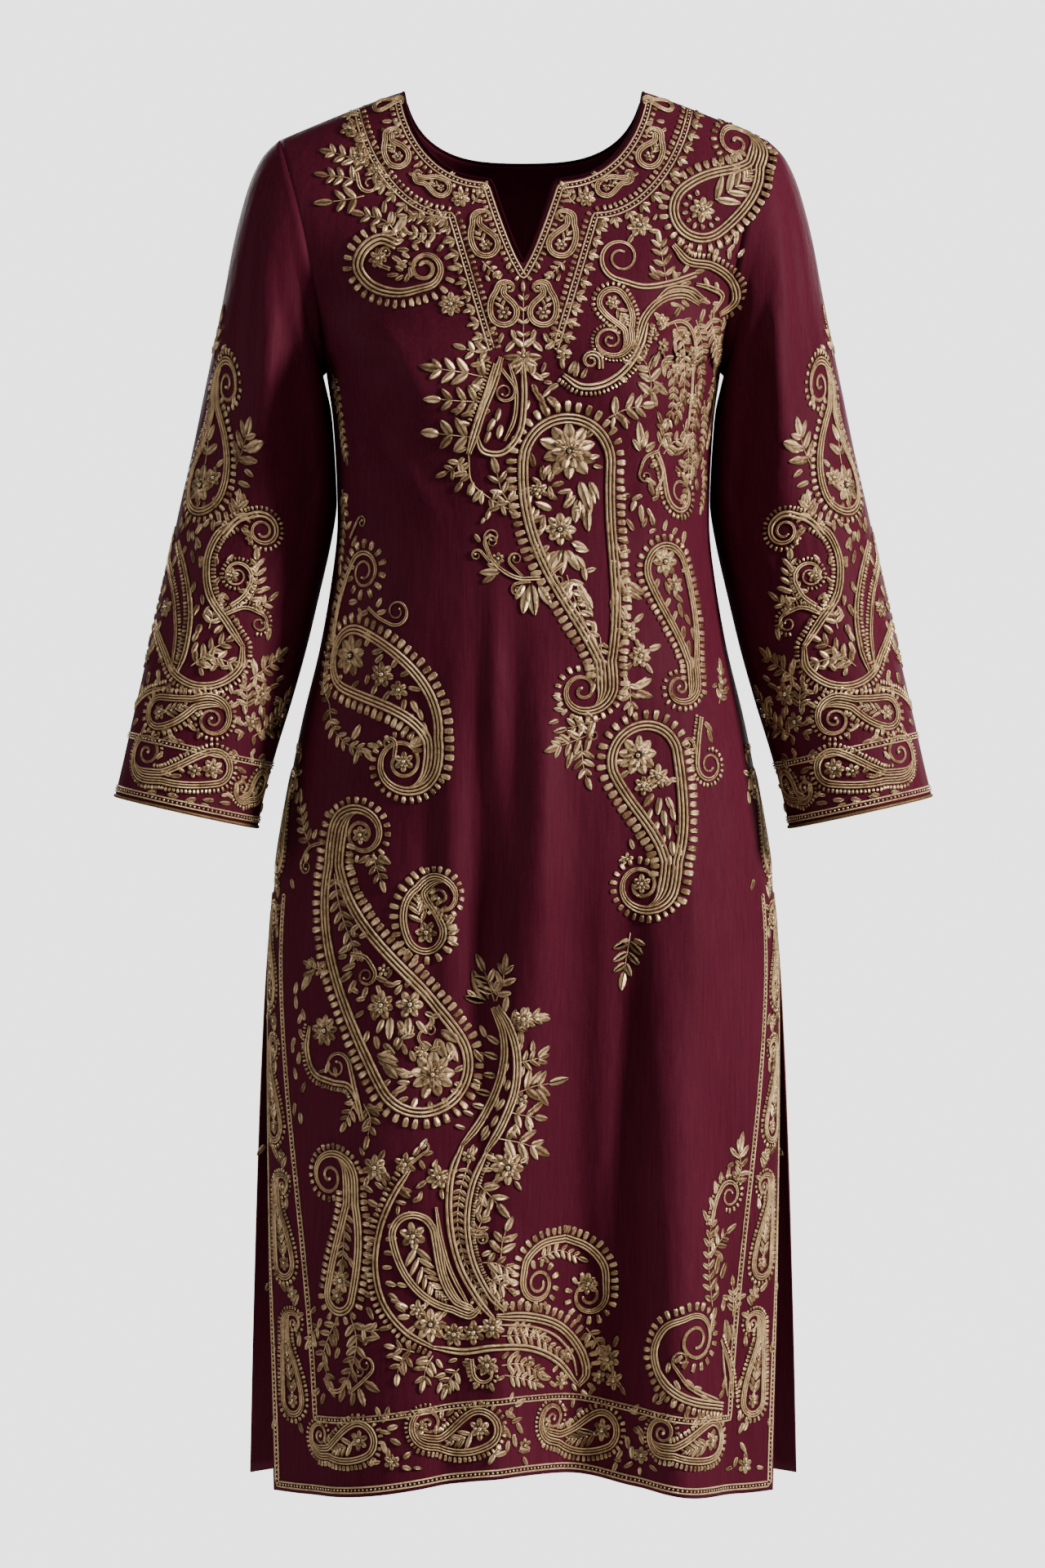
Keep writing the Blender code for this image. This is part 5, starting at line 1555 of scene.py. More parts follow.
WAIST_MOTIFS: tuple[Motif, ...] = (
    Sprig((408, 458, 415, 492, 420, 530, 424, 556), 14, 11), Sprig((420, 600, 423, 630, 420, 660, 418, 690), 14, 11),
    Curl((430, 660, 440, 636), 4, 9, -1.2),
    Leaves((424, 618, 60, 12, 426, 648, 40, 13, 432, 670, 60, 14, 416, 710, 250, 12, 412, 735, 240, 13)),
    Curl((408, 790, 415, 745, 424, 712, 432, 690), 9, 28, -1.75, 13), Curl((452, 744, 464, 756, 478, 764), 5, 19, 1.45),
    Leaves((428, 738, 10, 16, 452, 748, 200, 14, 462, 744, 60, 13, 462, 752, 20, 14, 440, 744, 300, 10)),
    Boteh((433, 808), 38, (531, 934), 25, -46, 42, -1.5, 13, 14, 1.8, True, True), Bloom((430, 803), 25, 9),
    Bloom((468, 826), 16, 7), Bloom((488, 845), 12),
    Leaves((
        448, 792, 60, 14, 456, 800, 20, 15, 460, 812, 40, 14, 452, 826, 250, 14, 462, 838, 240, 13, 480, 818, 50, 14,
        490, 828, 20, 14, 478, 846, 230, 14, 496, 856, 260, 13, 500, 842, 350, 14, 504, 858, 300, 15, 512, 868, 290, 15,
        506, 874, 250, 12, 518, 884, 285, 14, 440, 834, 220, 12, 516, 898, 270, 12, 420, 826, 230, 11, 446, 780, 30, 12,
    )),
    Sprig((404, 862, 408, 890, 424, 910, 442, 918), 14, 12),
    Leaves((432, 906, 60, 17, 440, 918, 250, 16, 446, 918, 310, 16, 450, 912, 350, 16, 398, 850, 120, 14)),
    Sprig((404, 862, 397, 838, 400, 806, 406, 776), 12, 11), Curl((483, 928, 485, 914), 6, 10, 1.3),
    Sprig((380, 1036, 372, 1012, 369, 984), 16, 12), Curl((396, 1032, 380, 1038, 371, 1054), 5, 11, 1.4),
    Leaves((384, 1028, 60, 12, 378, 1044, 250, 12)),
    Boteh((517, 1305), 57, (414, 1018), 12, -30, 36, -1.45, 13, 14.5, 1.6, True, True), Bloom((530, 1316), 27, 9),
    Bloom((530, 1316), 13, 6, 60), Bloom((467, 1231), 17, 7), Bloom((502, 1230), 17, 6, 60), Bloom((516, 1288), 10),
    Bloom((470, 1188), 8, 5), Sprig((410, 1070, 414, 1100, 422, 1130, 434, 1160), 16, 13),
    Leaves((420, 1110, 60, 13, 430, 1140, 30, 13, 434, 1148, 100, 12, 428, 1158, 220, 15, 436, 1166, 250, 14)),
    Curl((430, 1168, 448, 1172, 458, 1186), 6, 14, -1.5),
    Leaves((
        436, 1180, 200, 16, 432, 1190, 220, 18, 436, 1200, 240, 16, 450, 1208, 250, 15, 462, 1206, 300, 13,
        470, 1204, 350, 14, 480, 1206, 20, 12, 484, 1218, 60, 12, 448, 1222, 190, 12, 446, 1238, 220, 12,
        478, 1246, 280, 20, 470, 1248, 250, 16, 488, 1250, 300, 20, 500, 1246, 270, 18, 510, 1250, 310, 16,
        452, 1262, 250, 16, 460, 1268, 280, 16, 470, 1278, 320, 18, 530, 1256, 100, 13, 540, 1262, 330, 26,
        534, 1272, 300, 24, 548, 1276, 290, 22, 500, 1270, 70, 14, 486, 1286, 70, 14, 498, 1292, 110, 13,
        462, 1292, 350, 22, 464, 1298, 335, 22, 470, 1304, 320, 20, 484, 1310, 345, 18, 490, 1318, 10, 16,
        498, 1330, 210, 16, 502, 1326, 180, 14, 548, 1300, 60, 14, 556, 1312, 20, 13, 556, 1326, 340, 12,
        510, 1344, 250, 14, 526, 1348, 270, 13, 542, 1344, 300, 13, 496, 1254, 250, 14, 522, 1262, 60, 14,
        508, 1266, 200, 14, 516, 1276, 330, 14, 488, 1270, 250, 13, 480, 1288, 200, 14, 508, 1300, 120, 14,
        532, 1288, 80, 13, 520, 1300, 100, 13, 478, 1322, 220, 14, 488, 1334, 230, 14, 500, 1344, 200, 13,
        552, 1334, 330, 14, 540, 1282, 200, 13, 460, 1250, 120, 13, 512, 1212, 330, 15, 496, 1210, 60, 13,
        520, 1240, 340, 14, 528, 1246, 20, 13, 440, 1216, 160, 13, 444, 1178, 110, 14, 460, 1196, 340, 15,
        474, 1198, 60, 12, 426, 1170, 190, 13, 440, 1148, 20, 13,
    )),
    Curl((520, 1284, 512, 1270, 520, 1258), 4, 9, -1.2), Sprig((458, 1044, 460, 1058, 467, 1078), 14, 10),
    Leaves((454, 1048, 210, 16, 464, 1048, 330, 16, 456, 1050, 240, 12)),
    Sprig((404, 1190, 388, 1186, 380, 1182), 11, 8),
    Leaves((386, 1190, 200, 16, 382, 1192, 240, 18, 378, 1194, 250, 20, 386, 1180, 130, 9)),
    Boteh((522, 1142), 23, (522, 1083), 26, -52, 27, -1.5, 12, 10, 2.2),
    Leaves((538, 1128, 80, 13, 546, 1134, 50, 14, 548, 1144, 20, 13, 548, 1152, 340, 12, 534, 1122, 110, 10)),
    Bloom((398, 1262), 19, 9), Stem((380, 1256, 377, 1286, 386, 1314, 408, 1325, 428, 1330, 440, 1352), 9, 2, 6, -1),
    Curl((444, 1372, 436, 1336, 429, 1304), 8, 21, 1.25),
    Leaves((404, 1300, 250, 12, 410, 1306, 290, 12, 400, 1310, 200, 10, 374, 1250, 110, 12, 372, 1272, 120, 12)),
    Sprig((438, 1344, 430, 1360, 424, 1374), 14, 10), Sprig((446, 1352, 454, 1370, 451, 1390), 15, 11),
    Leaves((
        450, 1352, 320, 18, 456, 1356, 350, 12, 362, 1218, 80, 14, 364, 1236, 100, 14, 366, 1254, 60, 13,
        362, 1270, 250, 13, 366, 1304, 80, 14, 364, 1322, 110, 13, 370, 1338, 60, 13, 362, 1350, 260, 14,
        368, 1362, 280, 14, 372, 1288, 70, 12, 360, 1290, 100, 12,
    )),
)
SKIRT_MOTIFS: tuple[Motif, ...] = (
    Boteh((416, 1586), 20, (430, 1446), -4, 8, 36, 1.5, 11, 12, 2.3, True), Bloom((418, 1568), 15, 7),
    Bloom((414, 1586), 11), Sprig((424, 1480, 422, 1510, 420, 1545), 14, 11),
    Leaves((428, 1466, 90, 13, 430, 1482, 70, 12, 412, 1540, 240, 12, 428, 1540, 300, 12, 408, 1556, 200, 10)),
    Bloom((459, 1430), 16, 7),
    Leaves((
        464, 1422, 60, 14, 452, 1440, 240, 13, 468, 1440, 300, 12, 446, 1416, 120, 10, 446, 1452, 330, 14,
        450, 1470, 340, 14, 448, 1492, 350, 14, 450, 1516, 350, 14, 448, 1540, 10, 12, 446, 1560, 350, 12,
        444, 1582, 340, 14, 450, 1600, 300, 16, 388, 1600, 220, 12, 394, 1614, 240, 14,
    )),
    Sprig((430, 1612, 437, 1640, 432, 1672, 422, 1700), 18, 14),
    Sprig((414, 1614, 402, 1640, 396, 1666, 404, 1690), 17, 14), Sprig((440, 1622, 450, 1630, 464, 1628), 15, 11),
    Sprig((392, 1622, 384, 1632, 380, 1640), 12, 9), Curl((428, 1706, 442, 1694, 454, 1682), 5, 13, 1.3),
    Curl((428, 1664, 434, 1680), 4, 9, 1.1), Stem((398, 1688, 406, 1702, 418, 1702, 424, 1690), 7),
    Leaves((
        446, 1692, 330, 20, 440, 1700, 290, 20, 434, 1704, 260, 16, 392, 1700, 220, 16, 398, 1706, 250, 14,
        450, 1640, 20, 14, 446, 1648, 60, 12, 416, 1650, 250, 14, 388, 1650, 110, 12, 410, 1632, 280, 15,
    )),
    Sprig((606, 1226, 600, 1206, 594, 1190), 20, 14), Sprig((608, 1226, 616, 1204, 618, 1190), 18, 13),
    Leaves((598, 1224, 130, 28, 594, 1226, 165, 22, 606, 1214, 40, 20, 588, 1214, 110, 24, 584, 1222, 150, 14)),
    Stem((604, 1234, 616, 1262, 618, 1296, 608, 1336, 588, 1374, 566, 1402), 11, 3),
    Stem((610, 1232, 624, 1256, 633, 1290, 631, 1334, 614, 1380, 596, 1410), 11, 3),
    Stem((566, 1402, 552, 1442, 551, 1500, 563, 1550, 586, 1592, 604, 1614), 10),
    Stem((596, 1410, 578, 1452, 572, 1500, 580, 1546, 600, 1586, 618, 1606), 9, 2, 5),
    Sprig((574, 1424, 563, 1462, 561, 1506, 572, 1550, 592, 1588), 10, 9),
    Stem((534, 1478, 540, 1516, 552, 1556, 574, 1598), 6),
    Leaves((
        622, 1300, 250, 12, 624, 1322, 255, 13, 618, 1346, 240, 14, 610, 1366, 235, 14, 600, 1384, 230, 14,
        616, 1330, 80, 12, 606, 1356, 70, 12, 590, 1392, 60, 13, 584, 1404, 240, 14, 576, 1416, 80, 12,
    )),
    Bloom((574, 1416), 9),
    Leaves((
        612, 1278, 155, 16, 611, 1296, 160, 17, 608, 1318, 165, 16, 602, 1340, 170, 16, 594, 1356, 175, 15,
        596, 1270, 120, 14, 592, 1300, 130, 16, 590, 1330, 140, 14, 580, 1366, 160, 12, 570, 1382, 165, 12,
    )),
    Sprig((622, 1258, 640, 1249, 654, 1246), 17, 12), Bloom((641, 1248), 13, 7),
    Leaves((654, 1246, 355, 18, 636, 1262, 280, 12, 618, 1240, 80, 16, 636, 1282, 85, 18, 634, 1288, 60, 12)),
    Sprig((634, 1302, 650, 1298, 658, 1296), 14, 9), Leaves((658, 1294, 40, 18, 658, 1300, 350, 14, 652, 1290, 90, 14)),
    Sprig((634, 1338, 654, 1330, 672, 1327), 22, 16),
    Leaves((656, 1334, 310, 20, 650, 1328, 50, 18, 636, 1320, 70, 14)),
    Sprig((624, 1362, 642, 1366, 654, 1368), 17, 12),
    Leaves((644, 1370, 290, 16, 650, 1362, 40, 18, 630, 1376, 290, 14, 622, 1384, 320, 14)), Bloom((638, 1346), 9),
    Sprig((610, 1394, 636, 1399, 654, 1405), 22, 16),
    Leaves((640, 1404, 290, 20, 640, 1394, 30, 18, 618, 1404, 300, 14)), Bloom((622, 1430), 20, 8),
    Leaves((610, 1422, 150, 16, 636, 1424, 30, 12, 612, 1442, 220, 13, 630, 1446, 300, 12, 604, 1432, 180, 12)),
    Sprig((586, 1450, 600, 1464, 609, 1474), 19, 13), Leaves((592, 1452, 10, 14, 588, 1462, 300, 16)),
    Sprig((579, 1522, 586, 1504, 592, 1492), 14, 10), Curl((578, 1506, 590, 1508), 4, 9, -1.4),
    Leaves((582, 1490, 60, 14, 580, 1478, 50, 12, 588, 1494, 20, 12)), Sprig((613, 1544, 615, 1522, 619, 1508), 18, 13),
    Leaves((610, 1530, 120, 12, 622, 1520, 40, 12)), Sprig((590, 1546, 608, 1547, 620, 1553), 15, 11),
    Sprig((596, 1564, 610, 1572, 622, 1578), 16, 11),
    Leaves((602, 1556, 300, 16, 614, 1560, 320, 16, 620, 1568, 350, 14, 604, 1578, 300, 16, 590, 1538, 30, 13)),
    Curl((500, 1428, 514, 1416, 522, 1410), 4, 8, 1.2), Bloom((496, 1426), 13),
    Leaves((506, 1416, 60, 13, 514, 1408, 60, 14, 518, 1414, 20, 12)), Bloom((537, 1442), 15, 7),
    Leaves((
        520, 1432, 110, 12, 530, 1430, 70, 11, 522, 1446, 220, 13, 550, 1436, 20, 10, 540, 1456, 280, 11,
        486, 1452, 320, 20, 478, 1446, 130, 14, 470, 1456, 140, 12, 492, 1456, 350, 12, 505, 1472, 30, 13,
        498, 1474, 170, 12, 512, 1470, 60, 10, 488, 1476, 260, 10,
    )),
    Stem((502, 1432, 482, 1464, 466, 1504, 460, 1552, 470, 1596, 496, 1630, 530, 1650), 9, 2, 9, -1),
    Stem((530, 1650, 566, 1655, 610, 1650, 652, 1652, 684, 1668, 706, 1694), 10),
    Leaves((
        474, 1502, 10, 13, 472, 1518, 5, 13, 470, 1534, 0, 13, 468, 1552, 0, 12, 472, 1570, 340, 13, 476, 1584, 330, 13,
        484, 1598, 320, 13, 486, 1572, 350, 12, 478, 1592, 350, 10,
    )),
    Boteh((506, 1514), 26, (574, 1606), -26, 36, 14, 0.75, 0, 10, 1.9),
    Stem((500, 1484, 524, 1492, 538, 1520, 546, 1562, 566, 1596, 590, 1608), 6), Bloom((527, 1622), 20, 8),
    Bloom((556, 1634), 14, 7), Bloom((580, 1632), 14), Bloom((603, 1626), 14, 7), Bloom((512, 1604), 11),
    Leaves((500, 1602, 160, 14, 502, 1612, 190, 14, 508, 1624, 220, 14, 520, 1602, 70, 12, 538, 1614, 40, 12)),
    Stem((608, 1612, 650, 1613, 686, 1625, 710, 1652, 718, 1682, 707, 1697), 13, 3, 13),
    Stem((608, 1622, 648, 1624, 680, 1636, 700, 1660, 706, 1684), 5, 1),
    Sprig((614, 1636, 640, 1636, 662, 1642, 684, 1656), 13, 11), Sprig((622, 1626, 644, 1628, 664, 1636), 10, 9),
    Bloom((694, 1658), 11), Sprig((718, 1626, 732, 1644, 740, 1660), 13, 10), Bloom((745, 1664), 16, 7),
    Bloom((752, 1690), 12), Bloom((734, 1686), 9),
    Leaves((740, 1650, 110, 13, 752, 1650, 70, 14, 760, 1696, 300, 12, 728, 1696, 240, 12, 726, 1672, 200, 9)),
    Curl((692, 1516, 664, 1523, 645, 1542, 640, 1566), 11, 25, 1.6, 11, 3),
    Curl((692, 1516, 722, 1528, 740, 1550, 743, 1582), 11, 25, -1.5, 11, 3),
    Sprig((658, 1542, 684, 1531, 708, 1540), 12, 10), Bloom((720, 1572), 13, 8),
    Sprig((508, 1656, 494, 1652, 484, 1650), 13, 9), Sprig((500, 1660, 490, 1670, 487, 1682), 14, 10),
    Sprig((530, 1660, 522, 1674, 519, 1688), 15, 10), Sprig((562, 1676, 552, 1688, 547, 1698), 14, 9),
    Leaves((
        524, 1662, 200, 13, 534, 1664, 300, 13, 498, 1662, 300, 13, 484, 1658, 200, 11, 546, 1682, 200, 12,
        540, 1692, 250, 12, 556, 1690, 300, 12, 566, 1668, 330, 18, 572, 1676, 300, 16, 560, 1664, 190, 10,
    )),
    Curl((578, 1664, 580, 1680), 6, 15, 1.1, 5), Bloom((597, 1672), 13, 7),
    Leaves((608, 1690, 30, 10, 600, 1694, 300, 10, 586, 1692, 240, 10, 614, 1664, 40, 11)),
    Sprig((614, 1672, 636, 1670, 660, 1680), 13, 10), Sprig((618, 1684, 640, 1688, 656, 1694), 12, 9),
    Bloom((687, 1690), 11), Bloom((648, 1668), 8),
    Leaves((660, 1686, 350, 16, 672, 1692, 330, 12, 700, 1694, 300, 10, 676, 1680, 40, 10, 626, 1662, 30, 12)),
    Sprig((872, 1600, 868, 1556, 868, 1520, 872, 1494), 15, 13),
    Curl((870, 1500, 876, 1470, 882, 1456), 8, 20, -1.35, 6),
    Leaves((872, 1480, 110, 15, 876, 1462, 100, 15, 882, 1448, 90, 14, 890, 1442, 70, 12, 866, 1496, 120, 14)),
    Sprig((900, 1454, 907, 1432, 905, 1410), 14, 10),
    Leaves((905, 1412, 85, 20, 902, 1416, 130, 14, 908, 1416, 50, 14, 898, 1424, 200, 11, 910, 1436, 350, 12)),
    Sprig((870, 1540, 880, 1522, 889, 1510), 15, 11),
    Leaves((880, 1534, 300, 14, 876, 1560, 80, 20, 882, 1566, 70, 18, 874, 1514, 60, 12)),
    Sprig((897, 1612, 898, 1592, 897, 1576), 14, 10),
    Leaves((
        892, 1590, 160, 12, 903, 1590, 20, 12, 876, 1600, 250, 18, 872, 1614, 270, 14, 888, 1616, 280, 26,
        894, 1622, 290, 22, 884, 1606, 80, 16, 878, 1584, 110, 14,
    )),
    Stem((882, 1640, 892, 1672, 897, 1712), 7, 2, 6), Stem((884, 1652, 886, 1680, 890, 1710), 5, 1),
    Leaves((884, 1700, 60, 13, 880, 1712, 40, 12, 888, 1690, 240, 12, 904, 1700, 80, 12)),
    Curl((884, 1722, 842, 1714, 812, 1690, 802, 1656, 815, 1626, 842, 1614), 12, 33, -1.6, 11, 3),
    Curl((878, 1716, 846, 1700, 826, 1674), 8, 13, -0.95),
    Leaves((
        838, 1690, 330, 14, 848, 1700, 345, 14, 826, 1690, 300, 12, 820, 1668, 260, 12, 858, 1710, 350, 12,
        816, 1706, 230, 12, 806, 1706, 240, 12, 826, 1712, 260, 10, 812, 1716, 200, 9,
    )),
)
HEM_MOTIFS: tuple[Motif, ...] = (
    Boteh((440, 1764), 21, (396, 1778), 8, -20, 22, -1.5, 7, 9.5, 1.9),
    Boteh((588, 1750), 22, (524, 1766), 18, -22, 24, -1.5, 7, 10),
    Boteh((738, 1751), 22, (674, 1759), 18, -22, 24, -1.5, 7, 10),
    Boteh((871, 1764), 22, (813, 1777), 18, -22, 24, -1.5, 7, 10),
    Leaves((
        468, 1742, 60, 13, 474, 1750, 20, 13, 466, 1736, 110, 12, 478, 1762, 330, 14, 468, 1764, 290, 14,
        472, 1738, 70, 14, 484, 1734, 20, 13, 464, 1752, 350, 13, 474, 1772, 280, 13, 458, 1784, 250, 12,
        618, 1728, 330, 15, 632, 1742, 300, 15, 616, 1744, 280, 13, 612, 1768, 250, 13, 606, 1780, 240, 12,
        770, 1726, 340, 14, 780, 1746, 310, 14, 768, 1758, 280, 13, 762, 1776, 240, 12, 756, 1790, 250, 12,
    )),
    Bloom((516, 1748), 9), Bloom((668, 1744), 9), Bloom((480, 1790), 10),
    Leaves((
        466, 1790, 190, 12, 492, 1796, 350, 12, 474, 1780, 110, 10, 494, 1786, 40, 12, 506, 1797, 355, 10,
        540, 1738, 80, 12, 534, 1732, 130, 10, 546, 1734, 40, 11, 534, 1744, 260, 10, 620, 1736, 60, 13,
        626, 1742, 20, 14, 618, 1748, 300, 13, 630, 1722, 30, 14, 624, 1716, 70, 10, 628, 1756, 290, 14,
        622, 1764, 260, 13, 634, 1776, 350, 14, 620, 1778, 200, 13, 640, 1784, 300, 11,
    )),
    Bloom((642, 1770), 9),
    Leaves((
        700, 1724, 80, 12, 694, 1728, 140, 10, 706, 1730, 40, 10, 698, 1736, 260, 12, 776, 1730, 60, 12,
        782, 1738, 20, 12, 776, 1748, 320, 12, 784, 1756, 290, 12, 774, 1770, 270, 14,
    )),
    Bloom((786, 1782), 11),
    Leaves((
        776, 1790, 210, 12, 784, 1796, 270, 10, 796, 1794, 330, 10, 762, 1788, 180, 10, 848, 1748, 60, 13,
        842, 1742, 110, 11, 852, 1738, 30, 11, 846, 1756, 250, 11, 904, 1740, 80, 12, 910, 1752, 60, 13,
        906, 1766, 300, 13, 912, 1778, 280, 13, 902, 1784, 250, 12,
    )),
    Bloom((912, 1794), 11), Leaves((896, 1796, 190, 11, 926, 1796, 350, 11, 918, 1740, 110, 12)),
)
SLEEVE_MOTIFS: tuple[Motif, ...] = (
    Boteh((250, 590), 34, (264, 484), -14, 8, 30, -1.5, 9, 11, 1.7, True), Bloom((246, 594), 21, 8),
    Bloom((262, 585), 12), Sprig((252, 568, 255, 545, 256, 520), 20, 15),
    Leaves((262, 608, 300, 12, 246, 612, 250, 12, 234, 600, 200, 11, 266, 572, 50, 12, 240, 574, 130, 12)),
    Sprig((262, 438, 266, 418, 270, 398), 14, 11), Leaves((258, 430, 150, 12, 272, 430, 40, 11, 288, 484, 270, 12)),
    Sprig((288, 572, 297, 552, 302, 534), 20, 14),
    Leaves((
        302, 552, 40, 26, 298, 562, 10, 18, 292, 590, 350, 14, 288, 602, 340, 14, 284, 614, 320, 15, 276, 626, 300, 13,
        262, 636, 280, 12, 246, 640, 270, 12, 232, 634, 250, 12, 300, 575, 340, 13,
    )),
    Curl((274, 656, 290, 638, 312, 630), 10, 23, -1.7, 6), Sprig((286, 640, 291, 628, 292, 618), 17, 11),
    Leaves((300, 622, 110, 15, 282, 650, 140, 14, 296, 646, 330, 15, 304, 654, 300, 14, 270, 640, 120, 13)),
    Stem((286, 640, 266, 656, 254, 688, 257, 728, 278, 762, 297, 792), 11, 3, 7),
    Stem((297, 792, 293, 818, 268, 837, 238, 839, 214, 824, 202, 796, 192, 760), 11, 3, 7),
    Stem((220, 662, 228, 700, 234, 748, 228, 796, 217, 824), 8, 2, 7, -1),
    Stem((206, 672, 212, 720, 216, 770, 212, 812), 6, 2, 6), Curl((282, 742, 298, 730, 306, 716), 6, 21, 1.5, 5),
    Bloom((283, 705), 10), Sprig((304, 742, 314, 716, 314, 686), 15, 11), Sprig((306, 744, 320, 742, 328, 736), 14, 10),
    Curl((276, 752, 300, 744, 320, 752), 6, 13, -1.2, 5),
    Leaves((324, 760, 300, 14, 330, 768, 270, 14, 310, 700, 60, 12, 318, 722, 20, 13, 288, 756, 300, 12)),
    Sprig((234, 816, 256, 798, 276, 786), 17, 12), Sprig((240, 812, 262, 806, 284, 812), 15, 11),
    Sprig((256, 770, 262, 750, 268, 738), 14, 10),
    Leaves((
        244, 740, 250, 15, 246, 764, 260, 15, 242, 786, 250, 14, 262, 776, 60, 13, 240, 712, 255, 13, 238, 690, 120, 14,
        246, 672, 130, 14, 232, 664, 110, 13, 240, 654, 60, 14, 222, 648, 110, 14,
    )),
    Sprig((214, 644, 206, 682, 198, 726, 186, 778), 15, 13), Bloom((204, 744), 13, 7), Bloom((182, 802), 12),
    Leaves((
        198, 760, 250, 14, 190, 780, 260, 14, 184, 822, 270, 14, 176, 838, 260, 13, 206, 700, 130, 12,
        178, 812, 200, 12, 194, 820, 300, 15, 204, 838, 320, 14, 190, 842, 280, 13, 170, 856, 250, 12,
    )),
    Boteh((196, 872), 19, (252, 858), -10, -6, 27, -1.6, 8, 10, 1.6), Stem((166, 868, 180, 850, 204, 842), 8, 2, 6),
    Leaves((
        170, 880, 220, 13, 178, 890, 250, 12, 206, 892, 300, 12, 230, 886, 320, 12, 288, 880, 330, 13,
        286, 894, 350, 13, 282, 866, 40, 13, 290, 852, 60, 13, 244, 896, 270, 9,
    )),
    Bloom((320, 850), 15, 7), Bloom((344, 876), 14, 7), Bloom((308, 884), 12),
    Sprig((306, 832, 328, 816, 340, 806), 17, 12), Sprig((302, 872, 302, 850, 300, 838), 14, 10),
    Sprig((310, 902, 334, 882, 350, 856), 16, 12),
    Leaves((330, 842, 30, 14, 336, 854, 350, 14, 322, 866, 280, 14, 330, 896, 330, 13, 352, 850, 70, 12)),
    Boteh((262, 940), 20, (180, 950), 6, -14, 32, -1.45, 6, 10, 1.5, True), Bloom((260, 941), 13, 7),
    Bloom((238, 944), 9),
    Leaves((
        226, 946, 160, 12, 222, 950, 190, 12, 210, 950, 175, 13, 200, 906, 20, 13, 206, 900, 340, 12, 198, 898, 60, 11,
        214, 906, 350, 12, 284, 918, 320, 13, 288, 958, 300, 12, 290, 940, 350, 14,
    )),
    Boteh((318, 960), 15, (300, 978), 10, -20, 16, -1.2, 6, 8),
    Leaves((
        316, 930, 40, 12, 308, 936, 110, 11, 328, 944, 350, 12, 330, 984, 300, 12, 240, 978, 200, 12, 262, 980, 190, 12,
        282, 984, 185, 12, 270, 974, 20, 10, 216, 974, 190, 12, 192, 970, 190, 11, 226, 640, 250, 12, 236, 650, 300, 12,
        214, 656, 240, 12, 250, 646, 60, 12, 242, 662, 280, 12, 229, 668, 250, 12, 217, 680, 250, 13, 246, 680, 290, 12,
        252, 628, 120, 12, 262, 644, 30, 11, 245, 696, 80, 13, 240, 716, 250, 12, 248, 728, 290, 12, 238, 746, 250, 13,
        250, 754, 70, 12, 214, 696, 240, 13, 204, 716, 250, 14, 198, 736, 250, 13, 192, 764, 250, 13, 236, 786, 70, 13,
        190, 788, 240, 12, 200, 802, 250, 12, 208, 812, 300, 12, 194, 832, 250, 12, 208, 836, 280, 12, 296, 820, 70, 13,
        310, 820, 110, 12, 301, 833, 250, 12, 320, 814, 60, 13, 333, 808, 40, 13, 297, 846, 200, 12, 310, 842, 80, 12,
        338, 834, 40, 13, 290, 862, 220, 12, 297, 864, 300, 11, 322, 836, 120, 12, 334, 862, 20, 12, 294, 878, 230, 12,
        318, 876, 100, 12, 331, 886, 300, 12, 322, 894, 270, 12, 310, 900, 280, 12, 297, 896, 250, 12,
        340, 894, 330, 12, 284, 850, 110, 11, 306, 926, 70, 11, 318, 934, 30, 11, 298, 950, 260, 11, 334, 962, 340, 11,
        300, 968, 260, 11, 228, 980, 350, 11, 246, 984, 350, 11, 206, 976, 10, 11, 276, 970, 330, 11, 192, 930, 60, 12,
        262, 716, 60, 11, 270, 726, 330, 12, 266, 692, 110, 12, 278, 688, 60, 11, 292, 724, 20, 12, 258, 822, 60, 11,
        270, 818, 20, 11, 248, 828, 110, 11, 222, 838, 300, 12, 236, 846, 350, 12,
    )),
)


# ------------------------------------------------------------------ pieces
@dataclass
class Cloth:
    """The four pieces of cloth, as thin shells."""

    thickness: float = CLOTH

    def shell(self, name: str, ground: Ground, material: bpy.types.Material) -> bpy.types.Object:
        """Makes a piece of cloth from its outer face.

        Args:
            name: The object's name.
            ground: The piece of cloth.
            material: Its material.

        Returns:
            The new object, with its wall as a modifier.
        """
        points = ground.mesh_points()
        rows, wide = points.shape[0] - 1, points.shape[1] - 1
        bm = bmesh.new()
        bmesh.ops.create_grid(bm, x_segments=wide, y_segments=rows, size=1)
        for vert in bm.verts:
            vert.co = points[round((vert.co.y + 1) / 2 * rows), round((vert.co.x + 1) / 2 * wide)]
        bmesh.ops.remove_doubles(bm, verts=bm.verts, dist=1e-6)
        bm.normal_update()
        side = ground.facing if isinstance(ground, Panel) else -1
        middle = max(bm.faces, key=lambda face: self._prominence(face.calc_center_median(), side))
        if side * middle.normal.y < 0:
            bmesh.ops.reverse_faces(bm, faces=bm.faces)
        obj = formed(name, bm, material)
        obj.data.shade_smooth()
        wall = obj.modifiers.new("wall", "SOLIDIFY")
        wall.thickness, wall.offset, wall.use_even_offset = self.thickness, -1, False
        return obj

    def _prominence(self, at: Vector, side: int, height: float = -0.3) -> float:
        """How far a place stands out on its own side, less its distance from a height."""
        return -abs(at.z - height) + side * at.y


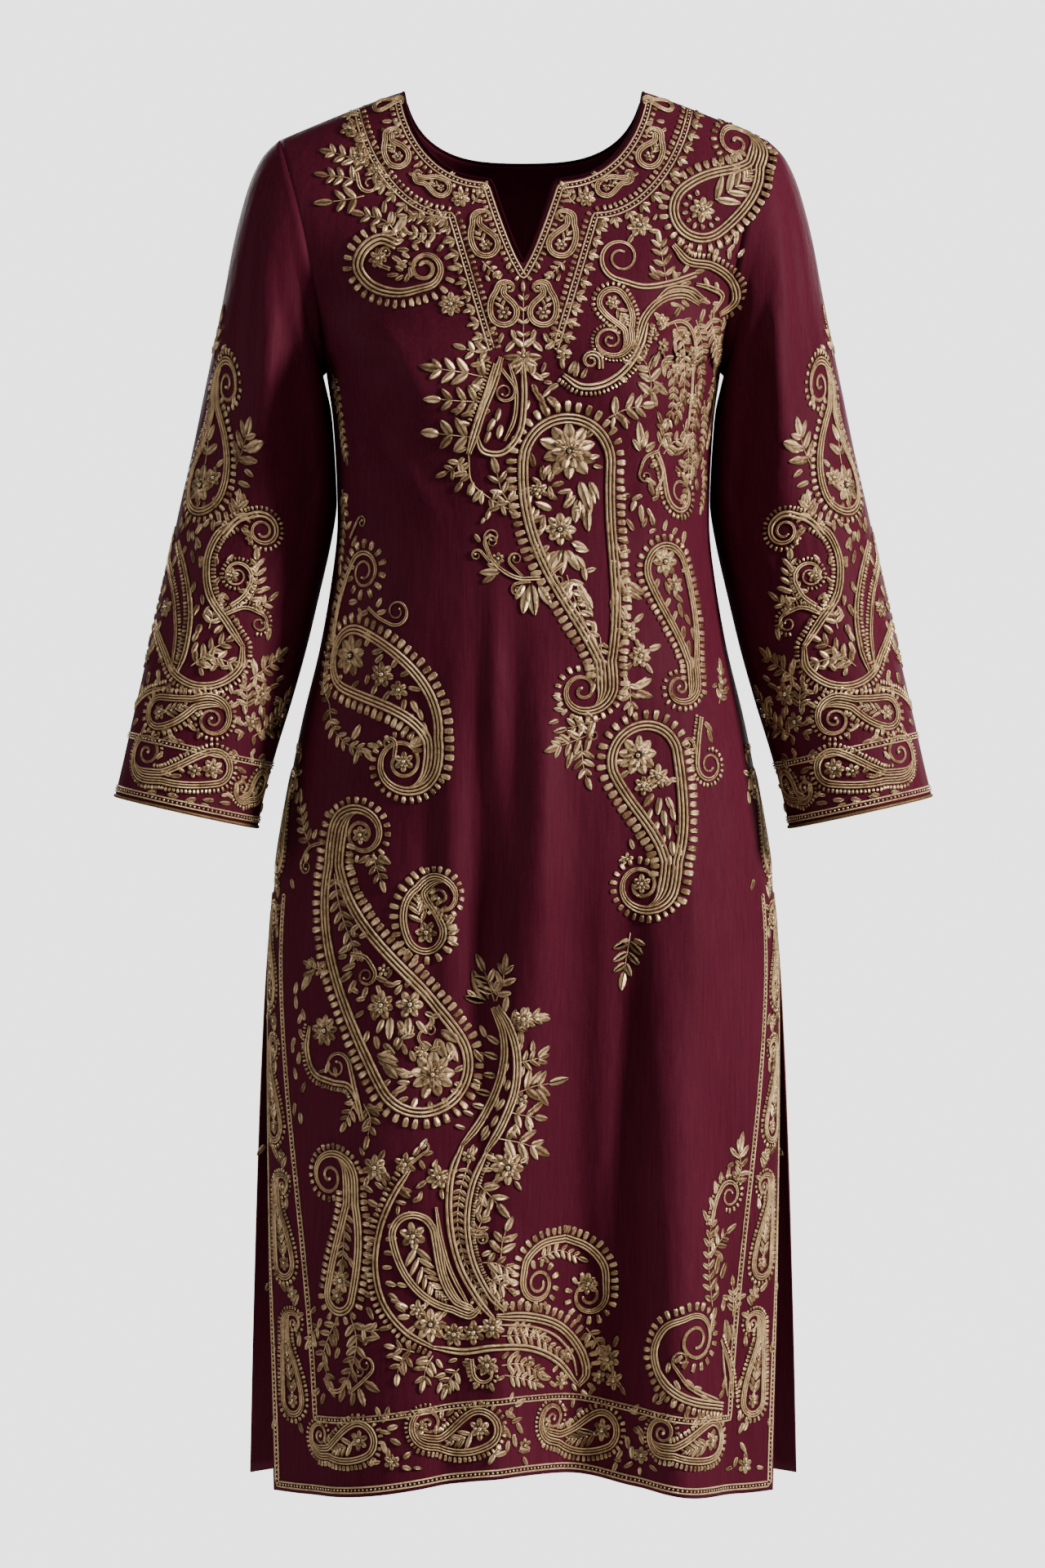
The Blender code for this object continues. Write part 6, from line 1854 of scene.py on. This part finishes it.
def tube(name: str, path: Array, radius: float, material: bpy.types.Material) -> bpy.types.Object:
    """A round cord along a closed path in space.

    Args:
        name: The object's name.
        path: The points that it follows.
        radius: Its radius.
        material: Its material.

    Returns:
        The new object.
    """
    sides, count = 8, len(path)
    along = np.roll(path, -1, axis=0) - np.roll(path, 1, axis=0)
    along /= np.linalg.norm(along, axis=1, keepdims=True)
    first = np.cross(along, path - path.mean(axis=0))
    first /= np.linalg.norm(first, axis=1, keepdims=True)
    second = np.cross(along, first)
    angle = np.linspace(0, 2 * math.pi, sides, endpoint=False)
    ring = np.cos(angle)[None, :, None] * first[:, None] + np.sin(angle)[None, :, None] * second[:, None]
    points = (path[:, None] + radius * ring).reshape(-1, 3)
    faces = []
    for i in range(count):
        here, after = i * sides, (i + 1) % count * sides
        for k in range(sides):
            beside = (k + 1) % sides
            faces.append([here + k, here + beside, after + beside, after + k])
    mesh = bpy.data.meshes.new(name)
    mesh.from_pydata(points.tolist(), [], faces)
    bm = bmesh.new()
    bm.from_mesh(mesh)
    bmesh.ops.recalc_face_normals(bm, faces=bm.faces)
    bm.to_mesh(mesh)
    bm.free()
    coil = np.repeat(runs(path) * THREAD_UNIT, sides) + np.tile(angle, count) * 0.25
    measured(mesh, np.stack([coil, np.ones(len(coil)), np.full(len(coil), 0.5)], axis=-1))
    mesh.materials.append(material)
    return placed(name, mesh)


@dataclass
class Trim:
    """The lines of gold along the garment's edges, and the bands between them.

    Attributes:
        edge_gap: How far the first line lies from the cloth's edge.
        band_corner: Where the neck band's outer line turns from the notch to the neck's curve, as x and z.
        band_foot: Where that line ends beside the notch.
        band_bow: The exponent of its curve round the neck.
        tooth: The length and width of the teeth along the neck's edge.
        outer_tooth: The same inside the neck band's outer line.
        tooth_pitch: The distance between two teeth.
        bud: The length of the buds outside that line.
        bud_pitch: The distance between two buds.
    """

    edge_gap: float = 0.0052
    band_corner: Place = (0.0535, -0.1045)
    band_foot: Place = (0.0235, -0.208)
    band_bow: float = 1.16
    tooth: Place = (0.004, 0.003)
    outer_tooth: Place = (0.0042, 0.003)
    tooth_pitch: float = 0.0048
    bud: float = 0.0094
    bud_pitch: float = 0.0108

    def neck_edge(self, panel: Panel, inset: float) -> Array:
        """A flat line along the neck's edge, a distance outside it.

        Args:
            panel: The front or the back.
            inset: The distance.

        Returns:
            The line's points.
        """
        front = panel.side is Side.FRONT
        steep = np.linspace(0, NOTCH_HALF, 14)[:-1] if front else np.array([0.0])
        x = np.concatenate([steep, mix(steep[-1], NECK_HALF, np.sin(np.linspace(0.02, math.pi / 2, 44)))])
        half = np.stack([x, panel.neck_edge(x)], axis=-1)
        line = evenly(np.vstack([half[:0:-1] * (-1, 1), half]), 0.003)
        line = line - left_of(line) * inset
        line = line[(line[:, 1] < shoulder_height(line[:, 0]) - 0.002)]
        if front:
            line = line[np.abs(line[:, 0]) > max(1.25 * inset, 0.001)]
            line = np.insert(line, int(np.argmax(line[:, 0] > 0)), (0.0, NOTCH_FOOT - 2.2 * inset), axis=0)
        line = evenly(panel.to_flat(line[:, 0], line[:, 1]), 0.0022)
        for _ in range(2):
            line[1:-1] = (line[:-2] + 2 * line[1:-1] + line[2:]) / 4
        return line

    def neck_outer(self, panel: Panel) -> list[Array]:
        """The flat lines of the neck band's outer edge.

        Args:
            panel: The front or the back.

        Returns:
            One line on the back, two on the front.
        """
        angle = np.linspace(0, math.pi / 2, 40)
        reach = NECK_HALF + NECK_BAND
        if panel.side is Side.BACK:
            drop = BACK_NECK_DROP + NECK_BAND
            half = np.stack([reach * np.sin(angle), -drop * (1 - np.sin(angle) ** 3.2) ** 0.6], axis=-1)
            lines = [np.vstack([half[:0:-1] * (-1, 1), half])]
        else:
            corner_x, corner_z = self.band_corner
            arc = np.stack([mix(corner_x, reach, np.sin(angle)), corner_z * np.cos(angle) ** self.band_bow], axis=-1)
            half = np.vstack([[self.band_foot], arc])
            lines = [half[::-1] * (-1, 1), half]
        kept = []
        for line in lines:
            line = evenly(line, 0.0022)
            line = line[line[:, 1] < shoulder_height(line[:, 0]) - 0.004]
            kept.append(panel.to_flat(line[:, 0], line[:, 1]))
        return kept

    def border(self, panel: Panel, inset: float, rise: float = 0.0) -> Array:
        """A flat line down one slit, along the hem and up the other slit, raised by a little along the hem.

        Args:
            panel: The front or the back.
            inset: How far it lies from the edge.
            rise: By how much it is raised.

        Returns:
            The line's points.
        """
        halves = []
        for side in (-1, 1):
            corner = float(panel.slit_edge(np.array([HEM + inset + 0.002]), side)[0]) - inset
            a = side * np.linspace(0, corner, 60)
            share = panel.spot(a, np.full(60, HEM + 0.02))[:, 0]
            hem = np.stack([a, panel.hem(share) + inset + rise], axis=-1)
            z = np.linspace(hem[-1, 1], SLIT_TOP, 60)[1:]
            slit = np.stack([side * (panel.slit_edge(z, side) - inset), z], axis=-1)
            halves.append(np.vstack([hem, slit]))
        return evenly(np.vstack([halves[0][:0:-1], halves[1]]), 0.004)


# ------------------------------------------------------------------ finishes
Tint = tuple[float, float, float]


class Signal:
    """A socket with arithmetic: an expression adds its Math nodes."""

    def __init__(self, bench: Bench, socket: bpy.types.NodeSocket) -> None:
        """Wraps a socket of the bench's material."""
        self.bench = bench
        self.socket = socket

    def _math(self, operation: str, *terms: Signal | float) -> Signal:
        """Adds a Math node on these terms."""
        return self.bench.node("ShaderNodeMath", {"operation": operation}, dict(enumerate(terms)))

    def __add__(self, other: Signal | float) -> Signal:
        """self + other."""
        return self._math("ADD", self, other)

    __radd__ = __add__

    def __mul__(self, other: Signal | float) -> Signal:
        """self * other."""
        return self._math("MULTIPLY", self, other)

    __rmul__ = __mul__

    def __sub__(self, other: Signal | float) -> Signal:
        """self - other."""
        return self._math("SUBTRACT", self, other)

    def __rsub__(self, other: float) -> Signal:
        """other - self."""
        return self._math("SUBTRACT", other, self)

    def wave(self, length: float) -> Signal:
        """0 to 1 and back over each length."""
        return self._math("SINE", self * (2 * math.pi / length)) * 0.5 + 0.5

    def rise(self, low: float, high: float) -> Signal:
        """0 below low and 1 above high, softly."""
        settings = {"interpolation_type": "SMOOTHSTEP"}
        return self.bench.node("ShaderNodeMapRange", settings, {"Value": self, "From Min": low, "From Max": high})


class Bench:
    """Builds one material's nodes."""

    def __init__(self, name: str) -> None:
        """Starts a material with a plain shader."""
        self.material = bpy.data.materials.new(name)
        self.material.use_nodes = True
        self.tree = self.material.node_tree
        self.shader = self.tree.nodes["Principled BSDF"]

    def node(
        self, kind: str, settings: dict[str, object], inputs: dict[str | int, object], out: str | int = 0
    ) -> Signal:
        """Adds a node.

        Args:
            kind: Its type.
            settings: Its properties, set first.
            inputs: Values or signals of its sockets, by name or number.
            out: The socket that is wanted.

        Returns:
            That socket as a signal.
        """
        node = self.tree.nodes.new(kind)
        for key, value in settings.items():
            setattr(node, key, value)
        for key, value in inputs.items():
            self.feed(node.inputs[key], value)
        return Signal(self, node.outputs[out])

    def feed(self, socket: bpy.types.NodeSocket, value: object) -> None:
        """Links a signal to a socket, or sets its value.

        Args:
            socket: The socket.
            value: A signal, a number, or a colour as three numbers.
        """
        if isinstance(value, Signal):
            self.tree.links.new(value.socket, socket)
        elif isinstance(value, tuple) and len(value) == 3 and socket.type == "RGBA":
            socket.default_value = (*value, 1)
        else:
            socket.default_value = value

    def place(self) -> Signal:
        """The object's own coordinates."""
        return self.node("ShaderNodeTexCoord", {}, {}, "Object")

    def thread(self) -> Signal:
        """The thread measures: millimetres across the threads, and 0 at a rim to 1 at a crown."""
        return self.node("ShaderNodeAttribute", {"attribute_name": "thread"}, {}, "Vector")

    def part(self, vector: Signal, axis: str) -> Signal:
        """One axis of a vector."""
        return self.node("ShaderNodeSeparateXYZ", {}, {0: vector}, axis)

    def noise(self, where: Signal, scale: float, detail: float = 2.0, along_z: float = 1.0) -> Signal:
        """Soft noise from 0 to 1, drawn out upwards where along_z is below 1.

        Args:
            where: The coordinates.
            scale: How fine it is.
            detail: How many octaves it has.
            along_z: Its fineness upwards, as a share of the rest.

        Returns:
            The noise.
        """
        if along_z != 1:
            stretch = (1, 1, along_z)
            where = self.node("ShaderNodeVectorMath", {"operation": "MULTIPLY"}, {0: where, 1: stretch})
        settings = {"noise_dimensions": "3D"}
        return self.node("ShaderNodeTexNoise", settings, {"Vector": where, "Scale": scale, "Detail": detail})

    def blend(self, share: Signal, low: Signal | Tint, high: Signal | Tint) -> Signal:
        """A colour at a share of the way from low to high."""
        return self.node("ShaderNodeMix", {"data_type": "RGBA"}, {0: share, 6: low, 7: high}, 2)

    def bump(self, height: Signal, strength: float, distance: float) -> None:
        """Feeds a height to the shader's normal."""
        normal = self.node("ShaderNodeBump", {}, {"Height": height, "Strength": strength, "Distance": distance})
        self.feed(self.shader.inputs["Normal"], normal)

    def dress(self, **sockets: object) -> bpy.types.Material:
        """Feeds the shader's sockets, named with _ for a space, and gives the material."""
        for key, value in sockets.items():
            self.feed(self.shader.inputs[key.replace("_", " ")], value)
        return self.material


@dataclass(frozen=True)
class Satin:
    """Burgundy cotton satin with slubs, a fine twill and soft crumples."""

    dark: Tint = (0.052, 0.0052, 0.0126)
    light: Tint = (0.089, 0.0122, 0.0256)
    roughness: float = 0.52

    def material(self, name: str) -> bpy.types.Material:
        """The cloth's material.

        Args:
            name: The material's name.

        Returns:
            The material.
        """
        bench = Bench(name)
        place = bench.place()
        broad = bench.noise(place, 7.0, along_z=0.6)
        slub = bench.noise(place, 620.0, along_z=0.05)
        fine = bench.noise(place, 1500.0, 1.0)
        shade = broad * 0.4 + slub * 0.28 + fine * 0.32
        tint = bench.blend(shade.rise(0.3, 0.72), self.dark, self.light)
        crumple = bench.noise(place, 24.0, 3.0, 0.6)
        ripple = bench.noise(place, 70.0, along_z=0.3)
        drape = bench.noise(place, 44.0, along_z=0.1)
        twill = (bench.part(place, "Z") + bench.part(place, "X") * 0.8).wave(0.0011)
        bench.bump(crumple + drape * 0.55 + ripple * 0.3 + twill * 0.014 + slub * 0.025, 0.66, 0.0035)
        return bench.dress(
            Base_Color=tint,
            Roughness=slub * 0.16 + (self.roughness - 0.08),
            Specular_IOR_Level=0.04,
            Specular_Tint=(0.95, 0.45, 0.56),
        )


@dataclass(frozen=True)
class GoldThread:
    """Couched metal thread: antique gold in fine coils, with painted shade at the rims and grooves of the work and
    between the coils.
    """

    # The darkest tint is painted shade for the rims, the grooves and the gaps between coils.
    painted_shade: Tint = (0.036, 0.014, 0.006)
    mid: Tint = (0.282, 0.15, 0.066)
    light: Tint = (1.0, 0.69, 0.372)
    pitch: float = 0.8
    metallic: float = 0.62

    def material(self, name: str) -> bpy.types.Material:
        """The threads' material.

        Args:
            name: The material's name.

        Returns:
            The material.
        """
        bench = Bench(name)
        place, thread = bench.place(), bench.thread()
        coil = bench.part(thread, "X").wave(self.pitch)
        # Painted shade: the colour darkens towards its darkest tint where the work is low, at its rims and grooves, and
        # between the coils.
        rim = bench.part(thread, "Y").rise(0.12, 0.86)
        worn, patch = bench.noise(place, 330.0), bench.noise(place, 90.0)
        shine = worn * 0.6 + patch * 0.5 + coil * 0.25 + bench.part(thread, "Z") * 0.42
        bright = bench.blend(shine.rise(0.64, 1.16), self.mid, self.light)
        tint = bench.blend(rim * (coil * 0.45 + 0.55), self.painted_shade, bright)
        bench.bump(coil * 0.7 + worn * 0.8, 0.8, 0.00034)
        return bench.dress(Base_Color=tint, Metallic=self.metallic, Roughness=worn * 0.2 + 0.22)


@dataclass(frozen=True)
class GoldBead:
    """Small metal beads and sequins."""

    tint: Tint = (0.92, 0.74, 0.46)
    roughness: float = 0.22

    def material(self, name: str) -> bpy.types.Material:
        """The beads' material."""
        bench = Bench(name)
        patch = bench.noise(bench.place(), 500.0, 1.0)
        tint = bench.blend(patch.rise(0.3, 0.7), tuple(0.55 * value for value in self.tint), self.tint)
        return bench.dress(Base_Color=tint, Metallic=0.85, Roughness=patch * 0.2 + (self.roughness - 0.06))


@dataclass(frozen=True)
class Corded:
    """Thread wound or woven round an edge."""

    low: Tint
    high: Tint
    metallic: float
    roughness: float

    def material(self, name: str) -> bpy.types.Material:
        """The edging's material.

        Args:
            name: The material's name.

        Returns:
            The material.
        """
        bench = Bench(name)
        coil = bench.part(bench.thread(), "X").wave(0.8)
        worn = bench.noise(bench.place(), 300.0)
        tint = bench.blend((coil * 0.5 + worn * 0.6).rise(0.25, 0.85), self.low, self.high)
        bench.bump(coil, 0.5, 0.0002)
        return bench.dress(
            Base_Color=tint,
            Metallic=self.metallic,
            Roughness=worn * 0.2 + self.roughness,
            Specular_IOR_Level=0.2,
            Specular_Tint=self.high,
        )


# ------------------------------------------------------------------ the studio
@dataclass
class Studio:
    """Camera, soft lights and a pale floor."""

    lens: float = 96.0
    shift: float = -1 / 1920
    floor_height: float = -1.42
    floor_radius: float = 1.35
    backdrop: float = 2.75
    ambient: float = 0.1

    def camera(self) -> None:
        """Places the camera at the height of the garment's middle."""
        data = bpy.data.cameras.new("camera")
        data.sensor_fit, data.sensor_height = "VERTICAL", 36.0
        data.lens, data.shift_x = self.lens, self.shift
        camera = placed("camera", data)
        camera.location = (0.0, -EYE, EYE_HEIGHT)
        camera.rotation_euler = (math.pi / 2, 0.0, 0.0)
        bpy.context.scene.camera = camera

    def floor(self) -> None:
        """Lays a round pale floor well below the hem."""
        bm = bmesh.new()
        bmesh.ops.create_circle(bm, cap_ends=True, segments=96, radius=self.floor_radius)
        bmesh.ops.translate(bm, verts=bm.verts, vec=(0, 0, self.floor_height))
        bench = Bench("floor")
        tint = bench.blend(bench.noise(bench.place(), 3.0), (0.7,) * 3, (0.74,) * 3)
        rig.stage(formed("floor", bm, bench.dress(Base_Color=tint, Roughness=0.8)))

    def lamp(self, name: str, at: Point, size: float, power: float, tint: Tint) -> None:
        """Hangs a square soft light that looks at the garment's middle.

        Args:
            name: Its name.
            at: Where it hangs.
            size: Its side.
            power: Its watts.
            tint: Its colour.
        """
        data = bpy.data.lights.new(name, "AREA")
        data.shape, data.size, data.energy, data.color = "SQUARE", size, power, tint
        light = placed(name, data)
        light.location = at
        light.rotation_euler = (Vector((0, 0, EYE_HEIGHT)) - Vector(at)).to_track_quat("-Z", "Y").to_euler()

    def surroundings(self) -> None:
        """Makes the pale surroundings, which light the garment less than they show."""
        world = bpy.data.worlds.new("surroundings")
        world.use_nodes = True
        nodes, links = world.node_tree.nodes, world.node_tree.links
        ray, strength = nodes.new("ShaderNodeLightPath"), nodes.new("ShaderNodeMix")
        links.new(ray.outputs["Is Camera Ray"], strength.inputs[0])
        strength.inputs[2].default_value, strength.inputs[3].default_value = self.ambient, self.backdrop
        links.new(strength.outputs[0], nodes["Background"].inputs["Strength"])
        nodes["Background"].inputs["Color"].default_value = (1, 1, 1, 1)
        bpy.context.scene.world = world

    def build(self) -> None:
        """Sets it all up."""
        self.camera()
        self.floor()
        self.surroundings()
        self.lamp("key", (3.1, -1.5, 0.8), 0.6, 228.0, (1.0, 0.98, 0.95))
        self.lamp("top", (0.3, -1.9, 2.1), 0.7, 22.0, (1.0, 0.99, 0.97))
        self.lamp("fill", (-3.0, -0.9, 0.6), 0.8, 28.0, (0.97, 0.98, 1.0))
        self.lamp("back_left", (-1.2, 2.8, 0.9), 1.3, 36.0, (1.0, 1.0, 1.0))
        self.lamp("back_right", (1.6, 2.7, 0.4), 1.3, 20.0, (1.0, 1.0, 1.0))


@dataclass
class SlitBand:
    """The row of paisleys up both side slits, with flowers and leaves between them.

    Attributes:
        foot: The lowest paisley's height.
        pitch: The distance between two.
        count: How many there are on a side.
        rise: A paisley's length.
        inset: How far its foot lies from the slit's edge.
        leaves: Each leaf's direction in degrees, how far it lies towards the slit from the band's middle, how
            far above the paisley's foot, and its length.
    """

    foot: float = -0.986
    pitch: float = 0.101
    count: int = 5
    rise: float = 0.056
    inset: float = 0.0268
    leaves: tuple[tuple[float, float, float, float], ...] = (
        (60, 0.01, 0.07, 0.0085), (20, 0.012, 0.062, 0.008), (100, 0.013, 0.05, 0.008),
        (80, 0.0145, 0.04, 0.008), (300, 0.0135, -0.016, 0.008), (240, -0.0135, -0.016, 0.008),
        (140, 0.002, 0.08, 0.0085), (110, -0.014, 0.033, 0.008),
    )

    def work(self, work: Embroidery, panel: Panel) -> None:
        """Works it on a panel.

        Args:
            work: The panel's embroidery.
            panel: The front or the back.
        """
        for side in (-1, 1):
            for n in range(self.count):
                foot = self.foot + n * self.pitch
                u = np.linspace(0, 1, 30)
                z = foot + self.rise * u
                a = side * (panel.slit_edge(z, side) - self.inset + 0.006 * np.sin(math.pi * u * 0.8) * u)
                drop = Boteh((0, 0), 17.5, (0, 0), 0, 0, 17, side * 1.35, 6.5, 9.0, 1.7)
                drop.work(work, np.stack([a, z], axis=-1))
                centre = side * (float(panel.slit_edge(np.array(foot + 0.078), side)) - BORDER / 2)
                work.flower(np.array((centre - side * 0.009, foot + 0.079)), 0.0058, 6)
                for degrees, away, up, length in self.leaves:
                    turn = degrees if side < 0 else 180 - degrees
                    work.leaf(np.array((centre - side * away, foot + up)), turn, length)


@dataclass
class Kurta:
    """The whole garment: its cloth, its bindings and the gold work on it.

    Attributes:
        front: The front panel.
        back: The back panel.
        right: The sleeve on the wearer's right.
        left: The sleeve on the wearer's left.
        binding: The radius of the cord that binds the neck.
        piping: The radius of the cords round the cuffs.
        trim: The lines along the edges.
        metal: The materials of the threads and the beads.
        pieces: The finished pieces.
    """

    front: Panel
    back: Panel
    right: Sleeve
    left: Sleeve
    binding: float = 0.0014
    piping: float = 0.0013
    trim: Trim = field(default_factory=Trim)
    metal: tuple[bpy.types.Material, ...] = ()
    pieces: list[bpy.types.Object] = field(default_factory=list)

    def keep(self, obj: bpy.types.Object, slot: str, nodes: Sequence[str]) -> bpy.types.Object:
        """Ties a piece to the model's body.

        Args:
            obj: The piece.
            slot: The material slot that it takes its finish from.
            nodes: The model's nodes that it stands for.

        Returns:
            The piece.
        """
        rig.ride(obj, "root")
        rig.slot(obj, slot)
        if nodes:
            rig.replaces(obj, *nodes)
        self.pieces.append(obj)
        LOG.info("%s: %d faces", obj.name, len(obj.data.polygons))
        return obj

    def dress(self) -> None:
        """Builds every piece."""
        satin = Satin().material("satin")
        self.metal = (GoldThread().material("gold_thread"), GoldBead().material("gold_bead"))
        dark = Corded((0.01, 0.001, 0.0025), (0.03, 0.003, 0.007), 0.0, 0.75).material("binding")
        bronze = Corded((0.06, 0.026, 0.012), (0.3, 0.18, 0.08), 0.6, 0.34).material("piping")
        self.hang(satin)
        self.bind(dark, bronze)
        for panel in (self.front, self.back):
            self.edge(panel)
        works = (
            ("chest", (*SHOULDER_MOTIFS, *CHEST_MOTIFS), ("bust", "chest", "side", "thigh")),
            ("waist", WAIST_MOTIFS, ("hip", "knee")),
            ("skirt", (*SKIRT_MOTIFS, *HEM_MOTIFS), ("hem",)),
        )
        for name, motifs, paisleys in works:
            self.embroider(f"work_{name}", Embroidery(self.front), motifs, [f"paisley_{each}" for each in paisleys])
        for side, sleeve in (("right", self.right), ("left", self.left)):
            self.cuff(side, sleeve)

    def hang(self, satin: bpy.types.Material) -> None:
        """Makes the four pieces of cloth.

        Args:
            satin: Their material.
        """
        body, arm = ((0.56, 1.08), 0.455), ((0.43, 0.56), 0.16)
        for name, ground, (flat, area) in (
            ("front", self.front, body),
            ("back", self.back, body),
            ("sleeve_right", self.right, arm),
            ("sleeve_left", self.left, arm),
        ):
            obj = self.keep(Cloth().shell(f"cloth_{name}", ground, satin), "cloth", (name,))
            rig.sheet(obj, flat=flat, held="hung", area=area)

    def bind(self, dark: bpy.types.Material, bronze: bpy.types.Material) -> None:
        """Binds the neck and pipes the cuffs.

        Args:
            dark: The binding's material.
            bronze: The piping's material.
        """
        neck = [panel.spot(*self.trim.neck_edge(panel, 0.0).T) for panel in (self.front, self.back)]
        loop = np.vstack([neck[0], neck[1][::-1]])
        self.keep(tube("neck_binding", loop, self.binding, dark), "binding", ("neck_binding",))
        turn = np.linspace(-math.pi, math.pi, 97)[:-1]
        for side, sleeve in (("right", self.right), ("left", self.left)):
            name, path = f"cuff_piping_{side}", sleeve.point(turn, np.full(96, LAST_RING)) + (0, 0, -0.0004)
            self.keep(tube(name, path, self.piping, bronze), "piping", (name,))

    def embroider(self, name: str, work: Embroidery, motifs: Iterable[Motif], nodes: Sequence[str]) -> None:
        """Works motifs in order and keeps the finished work.

        Args:
            name: The piece's name.
            work: The work, with what is already on it.
            motifs: The motifs.
            nodes: The model's nodes that the piece stands for.
        """
        for motif in motifs:
            motif.work(work)
        self.keep(work.piece(name, *self.metal), "gold_thread", nodes)

    def edge(self, panel: Panel) -> None:
        """Works the band round the neck and the one along slits and hem.

        Args:
            panel: The front or the back.
        """
        front, side = panel.side is Side.FRONT, panel.side.value
        trim, work = self.trim, Embroidery(panel)
        line = trim.neck_edge(panel, trim.edge_gap)
        work.border(line)
        work.fringe(line[3:-3], trim.tooth, trim.tooth_pitch, -1, 0.0032)
        for line in trim.neck_outer(panel):
            work.border(line)
            work.lotus_fringe(line, trim.bud, trim.bud_pitch, -1, 0.0034)
            work.fringe(line, trim.outer_tooth, trim.tooth_pitch, 1, 0.0034)
        both = [each for motif in NECK_MOTIFS for each in (motif, mirrored(motif))]
        ends = ("inner_front", "outer_left", "outer_right") if front else ("inner_back", "outer_back")
        self.embroider(
            f"neck_band_{side}", work, (*NECK_CENTRE, *both) if front else (), [f"neck_braid_{end}" for end in ends]
        )
        work = Embroidery(panel)
        work.border(trim.border(panel, trim.edge_gap))
        work.border(trim.border(panel, BORDER, 0.0065))
        if front:
            SlitBand().work(work, panel)
        self.embroider(f"border_{side}", work, (), ("border_braid_inner", "border_braid_outer") if front else ())

    def cuff(self, side: str, sleeve: Sleeve) -> None:
        """Works a sleeve's cuff lines and its motifs.

        Args:
            side: The wearer's side, right or left.
            sleeve: The sleeve.
        """
        work, count = Embroidery(sleeve), 160
        for up in (0.0052, CUFF_BAND):
            half = math.pi * float(sleeve.radius(sleeve.ring_at(up)))
            work.border(np.stack([np.linspace(-half, half, count), np.full(count, up)], axis=-1))
        names = ("cuff_braid_lower", "cuff_braid_upper", "paisley_arm", "paisley_cuff")
        self.embroider(f"sleeve_work_{side}", work, SLEEVE_MOTIFS, [f"{name}_{side}" for name in names])


def main() -> None:
    """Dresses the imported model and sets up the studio."""
    logging.basicConfig(level=logging.INFO, format="%(name)s %(message)s")
    cad = [list(corner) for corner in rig.bounds()]
    kurta = Kurta(
        front=Panel(Side.FRONT, FRONT_FOLDS, 0.0225, 0.052, (2.3, 0.56), 56, (140, 36)),
        back=Panel(Side.BACK, BACK_FOLDS, 0.012, 0.034, (3.2, 0.6), 40, (104, 26)),
        right=Sleeve(-1),
        left=Sleeve(1),
    )
    kurta.dress()
    Studio().build()
    bpy.context.view_layer.update()
    LOG.info("%d pieces", len(kurta.pieces))
    with open("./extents.json", "w", encoding="utf-8") as out:
        json.dump({"cad": cad, "visual": [list(corner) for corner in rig.bounds()]}, out)


if __name__ == "__main__":
    main()
